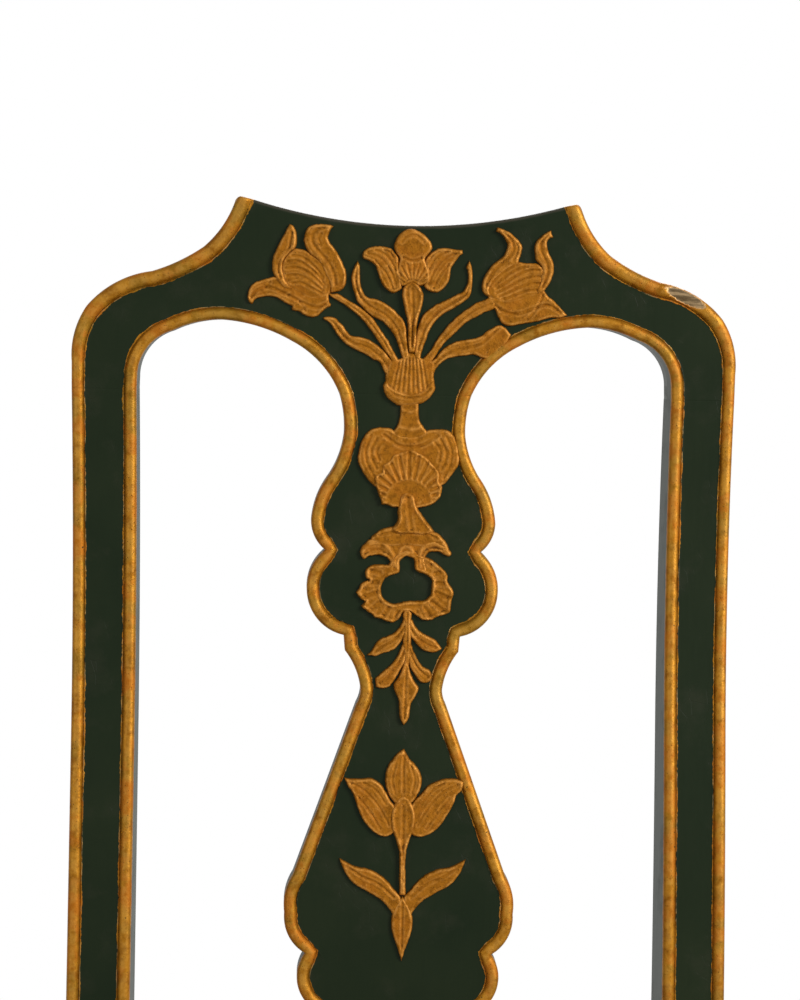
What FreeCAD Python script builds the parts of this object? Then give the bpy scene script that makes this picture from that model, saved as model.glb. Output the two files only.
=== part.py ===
import FreeCAD, Part
import math
import os
import Sketcher

# A joined side chair: a spoon-shaped back with a vase splat, two cabriole front legs, two raked
# rear legs that run up as the back posts, a trapezoid seat frame and a slip seat that drops in.
# Millimetres, +Z up, X across, the front faces -Y, the origin under the middle on the floor.

SIZES = {
    "overall_height": 1045,
    "overall_depth": 524,
    "seat_height": 425,
    "front_half_width": 260,
    "back_setback": 76,
    "joint_drop": 112.5,
    "post_depth": 27,
    "post_seat_depth": 40,
    "rear_leg_rake": 62,
    "rear_foot_depth": 30,
    "rear_foot_width": 30,
    "splat_thick": 13,
    "rail_height": 62,
    "rail_thick": 24,
    "front_lip": 14,
    "side_lip": 14,
    "side_reveal": 1.9,
    "rebate_depth": 12,
    "rear_rail_thick": 40,
    "rear_rail_reach": 17,
    "apron_rise": 11,
    "apron_flat_half": 118,
    "apron_turn": 22,
    "shoe_lap": 5,
    "shoe_width": 28,
    "shoe_rise": 25,
    "shoe_base_rise": 8,
    "shoe_neck_rise": 20,
    "shoe_neck_inset": 4,
    "shoe_cove": 1.4,
    "leg_block": 46,
    "knee_swell": 14,
    "foot_inset": 22,
    "foot_radius": 32,
    "foot_mid_height": 13,
    "foot_disc_radius": 25,
    "foot_disc_height": 6,
    "foot_neck_radius": 20,
    "foot_neck_height": 27,
    "tenon_thick": 12,
    "tenon_length": 20,
    "rear_tenon_length": 13,
    "tenon_shoulder": 8,
    "crest_tenon_width": 20,
    "crest_tenon_length": 28,
    "splat_tenon_thick": 8,
    "splat_tenon_half": 27,
    "splat_tenon_length": 16,
    "splat_foot_tenon": 12,
    "joint_gap": 0.15,
    "shoulder_gap": 0.05,
    "peg_radius": 3.5,
    "peg_length": 20,
    "peg_spread": 12,
    "bracket_width": 44,
    "bracket_drop": 42,
    "bracket_proud": 3,
    "bracket_thick": 24,
    "block_leg": 58,
    "block_drop": 18,
    "block_height": 36,
    "slip_gap": 1.5,
    "slip_rest_gap": 0.3,
    "slip_thick": 20,
    "slip_member": 50,
    "slip_tenon_thick": 7,
    "slip_tenon_width": 30,
    "slip_tenon_length": 26,
    "cover_thick": 2,
    "soft_gap": 0.3,
    "web_width": 50,
    "web_thick": 2,
    "web_pitch_across": 96,
    "web_pitch_along": 84,
    "web_lap": 22,
    "canvas_thick": 1,
    "canvas_inset": 5,
    "cushion_side_rise": 5,
    "cushion_shoulder_rise": 17,
    "cushion_shoulder_inset": 26,
    "cushion_crown_rise": 34,
    "tack_head_radius": 5,
    "tack_head_thick": 1,
    "tack_shank_half": 0.9,
    "tack_length": 9,
    "tack_inset": 18,
    "overrun": 5,
}

# Proportions that keep their value when every length is scaled.
SHARES = {
    "round_via_share": 0.293,
    "flat_wide_share": 0.866,
    "cushion_edge_share": 0.2,
    "cushion_near_share": 0.56,
    "cushion_full_share": 1.0,
    "station_near_share": 0.05,
    "station_shoulder_share": 0.18,
    "cushion_shoulder_share": 0.88,
    "bend_lower_in_share": 0.12,
    "bend_lower_up_share": 0.48,
    "bend_upper_in_share": 0.45,
    "bend_upper_up_share": 0.84,
    "foot_under_share": 0.95,
    "foot_upper_share": 0.95,
    "knee_top_round_share": 0.06,
    "knee_upper_round_share": 0.14,
    "knee_round_share": 0.26,
    "knee_lower_round_share": 0.42,
    "calf_upper_round_share": 0.56,
    "calf_round_share": 0.66,
    "shin_round_share": 0.76,
    "shin_lower_round_share": 0.86,
    "ankle_round_share": 0.92,
    "instep_round_share": 0.95,
    "instep_foot_round_share": 0.97,
}

# Outline points of the back: how far out from the centre line, how far below the ear tips. Where
# the crest meets the posts and the splat, the drop is the joint's own.
BACK_POINTS = {
    "crest_dip": (0, 14.5),
    "ear_inner": (91, 1.3),
    "ear_flat": (97.4, 0),
    "ear_tip": (99.4, 0.8),
    "ear_outer": (100.8, 3.2),
    "cove_upper": (107.2, 16.4),
    "cove_mid": (118.4, 29.4),
    "cove_lower": (132, 37.6),
    "cove_end": (148, 44.1),
    "shoulder_upper": (171.7, 52.9),
    "shoulder_mid": (185.1, 64.8),
    "shoulder_lower": (192, 80.2),
    "shoulder_end": (193.3, 97),
    "post_joint_outer": (193, "joint_drop"),
    "post_joint_inner": (155.7, "joint_drop"),
    "arch_outer_end": (155.5, 103.5),
    "arch_outer_via": (150.2, 88.5),
    "arch_outer_top": (135.5, 78.1),
    "arch_crown_via": (122, 73.1),
    "arch_crown": (107.8, 71.2),
    "arch_inner_via": (86, 74.7),
    "arch_inner": (66, 83),
    "neck_upper_via": (49.6, 95.3),
    "neck_joint": (38.4, "joint_drop"),
    "neck_via": (35.8, 124),
    "neck_waist": (35.3, 135.5),
    "bowl_cove_via": (37.8, 147),
    "bowl_cove_end": (43.8, 159.6),
    "bowl_via": (50.9, 172.9),
    "bowl_side": (53.6, 186.3),
    "bowl_under_via": (50.6, 196.6),
    "notch": (45.3, 202.6),
    "lobe_via": (53.2, 213),
    "lobe_side": (55.4, 225.9),
    "lobe_under_via": (49.4, 241.6),
    "step_top": (33.6, 251),
    "step_foot": (32.8, 259.6),
    "waist_cove_via": (26.2, 270.8),
    "waist": (23.5, 281.2),
    "waist_foot_via": (24.2, 285.6),
    "flare_start": (25.9, 289.6),
    "flare_end": (60.5, 384),
    "hip_upper_via": (64.8, 394.5),
    "hip": (65, 405),
    "hip_lower_via": (61.8, 419),
    "hip_foot": (53, 427.5),
    "lower_lobe_via": (57.2, 442),
    "lower_lobe_end": (48, 458),
    "stem_cove_via": (30.5, 484),
    "stem": (26.5, 515),
    "foot_cove_via": (29, 553),
    "foot_cove_end": (37, 578),
    "foot_corner": (44, 595),
    "post_mid_outer": (188.2, 300),
    "post_mid_inner": (152.2, 300),
    "post_seat_outer": (187, 620),
    "post_seat_inner": (151, 620),
}

# Cabriole stations: height from the floor, how far the outer face stands out from the block, and
# how deep the inner face lies. How round the corners are is among the shares.
LEG_STATIONS = {
    "knee_top": (363, 0, 46),
    "knee_upper": (348, 7.5, 46),
    "knee": (326, 13.5, 45.8),
    "knee_lower": (298, 12, 43),
    "calf_upper": (260, 4, 38.5),
    "calf": (214, -6, 39.5),
    "shin": (165, -12.5, 42),
    "shin_lower": (115, -14.5, 42),
    "ankle": (74, -10.5, 36.5),
    "instep": (42, -4, 39),
    "instep_foot": (20, 4, 48),
}

CORNER_SIGNS = {"right": 1, "left": -1}
TACKS_PER_MEMBER = 3
FLATS = 8
ZERO_TOLERANCE = 1e-6


class Size:
    """A number kept beside the sheet expression that gives it."""

    def __init__(self, value, text):
        self.value = float(value)
        self.text = text

    @staticmethod
    def of(other):
        return other if isinstance(other, Size) else Size(other, repr(other))

    def combine(self, other, sign, value):
        return Size(value, f"({self.text} {sign} {other.text})")

    def __add__(self, other):
        other = Size.of(other)
        return self.combine(other, "+", self.value + other.value)

    def __sub__(self, other):
        other = Size.of(other)
        return self.combine(other, "-", self.value - other.value)

    def __mul__(self, other):
        other = Size.of(other)
        return self.combine(other, "*", self.value * other.value)

    def __truediv__(self, other):
        other = Size.of(other)
        return self.combine(other, "/", self.value / other.value)

    def __neg__(self):
        return Size(-self.value, f"(-1 * {self.text})")

    def root(self):
        return Size(math.sqrt(self.value), f"sqrt({self.text})")


class Outline:
    """A closed run of straight lines and arcs through named points."""

    def __init__(self, start):
        self.start = start
        self.runs = []

    def line(self, *ends):
        for end in ends:
            self.runs.append(("line", None, end))
        return self

    def arc(self, via, end):
        self.runs.append(("arc", via, end))
        return self

    def bow(self, level, end):
        """An arc whose centre is level with its start or its end, so it leaves upright there."""
        self.runs.append(("bow", level, end))
        return self

    def extend(self, runs):
        self.runs.extend(runs)
        return self

    def closed_runs(self):
        last = self.runs[-1][2]
        if last is self.start:
            return self.runs
        return self.runs + [("line", None, self.start)]


doc = FreeCAD.newDocument("side_chair")
sheet = doc.addObject("Spreadsheet::Sheet", "dims")
values = dict(SIZES)
values.update(SHARES)
for point_name, (out, drop) in BACK_POINTS.items():
    values[f"{point_name}_out"] = out
    if drop != "joint_drop":
        values[f"{point_name}_drop"] = drop
for station, (height, out, deep) in LEG_STATIONS.items():
    values[f"{station}_height"] = height
    values[f"{station}_stand"] = out
    values[f"{station}_deep"] = deep
for row, (alias, value) in enumerate(values.items(), start=1):
    sheet.set(f"A{row}", alias)
    sheet.set(f"B{row}", str(value))
    sheet.setAlias(f"B{row}", alias)
doc.recompute()


def dim(alias):
    return Size(values[alias], f"dims.{alias}")


def back_point(name):
    """A point of the back's front view, as X and Z, spaced to fill the height above the shoe."""
    drop = BACK_POINTS[name][1]
    fall = dim("joint_drop") if drop == "joint_drop" else dim(f"{name}_drop")
    return dim(f"{name}_out"), top - fall * back_stretch


def mirrored(point):
    return -point[0], point[1]


def reversed_runs(start, runs, change):
    """The same runs walked backwards, with each point changed on the way."""
    ends = [start] + [end for _, _, end in runs]
    result = []
    for index in range(len(runs) - 1, -1, -1):
        kind, aid, _ = runs[index]
        if kind == "arc":
            aid = change(aid)
        if kind == "bow":
            aid = "end" if aid == "start" else "start"
        result.append((kind, aid, change(ends[index])))
    return result


def both_sides(start, runs, top_via=None):
    """A symmetric outline from the runs of its right half, listed from the top down."""
    outline = Outline(start).extend(runs)
    foot = runs[-1][2]
    outline.line(mirrored(foot))
    outline.extend(reversed_runs(start, runs, mirrored))
    if top_via:
        outline.arc(top_via, start)
    return outline


def vector(point):
    return FreeCAD.Vector(point[0].value, point[1].value, 0)


def bow_via(begin, end, level):
    """The middle of a bow's arc, for the sketch's first guess."""
    near, far = (begin, end) if level == "start" else (end, begin)
    across = far[0].value - near[0].value
    along = far[1].value - near[1].value
    radius = (across ** 2 + along ** 2) / (2 * abs(across))
    half_turn = math.asin(abs(along) / radius) / 2
    side = math.copysign(1, across)
    rise = math.copysign(1, along)
    return FreeCAD.Vector(near[0].value + side * radius * (1 - math.cos(half_turn)),
                          near[1].value + rise * radius * math.sin(half_turn), 0)


def pin(sketch, geometry, position, point):
    """Hold one sketch point at its place by the sheet's values."""
    for kind, axis, size in (("DistanceX", -2, point[0]), ("DistanceY", -1, point[1])):
        if abs(size.value) < ZERO_TOLERANCE:
            sketch.addConstraint(Sketcher.Constraint("PointOnObject", geometry, position, axis))
            continue
        index = sketch.addConstraint(
            Sketcher.Constraint(kind, -1, 1, geometry, position, size.value))
        sketch.setExpression(f"Constraints[{index}]", size.text)


def draw(sketch, outline):
    """Add a closed outline to a sketch, each corner and arc held by the sheet."""
    begin = outline.start
    previous = None
    first = None
    for kind, aid, end in outline.closed_runs():
        start_vector = vector(begin)
        if kind == "line":
            geometry = sketch.addGeometry(Part.LineSegment(start_vector, vector(end)))
        else:
            via = vector(aid) if kind == "arc" else bow_via(begin, end, aid)
            geometry = sketch.addGeometry(Part.Arc(start_vector, via, vector(end)))
        gap_first = sketch.getPoint(geometry, 1).distanceToPoint(start_vector)
        gap_second = sketch.getPoint(geometry, 2).distanceToPoint(start_vector)
        head, tail = (1, 2) if gap_first < gap_second else (2, 1)
        pin(sketch, geometry, head, begin)
        if previous:
            sketch.addConstraint(Sketcher.Constraint("Coincident", *previous, geometry, head))
        else:
            first = (geometry, head)
        if kind == "arc":
            mark = sketch.addGeometry(Part.Point(vector(aid)), True)
            pin(sketch, mark, 1, aid)
            sketch.addConstraint(Sketcher.Constraint("PointOnObject", mark, 1, geometry))
        if kind == "bow":
            level_end = head if aid == "start" else tail
            sketch.addConstraint(
                Sketcher.Constraint("Horizontal", geometry, 3, geometry, level_end))
        previous = (geometry, tail)
        begin = end
    sketch.addConstraint(Sketcher.Constraint("Coincident", *previous, *first))


def new_body(name):
    body = doc.addObject("PartDesign::Body", name)
    body.Label = name
    return body


def add_sketch(body, name, role, outlines, offset=None):
    """A sketch on one of the body's own planes, moved along that plane's axis by offset."""
    sketch = body.newObject("Sketcher::SketchObject", f"{body.Name}_{name}")
    plane = [item for item in body.Origin.OriginFeatures if item.Role == role][0]
    sketch.AttachmentSupport = [(plane, "")]
    sketch.MapMode = "FlatFace"
    if offset is not None:
        away = -offset if role == "XZ_Plane" else offset
        sketch.setExpression("AttachmentOffset.Base.z", away.text)
    for outline in outlines:
        draw(sketch, outline)
    return sketch


def add_pad(body, sketch, length, centred=False, reverse=False):
    pad = body.newObject("PartDesign::Pad", f"{sketch.Name}_pad")
    pad.Profile = sketch
    pad.setExpression("Length", length.text)
    pad.Midplane = centred
    pad.Reversed = reverse
    sketch.Visibility = False
    return pad


def add_pocket(body, sketch, length, centred=False, reverse=False):
    """A pocket, checked to take material away."""
    doc.recompute()
    before = body.Shape.Volume
    pocket = body.newObject("PartDesign::Pocket", f"{sketch.Name}_pocket")
    pocket.Profile = sketch
    pocket.setExpression("Length", length.text)
    pocket.Midplane = centred
    pocket.Reversed = reverse
    sketch.Visibility = False
    doc.recompute()
    if not body.Shape.Volume < before:
        raise RuntimeError(f"{pocket.Name} cuts nothing")
    return pocket


def set_box(box, spans):
    """Size and place a block by its lowest and highest planes."""
    for axis, side, (low, high) in zip("xyz", ("Length", "Width", "Height"), spans):
        box.setExpression(side, (high - low).text)
        box.setExpression(f"Placement.Base.{axis}", low.text)


def add_box(body, kind, name, spans):
    """An additive or subtractive block between named planes."""
    box = body.newObject(f"PartDesign::{kind}Box", f"{body.Name}_{name}")
    set_box(box, spans)
    return box


AXIS_TURNS = {
    "x": FreeCAD.Rotation(FreeCAD.Vector(0, 1, 0), 90),
    "y": FreeCAD.Rotation(FreeCAD.Vector(-1, 0, 0), 90),
    "z": FreeCAD.Rotation(),
}


def place_along(item, along, start):
    """Put a cylinder's base at start, pointing along +X, +Y or +Z."""
    item.Placement = FreeCAD.Placement(FreeCAD.Vector(), AXIS_TURNS[along])
    for axis, size in zip("xyz", start):
        item.setExpression(f"Placement.Base.{axis}", size.text)


def add_hole(body, name, along, start, radius, length):
    hole = body.newObject("PartDesign::SubtractiveCylinder", f"{body.Name}_{name}")
    hole.setExpression("Radius", radius.text)
    hole.setExpression("Height", length.text)
    place_along(hole, along, start)
    return hole


def eight_sided(name, along, start, radius, length):
    """A riven peg or a hammered tack head, left with eight flats."""
    piece = doc.addObject("Part::Prism", name)
    piece.Polygon = FLATS
    piece.setExpression("Circumradius", radius.text)
    piece.setExpression("Height", length.text)
    place_along(piece, along, start)
    return piece


def mirror_part(source, name):
    """The same piece on the other side of the chair."""
    twin = doc.addObject("Part::Mirroring", name)
    twin.Source = source
    twin.Normal = FreeCAD.Vector(1, 0, 0)
    twin.Base = FreeCAD.Vector(0, 0, 0)
    twin.Label = name
    return twin


def gather(name, items):
    group = doc.addObject("Part::Compound", name)
    group.Links = items
    group.Label = name
    return group


def rectangle(low, high):
    return Outline(low).line((high[0], low[1]), high, (low[0], high[1]))


# Places that several pieces share.
top = dim("overall_height")
seat = dim("seat_height")
back_stretch = (top - seat - dim("shoe_rise")) / dim("foot_corner_drop")
joint_fall = dim("joint_drop") * back_stretch
joint = top - joint_fall
back_face = dim("overall_depth") / 2 - dim("back_setback") - dim("post_depth")
block_face = -(dim("overall_depth") / 2 - dim("knee_swell"))
block_back = block_face + dim("leg_block")
block_side = dim("front_half_width")
block_inner = block_side - dim("leg_block")
rail_foot = seat - dim("rail_height")
rebate = seat - dim("rebate_depth")
spoon_half = (top - seat) / 2
spoon_middle = seat + spoon_half
half_setback = dim("back_setback") / 2
spoon_radius = (spoon_half * spoon_half + half_setback * half_setback) / dim("back_setback")
joint_setback = (dim("back_setback") - spoon_radius
                 + (spoon_radius * spoon_radius - joint_fall * joint_fall).root())
overrun = dim("overrun")
gap = dim("joint_gap")
post_outer = dim("post_seat_outer_out")
post_inner = dim("post_seat_inner_out")
tenon_foot = rail_foot + dim("tenon_shoulder")
tenon_top = rebate - dim("tenon_shoulder") / 2
well_front = block_face + dim("front_lip")
well_back = back_face - dim("shoe_lap")
rear_rail_face = back_face - dim("rear_rail_reach")
rear_tenon_middle = back_face + dim("tenon_length") - dim("tenon_thick") / 2


splay = (block_side - dim("side_reveal") - post_outer) / (back_face - block_back)


def side_face(depth):
    """How far out the side rail's outer face lies at a place from front to back."""
    return post_outer + splay * (back_face - depth)


def spoon_runs(face, setback):
    """The two arcs of the spoon back in side view, from the seat up."""
    return [
        ("bow", "start", (face + setback / 2, spoon_middle)),
        ("bow", "end", (face + setback, top)),
    ]


def spoon_blank(body, thick, half_width):
    """A board bent to the spoon line, as it is sawn from the plank."""
    start = (back_face, seat)
    rise = spoon_runs(back_face, dim("back_setback"))
    fall_start = (back_face + thick, seat)
    fall = spoon_runs(back_face + thick, dim("back_setback"))
    outline = Outline(start).extend(rise)
    outline.line(fall[-1][2])
    outline.extend(reversed_runs(fall_start, fall, lambda point: point))
    sketch = add_sketch(body, "side_view", "YZ_Plane", [outline])
    return add_pad(body, sketch, half_width * 2, centred=True)


def saw_front(body, outline, half_width):
    """Saw away all that lies outside the front outline."""
    waste = rectangle((-half_width - overrun, seat - overrun), (half_width + overrun, top + overrun))
    sketch = add_sketch(body, "front_view", "XZ_Plane", [waste, outline])
    return add_pocket(body, sketch, dim("overall_depth") * 2, centred=True)


def point_runs(*steps):
    """Runs through back points: one name is a straight line, two names are an arc."""
    runs = []
    for step in steps:
        if isinstance(step, tuple):
            runs.append(("arc", back_point(step[0]), back_point(step[1])))
        else:
            runs.append(("line", None, back_point(step)))
    return runs


def crest_runs():
    return point_runs(
        "ear_flat", ("ear_tip", "ear_outer"), ("cove_upper", "cove_mid"),
        ("cove_lower", "cove_end"), ("shoulder_upper", "shoulder_mid"),
        ("shoulder_lower", "shoulder_end"),
        "post_joint_outer", "post_joint_inner", "arch_outer_end",
        ("arch_outer_via", "arch_outer_top"), ("arch_crown_via", "arch_crown"),
        ("arch_inner_via", "arch_inner"), ("neck_upper_via", "neck_joint"))


def splat_runs():
    return point_runs(
        ("neck_via", "neck_waist"), ("bowl_cove_via", "bowl_cove_end"),
        ("bowl_via", "bowl_side"), ("bowl_under_via", "notch"), ("lobe_via", "lobe_side"),
        ("lobe_under_via", "step_top"), "step_foot", ("waist_cove_via", "waist"),
        ("waist_foot_via", "flare_start"), "flare_end", ("hip_upper_via", "hip"),
        ("hip_lower_via", "hip_foot"), ("lower_lobe_via", "lower_lobe_end"),
        ("stem_cove_via", "stem"), ("foot_cove_via", "foot_cove_end"), "foot_corner")


post_centre = (dim("post_joint_outer_out") + dim("post_joint_inner_out")) / 2
crest_tenon_middle = back_face + joint_setback + dim("post_depth") / 2
splat_tenon_face = back_face + joint_setback + (dim("splat_thick") - dim("splat_tenon_thick")) / 2


def crest_tenon(side, ease):
    """The post's tenon, or the crest's mortise with ease all round."""
    middle = post_centre if side > 0 else -post_centre
    half = dim("crest_tenon_width") / 2 + ease
    half_thick = dim("tenon_thick") / 2 + ease
    return ((middle - half, middle + half),
            (crest_tenon_middle - half_thick, crest_tenon_middle + half_thick),
            (joint - overrun, joint + dim("crest_tenon_length") + ease))


def splat_tenon(ease):
    half = dim("splat_tenon_half") + ease
    return ((-half, half),
            (splat_tenon_face - ease, splat_tenon_face + dim("splat_tenon_thick") + ease),
            (joint - overrun, joint + dim("splat_tenon_length") + ease))


def splat_foot_tenon(ease):
    face = back_face + (dim("splat_thick") - dim("splat_tenon_thick")) / 2
    half = dim("splat_tenon_half") + ease
    shoe_top = seat + dim("shoe_rise")
    return ((-half, half),
            (face - ease, face + dim("splat_tenon_thick") + ease),
            (shoe_top - dim("splat_foot_tenon") - ease, shoe_top + overrun))


none = Size(0, "0")


def make_crest():
    body = new_body("crest_rail")
    half_width = dim("shoulder_end_out") + overrun
    spoon_blank(body, dim("post_depth"), half_width)
    outline = both_sides(back_point("ear_inner"), crest_runs(), back_point("crest_dip"))
    saw_front(body, outline, half_width)
    for name, side in CORNER_SIGNS.items():
        add_box(body, "Subtractive", f"mortise_{name}", crest_tenon(side, gap))
    add_box(body, "Subtractive", "splat_mortise", splat_tenon(gap))
    return body


def make_splat():
    body = new_body("back_splat")
    half_width = dim("hip_out") + overrun
    spoon_blank(body, dim("splat_thick"), half_width)
    start = (dim("neck_joint_out"), joint - dim("shoulder_gap"))
    outline = Outline(start).extend(splat_runs())
    foot = outline.runs[-1][2]
    outline.line(mirrored(foot))
    outline.extend(reversed_runs(start, splat_runs(), mirrored))
    saw_front(body, outline, half_width)
    add_box(body, "Additive", "crest_tenon", splat_tenon(none))
    add_box(body, "Additive", "shoe_tenon", splat_foot_tenon(none))
    return body


def make_shoe():
    body = new_body("splat_shoe")
    face = back_face - dim("shoe_lap")
    rear = face + dim("shoe_width")
    base = seat + dim("shoulder_gap")
    shoulder = seat + dim("shoe_base_rise")
    neck = seat + dim("shoe_neck_rise")
    crown = seat + dim("shoe_rise") - dim("shoulder_gap")
    inset = dim("shoe_neck_inset")
    cove_middle = (shoulder + neck) / 2
    outline = Outline((face, base)).line((face, shoulder))
    outline.arc((face + inset / 2 + dim("shoe_cove"), cove_middle), (face + inset, neck))
    outline.line((face + inset, crown), (rear - inset, crown), (rear - inset, neck))
    outline.arc((rear - inset / 2 - dim("shoe_cove"), cove_middle), (rear, shoulder))
    outline.line((rear, base))
    sketch = add_sketch(body, "profile", "YZ_Plane", [outline])
    add_pad(body, sketch, (post_inner - gap) * 2, centred=True)
    add_box(body, "Subtractive", "splat_mortise", splat_foot_tenon(gap))
    return body


def post_peg_start(level):
    """A peg's outer end in the side of the rear post."""
    return (post_outer - dim("peg_length"), back_face + dim("tenon_length") / 2, level)


def peg_levels():
    middle = (tenon_foot + tenon_top) / 2
    return (middle - dim("peg_spread"), middle + dim("peg_spread"))


def side_tenon_middle(depth):
    return side_face(depth) - dim("rail_thick") / 2


def side_tenon(rear, ease):
    """The side rail's tenon at the rear post or at the front leg."""
    depth = back_face if rear else block_back
    middle = side_tenon_middle(depth)
    half = dim("tenon_thick") / 2 + ease
    reach = dim("tenon_length") + ease
    along = (depth - overrun, depth + reach) if rear else (depth - reach, depth + overrun)
    return ((middle - half, middle + half), along, (tenon_foot - ease, tenon_top + ease))


def rear_tenon(side, ease):
    reach = post_inner + dim("rear_tenon_length") + ease
    half = dim("tenon_thick") / 2 + ease
    across = (post_inner - overrun, reach) if side > 0 else (-reach, -post_inner + overrun)
    return (across, (rear_tenon_middle - half, rear_tenon_middle + half),
            (tenon_foot - ease, tenon_top + ease))


def front_tenon(side, ease):
    middle = block_face + dim("rail_thick") / 2
    half = dim("tenon_thick") / 2 + ease
    reach = block_inner + dim("tenon_length") + ease
    across = (block_inner - overrun, reach) if side > 0 else (-reach, -block_inner + overrun)
    return (across, (middle - half, middle + half), (tenon_foot - ease, tenon_top + ease))


def make_rear_post():
    body = new_body("rear_post_right")
    foot_inner = post_outer - dim("rear_foot_width")
    outline = Outline((post_outer, none)).line((post_outer, seat))
    outline.arc(back_point("post_mid_outer"), (dim("post_joint_outer_out"),
                                               joint - dim("shoulder_gap")))
    outline.line((dim("post_joint_inner_out"), joint - dim("shoulder_gap")))
    outline.arc(back_point("post_mid_inner"), (post_inner, seat))
    outline.line((post_inner, rail_foot), (foot_inner, none))
    sketch = add_sketch(body, "front_view", "XZ_Plane", [outline])
    add_pad(body, sketch, dim("overall_depth") * 2, centred=True)
    seat_rear = back_face + dim("post_seat_depth")
    rear_setback = dim("back_setback") + dim("post_depth") - dim("post_seat_depth")
    foot_face = back_face + dim("rear_leg_rake")
    side = Outline((foot_face, none)).bow("end", (back_face, rail_foot))
    side.line((back_face, seat))
    side.extend(spoon_runs(back_face, dim("back_setback")))
    fall = spoon_runs(seat_rear, rear_setback)
    side.line(fall[-1][2])
    side.extend(reversed_runs((seat_rear, seat), fall, lambda point: point))
    side.line((seat_rear, rail_foot))
    side.bow("start", (foot_face + dim("rear_foot_depth"), none))
    waste = rectangle((-dim("overall_depth"), -overrun), (dim("overall_depth"), top + overrun))
    side_sketch = add_sketch(body, "side_view", "YZ_Plane", [waste, side])
    add_pocket(body, side_sketch, dim("front_half_width") * 2, centred=True)
    add_box(body, "Additive", "crest_tenon", crest_tenon(1, none))
    add_box(body, "Subtractive", "side_mortise", side_tenon(True, gap))
    add_box(body, "Subtractive", "rear_mortise", rear_tenon(1, gap))
    for index, level in enumerate(peg_levels()):
        add_hole(body, f"peg_hole_{index}", "x", post_peg_start(level),
                 dim("peg_radius") + gap, dim("peg_length") + overrun)
    return body


def make_rear_rail():
    body = new_body("seat_rail_rear")
    half = post_inner - dim("shoulder_gap")
    face = rear_rail_face
    rear = face + dim("rear_rail_thick")
    outline = Outline((face, rail_foot)).line((rear, rail_foot), (rear, seat), (well_back, seat),
                                              (well_back, rebate), (face, rebate))
    sketch = add_sketch(body, "profile", "YZ_Plane", [outline])
    add_pad(body, sketch, half * 2, centred=True)
    for name, side in CORNER_SIGNS.items():
        add_box(body, "Additive", f"tenon_{name}", rear_tenon(side, none))
    return body


def well_outline(inset):
    """The seat opening inside the rails' lips, seen from above, drawn in by inset."""
    front = well_front + inset
    rear = well_back - inset
    return Outline((side_face(front) - dim("side_lip") - inset, front)).line(
        (side_face(rear) - dim("side_lip") - inset, rear),
        (-(side_face(rear) - dim("side_lip") - inset), rear),
        (-(side_face(front) - dim("side_lip") - inset), front))


def cut_well(body):
    """Sink the step that the slip seat drops into."""
    sketch = add_sketch(body, "well", "XY_Plane", [well_outline(none)], rebate)
    add_pocket(body, sketch, dim("rebate_depth") + overrun, reverse=True)


def make_side_rail():
    body = new_body("seat_rail_right")
    front = block_back + dim("shoulder_gap")
    rear = back_face - dim("shoulder_gap")
    thick = dim("rail_thick")
    outline = Outline((side_face(front), front)).line(
        (side_face(rear), rear), (side_face(rear) - thick, rear), (side_face(front) - thick, front))
    sketch = add_sketch(body, "plan", "XY_Plane", [outline], rail_foot)
    add_pad(body, sketch, dim("rail_height"))
    cut_well(body)
    add_box(body, "Additive", "front_tenon", side_tenon(False, none))
    add_box(body, "Additive", "rear_tenon", side_tenon(True, none))
    for index, level in enumerate(peg_levels()):
        add_hole(body, f"rear_peg_hole_{index}", "x", post_peg_start(level),
                 dim("peg_radius") + gap, dim("peg_length") + overrun)
        add_hole(body, f"front_peg_hole_{index}", "x", side_peg_start(level),
                 dim("peg_radius") + gap, dim("peg_length") + overrun)
    return body


def side_peg_start(level):
    """A peg's inner end in the side of the front leg."""
    return (block_side - dim("peg_length"), block_back - dim("tenon_length") / 2, level)


def front_peg_start(side, level):
    """A peg's outer end in the face of the front leg."""
    across = block_inner + dim("tenon_length") / 2
    return (across if side > 0 else -across, block_face, level)


def make_front_rail():
    body = new_body("seat_rail_front")
    half = block_inner - dim("shoulder_gap")
    flat = dim("apron_flat_half")
    turn = dim("apron_turn")
    rise = dim("apron_rise")
    start = (half, seat)
    quarter = turn / 2 * dim("round_via_share") * 2
    runs = [
        ("line", None, (half, rail_foot)),
        ("line", None, (flat + turn, rail_foot)),
        ("arc", (flat + turn - quarter, rail_foot + rise / 2 - quarter * rise / turn),
         (flat + turn / 2, rail_foot + rise / 2)),
        ("arc", (flat + quarter, rail_foot + rise / 2 + quarter * rise / turn),
         (flat, rail_foot + rise)),
    ]
    outline = both_sides(start, runs)
    sketch = add_sketch(body, "front_view", "XZ_Plane", [outline], block_face)
    add_pad(body, sketch, dim("rail_thick"), reverse=True)
    cut_well(body)
    for name, side in CORNER_SIGNS.items():
        add_box(body, "Additive", f"tenon_{name}", front_tenon(side, none))
        for index, level in enumerate(peg_levels()):
            add_hole(body, f"peg_hole_{name}_{index}", "y", front_peg_start(side, level),
                     dim("peg_radius") + gap, dim("peg_length") + gap)
    return body


def named_station(name):
    """A station's level, stand, depth and rounding, spaced to fill the leg under the rail."""
    instep = dim("instep_foot_height")
    stretch = (rail_foot - instep) / (dim("knee_top_height") - instep)
    level = instep + (dim(f"{name}_height") - instep) * stretch
    return level, dim(f"{name}_stand"), dim(f"{name}_deep"), dim(f"{name}_round_share")


def leg_stations():
    """The named stations, each followed by one halfway to the next, on a fair curve."""
    named = [named_station(name) for name in LEG_STATIONS]
    stations = []
    for index in range(len(named) - 1):
        here, there = named[index], named[index + 1]
        before = named[max(index - 1, 0)]
        after = named[min(index + 2, len(named) - 1)]
        stations.append(here)
        stations.append(tuple(((start + end) * 9 - early - late) / 16 for early, start, end, late
                              in zip(before, here, there, after)))
    return stations + [named[-1]]


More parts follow.
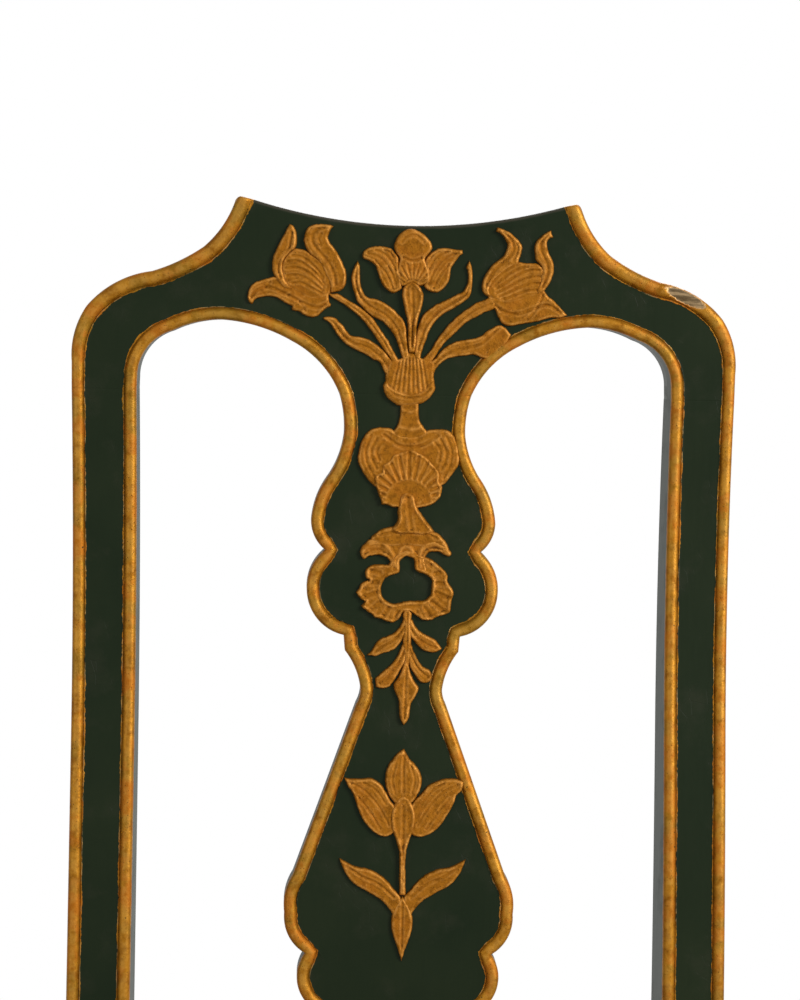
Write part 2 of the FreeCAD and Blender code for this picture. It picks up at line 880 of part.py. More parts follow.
def leg_section(stand, deep, round_share):
    """A square cut level, each corner worked round in three flats as a spokeshave leaves it."""
    half = (stand + deep) / 2
    shift = stand - half
    centre = (block_side + shift, block_face - shift)
    radius = half * round_share
    flat = half - radius
    wide = flat + radius * dim("flat_wide_share")
    narrow = flat + radius / 2
    points = []
    for sign_x, sign_y in ((1, 1), (-1, 1), (-1, -1), (1, -1)):
        corner = [(half, flat), (wide, narrow), (narrow, wide), (flat, half)]
        if sign_x != sign_y:
            corner.reverse()
        for across, along in corner:
            points.append((centre[0] + across * sign_x, centre[1] + along * sign_y))
    return Outline(points[0]).line(*points[1:])


def foot_profile():
    """Half of the turned pad foot, from its centre out, as the turner's flats."""
    disc = dim("foot_disc_radius")
    disc_top = dim("foot_disc_height")
    widest = dim("foot_radius")
    widest_level = dim("foot_mid_height")
    neck_level = dim("foot_neck_height")
    rise = neck_level - widest_level
    return Outline((none, none)).line(
        (disc, none), (disc, disc_top),
        (widest * dim("foot_under_share"), (disc_top + widest_level) / 2),
        (widest, widest_level),
        (widest * dim("foot_upper_share"), widest_level + rise / 3),
        (dim("foot_neck_radius"), neck_level), (none, neck_level))


def make_front_leg():
    body = new_body("front_leg_right")
    block = rectangle((block_inner, block_face), (block_side, block_back))
    sketch = add_sketch(body, "block", "XY_Plane", [block], rail_foot)
    add_pad(body, sketch, dim("rail_height"))
    sections = []
    for index, (level, stand, deep, round_share) in enumerate(leg_stations()):
        sections.append(add_sketch(body, f"station_{index}", "XY_Plane",
                                   [leg_section(stand, deep, round_share)], level))
    loft = body.newObject("PartDesign::AdditiveLoft", "front_leg_cabriole")
    loft.Profile = sections[0]
    loft.Sections = sections[1:]
    loft.Ruled = True
    for section in sections:
        section.Visibility = False
    foot_depth = block_face + dim("foot_inset")
    foot_sketch = add_sketch(body, "foot", "XZ_Plane", [foot_profile()], foot_depth)
    foot_sketch.setExpression("AttachmentOffset.Base.x", (block_side - dim("foot_inset")).text)
    foot = body.newObject("PartDesign::Revolution", "front_leg_pad_foot")
    foot.Profile = foot_sketch
    foot.ReferenceAxis = (foot_sketch, ["V_Axis"])
    foot_sketch.Visibility = False
    doc.recompute()
    cut_well(body)
    add_box(body, "Subtractive", "front_mortise", front_tenon(1, gap))
    add_box(body, "Subtractive", "side_mortise", side_tenon(False, gap))
    for index, level in enumerate(peg_levels()):
        add_hole(body, f"side_peg_hole_{index}", "x", side_peg_start(level),
                 dim("peg_radius") + gap, dim("peg_length") + overrun)
        add_hole(body, f"front_peg_hole_{index}", "y", front_peg_start(1, level),
                 dim("peg_radius") + gap, dim("peg_length") + gap)
    return body


def bracket_waste(near, far, upper, lower):
    """What is sawn off under the hollow curve of a knee bracket."""
    middle = (near + far) / 2
    depth = upper - lower
    below = lower - overrun
    beyond = far + (far - near) * dim("round_via_share")
    via = (middle + (far - near) * dim("round_via_share") / -2,
           upper - depth * dim("round_via_share"))
    return Outline((near, lower)).arc(via, (far, upper)).line(
        (beyond, upper), (beyond, below), (near, below))


def make_front_bracket():
    body = new_body("knee_bracket_front_right")
    near = block_inner - dim("shoulder_gap") - gap
    far = near - dim("bracket_width")
    face = block_face - dim("bracket_proud")
    upper = rail_foot - dim("shoulder_gap")
    lower = upper - dim("bracket_drop")
    blank = rectangle((far, face), (near, face + dim("bracket_thick")))
    sketch = add_sketch(body, "plan", "XY_Plane", [blank], lower)
    add_pad(body, sketch, upper - lower)
    waste = add_sketch(body, "curve", "XZ_Plane", [bracket_waste(near, far, upper, lower)])
    add_pocket(body, waste, dim("overall_depth") * 2, centred=True)
    return body


def make_side_bracket():
    body = new_body("knee_bracket_side_right")
    near = block_back + dim("shoulder_gap") + gap
    far = near + dim("bracket_width")
    proud = dim("bracket_proud")
    thick = dim("bracket_thick")
    upper = rail_foot - dim("shoulder_gap")
    lower = upper - dim("bracket_drop")
    blank = Outline((side_face(near) + proud, near)).line(
        (side_face(far) + proud, far), (side_face(far) + proud - thick, far),
        (side_face(near) + proud - thick, near))
    sketch = add_sketch(body, "plan", "XY_Plane", [blank], lower)
    add_pad(body, sketch, upper - lower)
    waste = add_sketch(body, "curve", "YZ_Plane", [bracket_waste(near, far, upper, lower)])
    add_pocket(body, waste, dim("front_half_width") * 4, centred=True)
    return body


block_foot = seat - dim("block_drop") - dim("block_height")


def make_front_block():
    """The glued corner block behind a front leg, notched round the leg's inner corner."""
    body = new_body("corner_block_front_right")
    rail_back = block_face + dim("rail_thick") + gap
    leg_inner = block_inner - gap
    leg_back = block_back + gap
    reach = dim("block_leg")
    far = leg_back + reach
    outline = Outline((leg_inner - reach, rail_back)).line(
        (leg_inner, rail_back), (leg_inner, leg_back),
        (side_face(leg_back) - dim("rail_thick") - gap, leg_back),
        (side_face(far) - dim("rail_thick") - gap, far))
    sketch = add_sketch(body, "plan", "XY_Plane", [outline], block_foot)
    add_pad(body, sketch, dim("block_height"))
    return body


def make_rear_block():
    body = new_body("corner_block_rear_right")
    near = rear_rail_face - gap
    far = near - dim("block_leg")
    corner = side_face(near) - dim("rail_thick") - gap
    outline = Outline((corner - dim("block_leg"), near)).line(
        (corner, near), (side_face(far) - dim("rail_thick") - gap, far))
    sketch = add_sketch(body, "plan", "XY_Plane", [outline], block_foot)
    add_pad(body, sketch, dim("block_height"))
    return body


def make_pegs():
    """The wooden pins that lock the rails' tenons, all alike."""
    pegs = []
    radius = dim("peg_radius")
    length = dim("peg_length")
    for index, level in enumerate(peg_levels()):
        for name, side in CORNER_SIGNS.items():
            pegs.append(eight_sided(f"front_peg_{name}_{index}", "y",
                                    front_peg_start(side, level), radius, length))
            for place, start in (("post", post_peg_start(level)), ("leg", side_peg_start(level))):
                if side < 0:
                    start = (-(start[0] + length), start[1], start[2])
                pegs.append(eight_sided(f"{place}_peg_{name}_{index}", "x", start, radius, length))
    return gather("joint_pegs", pegs)


# The slip seat, from the rebate up.
slip_foot = rebate + dim("slip_rest_gap")
slip_top = slip_foot + dim("slip_thick")
slip_inset = dim("slip_gap") + dim("cover_thick") + dim("soft_gap")
slip_front = well_front + slip_inset
slip_rear = well_back - slip_inset
member = dim("slip_member")


def slip_side(depth, inset):
    return side_face(depth) - dim("side_lip") - slip_inset - inset


def slip_tenon(front, side, ease):
    """The loose tongue that joins a side member to the front or rear member."""
    edge = slip_front + member if front else slip_rear - member
    middle = slip_side(edge, member / 2)
    if side < 0:
        middle = -middle
    half = dim("slip_tenon_width") / 2 + ease
    reach = dim("slip_tenon_length") + ease
    level = (slip_foot + slip_top) / 2
    half_thick = dim("slip_tenon_thick") / 2 + ease
    along = (edge - reach, edge + overrun) if front else (edge - overrun, edge + reach)
    return (middle - half, middle + half), along, (level - half_thick, level + half_thick)


def tack_places(name):
    """Where the cover's tacks go under one member of the slip frame."""
    inset = dim("tack_inset")
    places = []
    for index in range(TACKS_PER_MEMBER):
        share = Size((index + 1) / (TACKS_PER_MEMBER + 1), f"({index + 1} / {TACKS_PER_MEMBER + 1})")
        if name in ("front", "rear"):
            depth = slip_front + inset if name == "front" else slip_rear - inset
            reach = slip_side(depth, none)
            places.append((reach * 2 * share - reach, depth))
        else:
            near = slip_front + member
            depth = near + (slip_rear - member - near) * share
            across = slip_side(depth, inset)
            places.append((across if name == "right" else -across, depth))
    return places


def drill_tacks(body, name):
    for index, (across, depth) in enumerate(tack_places(name)):
        half = dim("tack_shank_half") + gap
        head_foot = slip_foot - dim("soft_gap") - dim("tack_head_thick")
        add_box(body, "Subtractive", f"tack_hole_{index}",
                ((across - half, across + half), (depth - half, depth + half),
                 (head_foot - overrun, head_foot + dim("tack_length") + gap)))


def make_slip_end(name):
    """The front or rear member of the slip frame, as long as the seat is wide there."""
    body = new_body(f"slip_frame_{name}")
    front = name == "front"
    near = slip_front if front else slip_rear - member
    far = near + member
    outline = Outline((slip_side(near, none), near)).line(
        (slip_side(far, none), far), (-slip_side(far, none), far), (-slip_side(near, none), near))
    sketch = add_sketch(body, "plan", "XY_Plane", [outline], slip_foot)
    add_pad(body, sketch, dim("slip_thick"))
    for corner, side in CORNER_SIGNS.items():
        add_box(body, "Subtractive", f"mortise_{corner}", slip_tenon(front, side, gap))
    drill_tacks(body, name)
    return body


def make_slip_side():
    body = new_body("slip_frame_right")
    near = slip_front + member + dim("shoulder_gap")
    far = slip_rear - member - dim("shoulder_gap")
    outline = Outline((slip_side(near, none), near)).line(
        (slip_side(far, none), far), (slip_side(far, member), far), (slip_side(near, member), near))
    sketch = add_sketch(body, "plan", "XY_Plane", [outline], slip_foot)
    add_pad(body, sketch, dim("slip_thick"))
    for front in (True, False):
        add_box(body, "Additive", "tenon", slip_tenon(front, 1, none))
    drill_tacks(body, "right")
    return body


def make_tacks():
    """Hammered tacks that hold the turned-in cover under the slip frame."""
    tacks = []
    for name in ("front", "rear", "right", "left"):
        for index, (across, depth) in enumerate(tack_places(name)):
            head_foot = slip_foot - dim("soft_gap") - dim("tack_head_thick")
            head = eight_sided(f"tack_head_{name}_{index}", "z", (across, depth, head_foot),
                               dim("tack_head_radius"), dim("tack_head_thick"))
            half = dim("tack_shank_half")
            shank = doc.addObject("Part::Box", f"tack_shank_{name}_{index}")
            set_box(shank, ((across - half, across + half), (depth - half, depth + half),
                            (head_foot, head_foot + dim("tack_length"))))
            tack = doc.addObject("Part::Fuse", f"tack_{name}_{index}")
            tack.Base = head
            tack.Tool = shank
            tacks.append(tack)
    return gather("upholstery_tacks", tacks)


def make_webbing():
    """Three webs each way, woven through each other and stretched over the frame."""
    webs = []
    thick = dim("web_thick")
    half = dim("web_width") / 2
    base = slip_top + dim("shoulder_gap")
    lap = dim("web_lap")
    middle = (slip_front + slip_rear) / 2
    for index in (-1, 0, 1):
        along = doc.addObject("Part::Box", f"web_along_{index + 2}")
        centre = dim("web_pitch_across") * index
        low = slip_front + member - lap
        high = slip_rear - member + lap
        across = doc.addObject("Part::Box", f"web_across_{index + 2}")
        depth = middle + dim("web_pitch_along") * index
        reach = slip_side(depth, member - lap)
        set_box(along, ((centre - half, centre + half), (low, high), (base, base + thick)))
        set_box(across, ((-reach, reach), (depth - half, depth + half), (base, base + thick)))
        webs += [along, across]
    webbing = doc.addObject("Part::MultiFuse", "seat_webbing")
    webbing.Shapes = webs
    webbing.Refine = True
    webbing.Label = "seat_webbing"
    return webbing


web_top = slip_top + dim("web_thick") + dim("shoulder_gap") * 2
canvas_top = web_top + dim("canvas_thick")


def make_canvas():
    body = new_body("seat_canvas")
    inset = dim("canvas_inset")
    near = slip_front + inset
    far = slip_rear - inset
    outline = Outline((slip_side(near, inset), near)).line(
        (slip_side(far, inset), far), (-slip_side(far, inset), far), (-slip_side(near, inset), near))
    sketch = add_sketch(body, "plan", "XY_Plane", [outline], web_top)
    add_pad(body, sketch, dim("canvas_thick"))
    return body


def cushion_stations():
    """Where the seat's crown is cut across, front to rear, and how full it is there."""
    near = dim("station_near_share")
    shoulder = dim("station_shoulder_share")
    end = Size(1, "1")
    rise = [(none, dim("cushion_edge_share")), (near, dim("cushion_near_share")),
            (shoulder, dim("cushion_shoulder_share"))]
    crown = [(end / 2, dim("cushion_full_share"))]
    return rise + crown + [(end - share, full) for share, full in reversed(rise)]


def cushion_loft(body, inset, foot):
    """A crowned pad with drawn-in sides, lofted from front to rear."""
    front = slip_front - dim("soft_gap") - dim("cover_thick") + inset
    rear = slip_rear + dim("soft_gap") + dim("cover_thick") - inset
    sections = []
    for index, (share, full) in enumerate(cushion_stations()):
        depth = front + (rear - front) * share
        half = slip_side(depth, inset) + dim("soft_gap") + dim("cover_thick")
        base = canvas_top + dim("cover_thick") + dim("soft_gap") - inset
        side_top = base + dim("cushion_side_rise") * full
        roll = dim("cushion_shoulder_inset")
        shoulder = (half - roll, base + dim("cushion_shoulder_rise") * full)
        climb = shoulder[1] - side_top
        lower = (half - roll * dim("bend_lower_in_share"),
                 side_top + climb * dim("bend_lower_up_share"))
        upper = (half - roll * dim("bend_upper_in_share"),
                 side_top + climb * dim("bend_upper_up_share"))
        crown = (none, base + dim("cushion_crown_rise") * full)
        outline = Outline((half, foot)).line((half, side_top), lower, upper, shoulder)
        outline.arc(crown, mirrored(shoulder)).line(mirrored(upper), mirrored(lower),
                                                    (-half, side_top), (-half, foot))
        sections.append(add_sketch(body, f"section_{index}", "XZ_Plane", [outline], depth))
    loft = body.newObject("PartDesign::AdditiveLoft", f"{body.Name}_loft")
    loft.Profile = sections[0]
    loft.Sections = sections[1:]
    loft.Ruled = True
    for section in sections:
        section.Visibility = False
    return loft


def make_stuffing():
    body = new_body("seat_stuffing")
    inset = dim("cover_thick") + dim("soft_gap") * 2
    cushion_loft(body, inset, canvas_top + dim("soft_gap"))
    return body


def make_cover():
    """The covering drawn over the stuffing and down the frame's edges."""
    outer = new_body("cover_outside")
    cushion_loft(outer, none, slip_foot)
    inner = new_body("cover_inside")
    cushion_loft(inner, dim("cover_thick"), slip_foot - overrun)
    cover = doc.addObject("Part::Cut", "seat_cover")
    cover.Base = outer
    cover.Tool = inner
    cover.Label = "seat_cover"
    return cover


def make_parts():
    pairs = [make_rear_post(), make_side_rail(), make_front_leg(), make_front_bracket(),
             make_side_bracket(), make_front_block(), make_rear_block(), make_slip_side()]
    parts = [make_crest(), make_splat(), make_shoe(), make_rear_rail(), make_front_rail(),
             make_pegs(), make_slip_end("front"), make_slip_end("rear"), make_webbing(),
             make_canvas(), make_stuffing(), make_cover(), make_tacks()]
    for piece in pairs:
        parts.append(piece)
        parts.append(mirror_part(piece, piece.Label.replace("_right", "_left")))
    return parts


def check_document(parts):
    """Stop before anything is written if an object failed or a shape is unsound."""
    for item in doc.Objects:
        if "Invalid" in item.State or "Error" in item.State:
            raise RuntimeError(f"{item.Label} failed: {item.State}")
        if item.TypeId == "Sketcher::SketchObject" and not item.FullyConstrained:
            raise RuntimeError(f"{item.Label} has loose geometry")
    for part in parts:
        if part.Shape.isNull() or not part.Shape.isValid():
            raise RuntimeError(f"{part.Label} has no sound shape")


def write_parts(parts):
    os.makedirs("parts", exist_ok=True)
    for part in parts:
        part.Shape.exportStep(f"parts/{part.Label}.step")


all_parts = make_parts()
doc.recompute()
check_document(all_parts)
write_parts(all_parts)
print(len(all_parts), "parts written")
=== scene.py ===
"""A japanned side chair with a gilt edge moulding and raised gilt flowers.

Everything is worked in millimetres and written to the meshes in metres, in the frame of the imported
model: X across, Z up, the front faces -Y. Places on the face of the back are given as across, from
the centre line, and drop, below the tips of the ears.
"""

import logging
import math
from dataclasses import dataclass, field
from enum import Enum
from functools import cache

import bmesh
import bpy
import numpy as np
from bpy.types import Material, Mesh, Node, NodeOutputs, NodeSocket, NodeTree, Object
from mathutils import Matrix, Vector, noise
from mathutils.geometry import delaunay_2d_cdt


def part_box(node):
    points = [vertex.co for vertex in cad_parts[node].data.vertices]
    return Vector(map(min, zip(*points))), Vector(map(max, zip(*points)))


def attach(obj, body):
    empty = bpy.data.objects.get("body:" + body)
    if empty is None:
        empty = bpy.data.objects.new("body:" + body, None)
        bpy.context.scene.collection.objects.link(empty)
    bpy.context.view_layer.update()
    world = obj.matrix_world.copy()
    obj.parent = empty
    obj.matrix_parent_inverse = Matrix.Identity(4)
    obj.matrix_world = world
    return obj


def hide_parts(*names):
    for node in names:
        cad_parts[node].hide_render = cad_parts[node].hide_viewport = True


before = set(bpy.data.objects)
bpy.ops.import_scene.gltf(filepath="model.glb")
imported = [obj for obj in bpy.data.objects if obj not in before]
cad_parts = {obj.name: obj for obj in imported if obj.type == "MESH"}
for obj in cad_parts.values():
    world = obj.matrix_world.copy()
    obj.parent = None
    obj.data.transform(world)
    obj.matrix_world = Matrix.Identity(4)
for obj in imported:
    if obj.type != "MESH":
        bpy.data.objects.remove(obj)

Point = tuple[float, float]
Points = tuple[Point, ...]

MM = 0.001
# a distance from a gilt edge at which no leaf lies, in millimetres
PLAIN = 60.0
FRAME_BODY = "chair_frame"
SEAT_BODY = "slip_seat"
LOG = logging.getLogger("side_chair")
logging.basicConfig(level=logging.INFO, format="%(name)s: %(message)s")


class Tone(Enum):
    """Colours as linear red, green and blue."""

    JAPAN_DARK = (0.0078, 0.015, 0.0058)
    JAPAN_MID = (0.0138, 0.0216, 0.0088)
    # a pale greyish green: random dusty patches, and the painted highlight along the crest's eased top edge
    JAPAN_WORN = (0.05, 0.046, 0.032)
    BARE_WOOD = (0.33, 0.225, 0.115)
    BARE_WOOD_DARK = (0.115, 0.075, 0.034)
    # LEAF_BRIGHT: the painted highlight on the bead's crown, with random pale patches
    LEAF_BRIGHT = (0.74, 0.40, 0.08)
    LEAF_MID = (0.375, 0.158, 0.010)
    LEAF_MATT = (0.335, 0.123, 0.006)
    # LEAF_PALE: the painted highlight on the ornament's rims and ridges, partly rubbed gilding, with random
    # pale patches
    LEAF_PALE = (0.60, 0.265, 0.05)
    LEAF_LINE = (0.46, 0.3, 0.12)
    LEAF_DULL = (0.215, 0.076, 0.002)
    LEAF_OLIVE = (0.21, 0.115, 0.010)
    BOLE = (0.39, 0.118, 0.008)
    GESSO = (0.52, 0.34, 0.17)
    # darkest brown: painted shade in grooves, hollows and round the ornament's foot, with flecks of old
    # varnish
    ANTIQUE = (0.05, 0.018, 0.002)
    SOFTWOOD_PALE = (0.50, 0.35, 0.19)
    SOFTWOOD_DARK = (0.33, 0.205, 0.095)
    SILK_GROUND = (0.55, 0.42, 0.22)
    SILK_FIGURE = (0.76, 0.66, 0.45)
    SILK_GREEN = (0.09, 0.14, 0.07)
    SILK_SHADE = (0.36, 0.26, 0.12)
    JUTE = (0.38, 0.26, 0.13)
    JUTE_DARK = (0.17, 0.105, 0.05)
    WEB_STRIPE = (0.13, 0.035, 0.02)
    LINEN = (0.52, 0.44, 0.30)
    LINEN_DARK = (0.30, 0.24, 0.15)
    IRON = (0.045, 0.040, 0.036)
    IRON_RUST = (0.14, 0.065, 0.03)
    STUDIO_WHITE = (1.0, 1.0, 1.0)

    @property
    def rgba(self) -> tuple[float, float, float, float]:
        """The colour with full alpha, as a colour socket takes it."""
        return (*self.value, 1.0)


def node_low(node: str) -> np.ndarray:
    """The lowest corner of a node of the frame, in millimetres."""
    return np.array(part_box(node)[0]) / MM


def node_high(node: str) -> np.ndarray:
    """The highest corner of a node of the frame, in millimetres."""
    return np.array(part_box(node)[1]) / MM


# Plane geometry

def line_points(start: Point, end: Point, step: float) -> list[Point]:
    """Evenly spaced points from start to end, without the start.

    Args:
        start: where the line begins.
        end: where it ends.
        step: the longest distance between two points.

    Returns:
        The points, the last at the end.
    """
    length = math.dist(start, end)
    count = max(1, math.ceil(length / step))
    return [(start[0] + (end[0] - start[0]) * i / count,
             start[1] + (end[1] - start[1]) * i / count) for i in range(1, count + 1)]


def arc_points(start: Point, via: Point, end: Point, step: float) -> list[Point]:
    """Points along the circle through three points.

    Args:
        start: where the arc begins; it isn't in the result.
        via: a point on the way.
        end: where it ends, the last point of the result.
        step: the longest chord.

    Returns:
        The points, evenly spaced.
    """
    (ax, ay), (bx, by), (cx, cy) = start, via, end
    double = 2 * (ax * (by - cy) + bx * (cy - ay) + cx * (ay - by))
    if abs(double) < 1.0:
        return line_points(start, end, step)
    a2, b2, c2 = ax * ax + ay * ay, bx * bx + by * by, cx * cx + cy * cy
    ox = (a2 * (by - cy) + b2 * (cy - ay) + c2 * (ay - by)) / double
    oy = (a2 * (cx - bx) + b2 * (ax - cx) + c2 * (bx - ax)) / double
    radius = math.hypot(ax - ox, ay - oy)
    first = math.atan2(ay - oy, ax - ox)
    turn = math.atan2(cy - oy, cx - ox) - first
    if double > 0:
        turn %= 2 * math.pi
    else:
        turn = -((-turn) % (2 * math.pi))
    count = max(2, math.ceil(abs(turn) * radius / step))
    return [(ox + radius * math.cos(first + turn * i / count),
             oy + radius * math.sin(first + turn * i / count)) for i in range(1, count + 1)]


def distance_to_pieces(points: np.ndarray, starts: np.ndarray, ends: np.ndarray) -> np.ndarray:
    """How far each point lies from the nearest of some straight pieces.

    Args:
        points: the places to measure, one a row.
        starts: where each piece begins.
        ends: where each piece ends.

    Returns:
        One distance for each place.
    """
    along = ends - starts
    length = np.maximum((along ** 2).sum(axis=1), 1e-12)
    best = np.empty(len(points))
    for low in range(0, len(points), 2000):
        part = points[low:low + 2000, None, :] - starts[None]
        share = np.clip((part * along).sum(axis=2) / length, 0, 1)
        off = part - share[..., None] * along
        best[low:low + 2000] = np.sqrt((off ** 2).sum(axis=2).min(axis=1))
    return best


def distance_to_line(points: np.ndarray, line: np.ndarray, closed: bool = False) -> np.ndarray:
    """How far each point lies from a run of straight pieces, whose last corner may join the first.

    Args:
        points: the places to measure.
        line: the corners of the run.
        closed: whether the last corner joins the first.

    Returns:
        One distance for each place.
    """
    if closed:
        return distance_to_pieces(points, line, np.roll(line, -1, axis=0))
    return distance_to_pieces(points, line[:-1], line[1:])


def inside(points: np.ndarray, loops: list[np.ndarray]) -> np.ndarray:
    """Which points lie inside the loops, counting crossings, so an inner loop is a hole.

    Args:
        points: the places to test.
        loops: the outline, and any holes.

    Returns:
        Whether each place lies inside.
    """
    crossings = np.zeros(len(points), dtype=int)
    for loop in loops:
        after = np.roll(loop, -1, axis=0)
        for (x1, y1), (x2, y2) in zip(loop, after):
            if y1 == y2:
                continue
            between = (points[:, 1] >= min(y1, y2)) & (points[:, 1] < max(y1, y2))
            cross = x1 + (points[:, 1] - y1) * (x2 - x1) / (y2 - y1)
            crossings += between & (cross > points[:, 0])
    return crossings % 2 == 1


def loop_area(loop: np.ndarray) -> float:
    """The signed area of a loop, positive when it runs anticlockwise."""
    after = np.roll(loop, -1, axis=0)
    return 0.5 * float((loop[:, 0] * after[:, 1] - after[:, 0] * loop[:, 1]).sum())


def loop_normals(loop: np.ndarray) -> np.ndarray:
    """Unit vectors pointing into an anticlockwise loop.

    Args:
        loop: its points.

    Returns:
        One vector for each point.
    """
    along = np.roll(loop, -1, axis=0) - np.roll(loop, 1, axis=0)
    along /= np.maximum(np.linalg.norm(along, axis=1, keepdims=True), 1e-9)
    return np.stack([-along[:, 1], along[:, 0]], axis=1)


def triangulate(loops: list[np.ndarray], extra: np.ndarray) -> tuple[np.ndarray, list[list[int]]]:
    """Fill a region with triangles that use its outline and some points inside it.

    Args:
        loops: the outline, and any holes.
        extra: points inside the region.

    Returns:
        The points, the outline's first and in order, and anticlockwise triangles.
    """
    places = np.vstack(loops + ([extra] if len(extra) else []))
    edges = []
    base = 0
    for loop in loops:
        count = len(loop)
        edges += [(base + i, base + (i + 1) % count) for i in range(count)]
        base += count
    vertices, _, faces, *_ = delaunay_2d_cdt([Vector(p) for p in places], edges, [], 0, 1e-5, False)
    result = np.array([(v[0], v[1]) for v in vertices])
    corners = np.array([list(face) for face in faces])
    keep = inside(result[corners].mean(axis=1), loops)
    return result, [list(map(int, face)) for face in corners[keep]]


def hex_grid(low: Point, high: Point, step: float) -> np.ndarray:
    """A grid of points in staggered rows.

    Args:
        low: the lowest corner.
        high: the highest corner.
        step: the distance between points.

    Returns:
        The points.
    """
    rows = np.arange(low[1], high[1], step * 0.866)
    points = [(x + (step / 2 if index % 2 else 0), y)
              for index, y in enumerate(rows) for x in np.arange(low[0], high[0], step)]
    return np.array(points) if points else np.empty((0, 2))


def smooth_step(value: np.ndarray, low: float, high: float) -> np.ndarray:
    """0 below low, 1 above high and an easy curve between.

    Args:
        value: what is measured.
        low: where 0 ends.
        high: where 1 begins.

    Returns:
        The share of each value.
    """
    share = np.clip((value - low) / (high - low), 0, 1)
    return share * share * (3 - 2 * share)


# Meshes

@dataclass
class Sheet:
    """Vertices, faces and one named value for each vertex, gathered before they become a mesh."""

    vertices: list[tuple[float, float, float]] = field(default_factory=list)
    faces: list[tuple[int, ...]] = field(default_factory=list)
    values: dict[str, list[float]] = field(default_factory=dict)

    def add(self, vertices: np.ndarray, faces: list[list[int]], **values: np.ndarray) -> int:
        """Append a patch.

        Args:
            vertices: its points in millimetres.
            faces: its faces, counted from its own first point.
            values: one array for each named value.

        Returns:
            The index that its first point has got.
        """
        base = len(self.vertices)
        self.vertices += [tuple(v) for v in vertices]
        self.faces += [tuple(base + i for i in face) for face in faces]
        for name, row in values.items():
            stored = self.values.setdefault(name, [0.0] * base)
            stored += [0.0] * (base - len(stored))
            stored += [float(v) for v in row]
        return base

    def ring(self, places: np.ndarray, **values: np.ndarray) -> list[int]:
        """Append a row of points without faces, and give their indices."""
        base = self.add(places, [], **values)
        return list(range(base, base + len(places)))

    def wrap(self, rings: list[list[int]]) -> None:
        """Skin each ring of points to the next, all the way round.

        Args:
            rings: the indices of each ring's points, all of one length.
        """
        for first, second in zip(rings, rings[1:]):
            for i in range(len(first)):
                after = (i + 1) % len(first)
                self.faces.append((first[i], first[after], second[after], second[i]))

    def build(self, name: str, material: Material, sharp: float = 45.0) -> Object:
        """Make the mesh object.

        Args:
            name: the piece's name.
            material: what it is finished with.
            sharp: edges that turn by more than this many degrees stay crisp.

        Returns:
            The object, at the origin.
        """
        mesh = bpy.data.meshes.new(name)
        mesh.from_pydata([tuple(c * MM for c in v) for v in self.vertices], [], self.faces)
        for value_name, row in self.values.items():
            row += [0.0] * (len(self.vertices) - len(row))
            layer = mesh.attributes.new(value_name, "FLOAT", "POINT")
            layer.data.foreach_set("value", row)
        mesh.update()
        return dressed(name, mesh, material, sharp)


def dressed(name: str, mesh: Mesh, material: Material, sharp: float) -> Object:
    """Make an object of a mesh.

    Args:
        name: the piece's name.
        mesh: its shape.
        material: what it is finished with.
        sharp: edges that turn by more than this many degrees stay crisp.

    Returns:
        The object, at the origin.
    """
    mesh.materials.append(material)
    mesh.shade_smooth()
    mesh.set_sharp_from_angle(angle=math.radians(sharp))
    piece = bpy.data.objects.new(name, mesh)
    bpy.context.scene.collection.objects.link(piece)
    return piece


def lay_cloth(mesh: Mesh, places: np.ndarray) -> None:
    """Store where each point lies on the cloth, in metres, for its weave to follow."""
    layer = mesh.attributes.new("cloth", "FLOAT_VECTOR", "POINT")
    layer.data.foreach_set("vector", np.asarray(places, float).ravel())


def shell(sheet: Sheet, grid: np.ndarray, offset: np.ndarray, closed: bool = False) -> None:
    """Add a thin closed shape from a grid of places and the way through it.

    Args:
        sheet: what it is added to.
        grid: the places of one side, as rows of columns.
        offset: from each place to the one on the other side.
        closed: whether the last row joins the first.
    """
    rows, columns = grid.shape[:2]
    base = sheet.add(np.vstack([grid.reshape(-1, 3), (grid + offset).reshape(-1, 3)]), [])
    near = base + np.arange(rows * columns).reshape(rows, columns)
    far = near + rows * columns
    for i in range(rows if closed else rows - 1):
        k = (i + 1) % rows
        for j in range(columns - 1):
            sheet.faces.append(tuple(map(int, (near[i, j], near[i, j + 1], near[k, j + 1], near[k, j]))))
            sheet.faces.append(tuple(map(int, (far[i, j], far[k, j], far[k, j + 1], far[i, j + 1]))))
        for j, turned in ((0, False), (columns - 1, True)):
            wall = (near[i, j], near[k, j], far[k, j], far[i, j])
            sheet.faces.append(tuple(map(int, wall[::-1] if turned else wall)))
    if not closed:
        for i, turned in ((0, True), (rows - 1, False)):
            for j in range(columns - 1):
                wall = (near[i, j], near[i, j + 1], far[i, j + 1], far[i, j])
                sheet.faces.append(tuple(map(int, wall[::-1] if turned else wall)))


def turn_outward(piece: Object) -> None:
    """Turn every face of a closed skin outward.

    Args:
        piece: the skin.
    """
    shape = bmesh.new()
    shape.from_mesh(piece.data)
    bmesh.ops.recalc_face_normals(shape, faces=shape.faces)
    shape.to_mesh(piece.data)
    shape.free()


def islands(node: str) -> list[tuple[np.ndarray, np.ndarray]]:
    """The lowest and highest corners of each separate solid of a node, in millimetres.

    Args:
        node: the node's name.

    Returns:
        The corners of each solid, in the order of the mesh.
    """
    shape = bmesh.new()
    shape.from_mesh(bpy.data.objects[node].data)
    bmesh.ops.remove_doubles(shape, verts=shape.verts, dist=1e-5)
    found = []
    seen = set()
    for first in shape.verts:
        if first in seen:
            continue
        seen.add(first)
        waiting = [first]
        places = []
        while waiting:
            vertex = waiting.pop()
            places.append(np.array(vertex.co) / MM)
            for edge in vertex.link_edges:
                other = edge.other_vert(vertex)
                if other not in seen:
                    seen.add(other)
                    waiting.append(other)
        found.append((np.min(places, axis=0), np.max(places, axis=0)))
    shape.free()
    return found


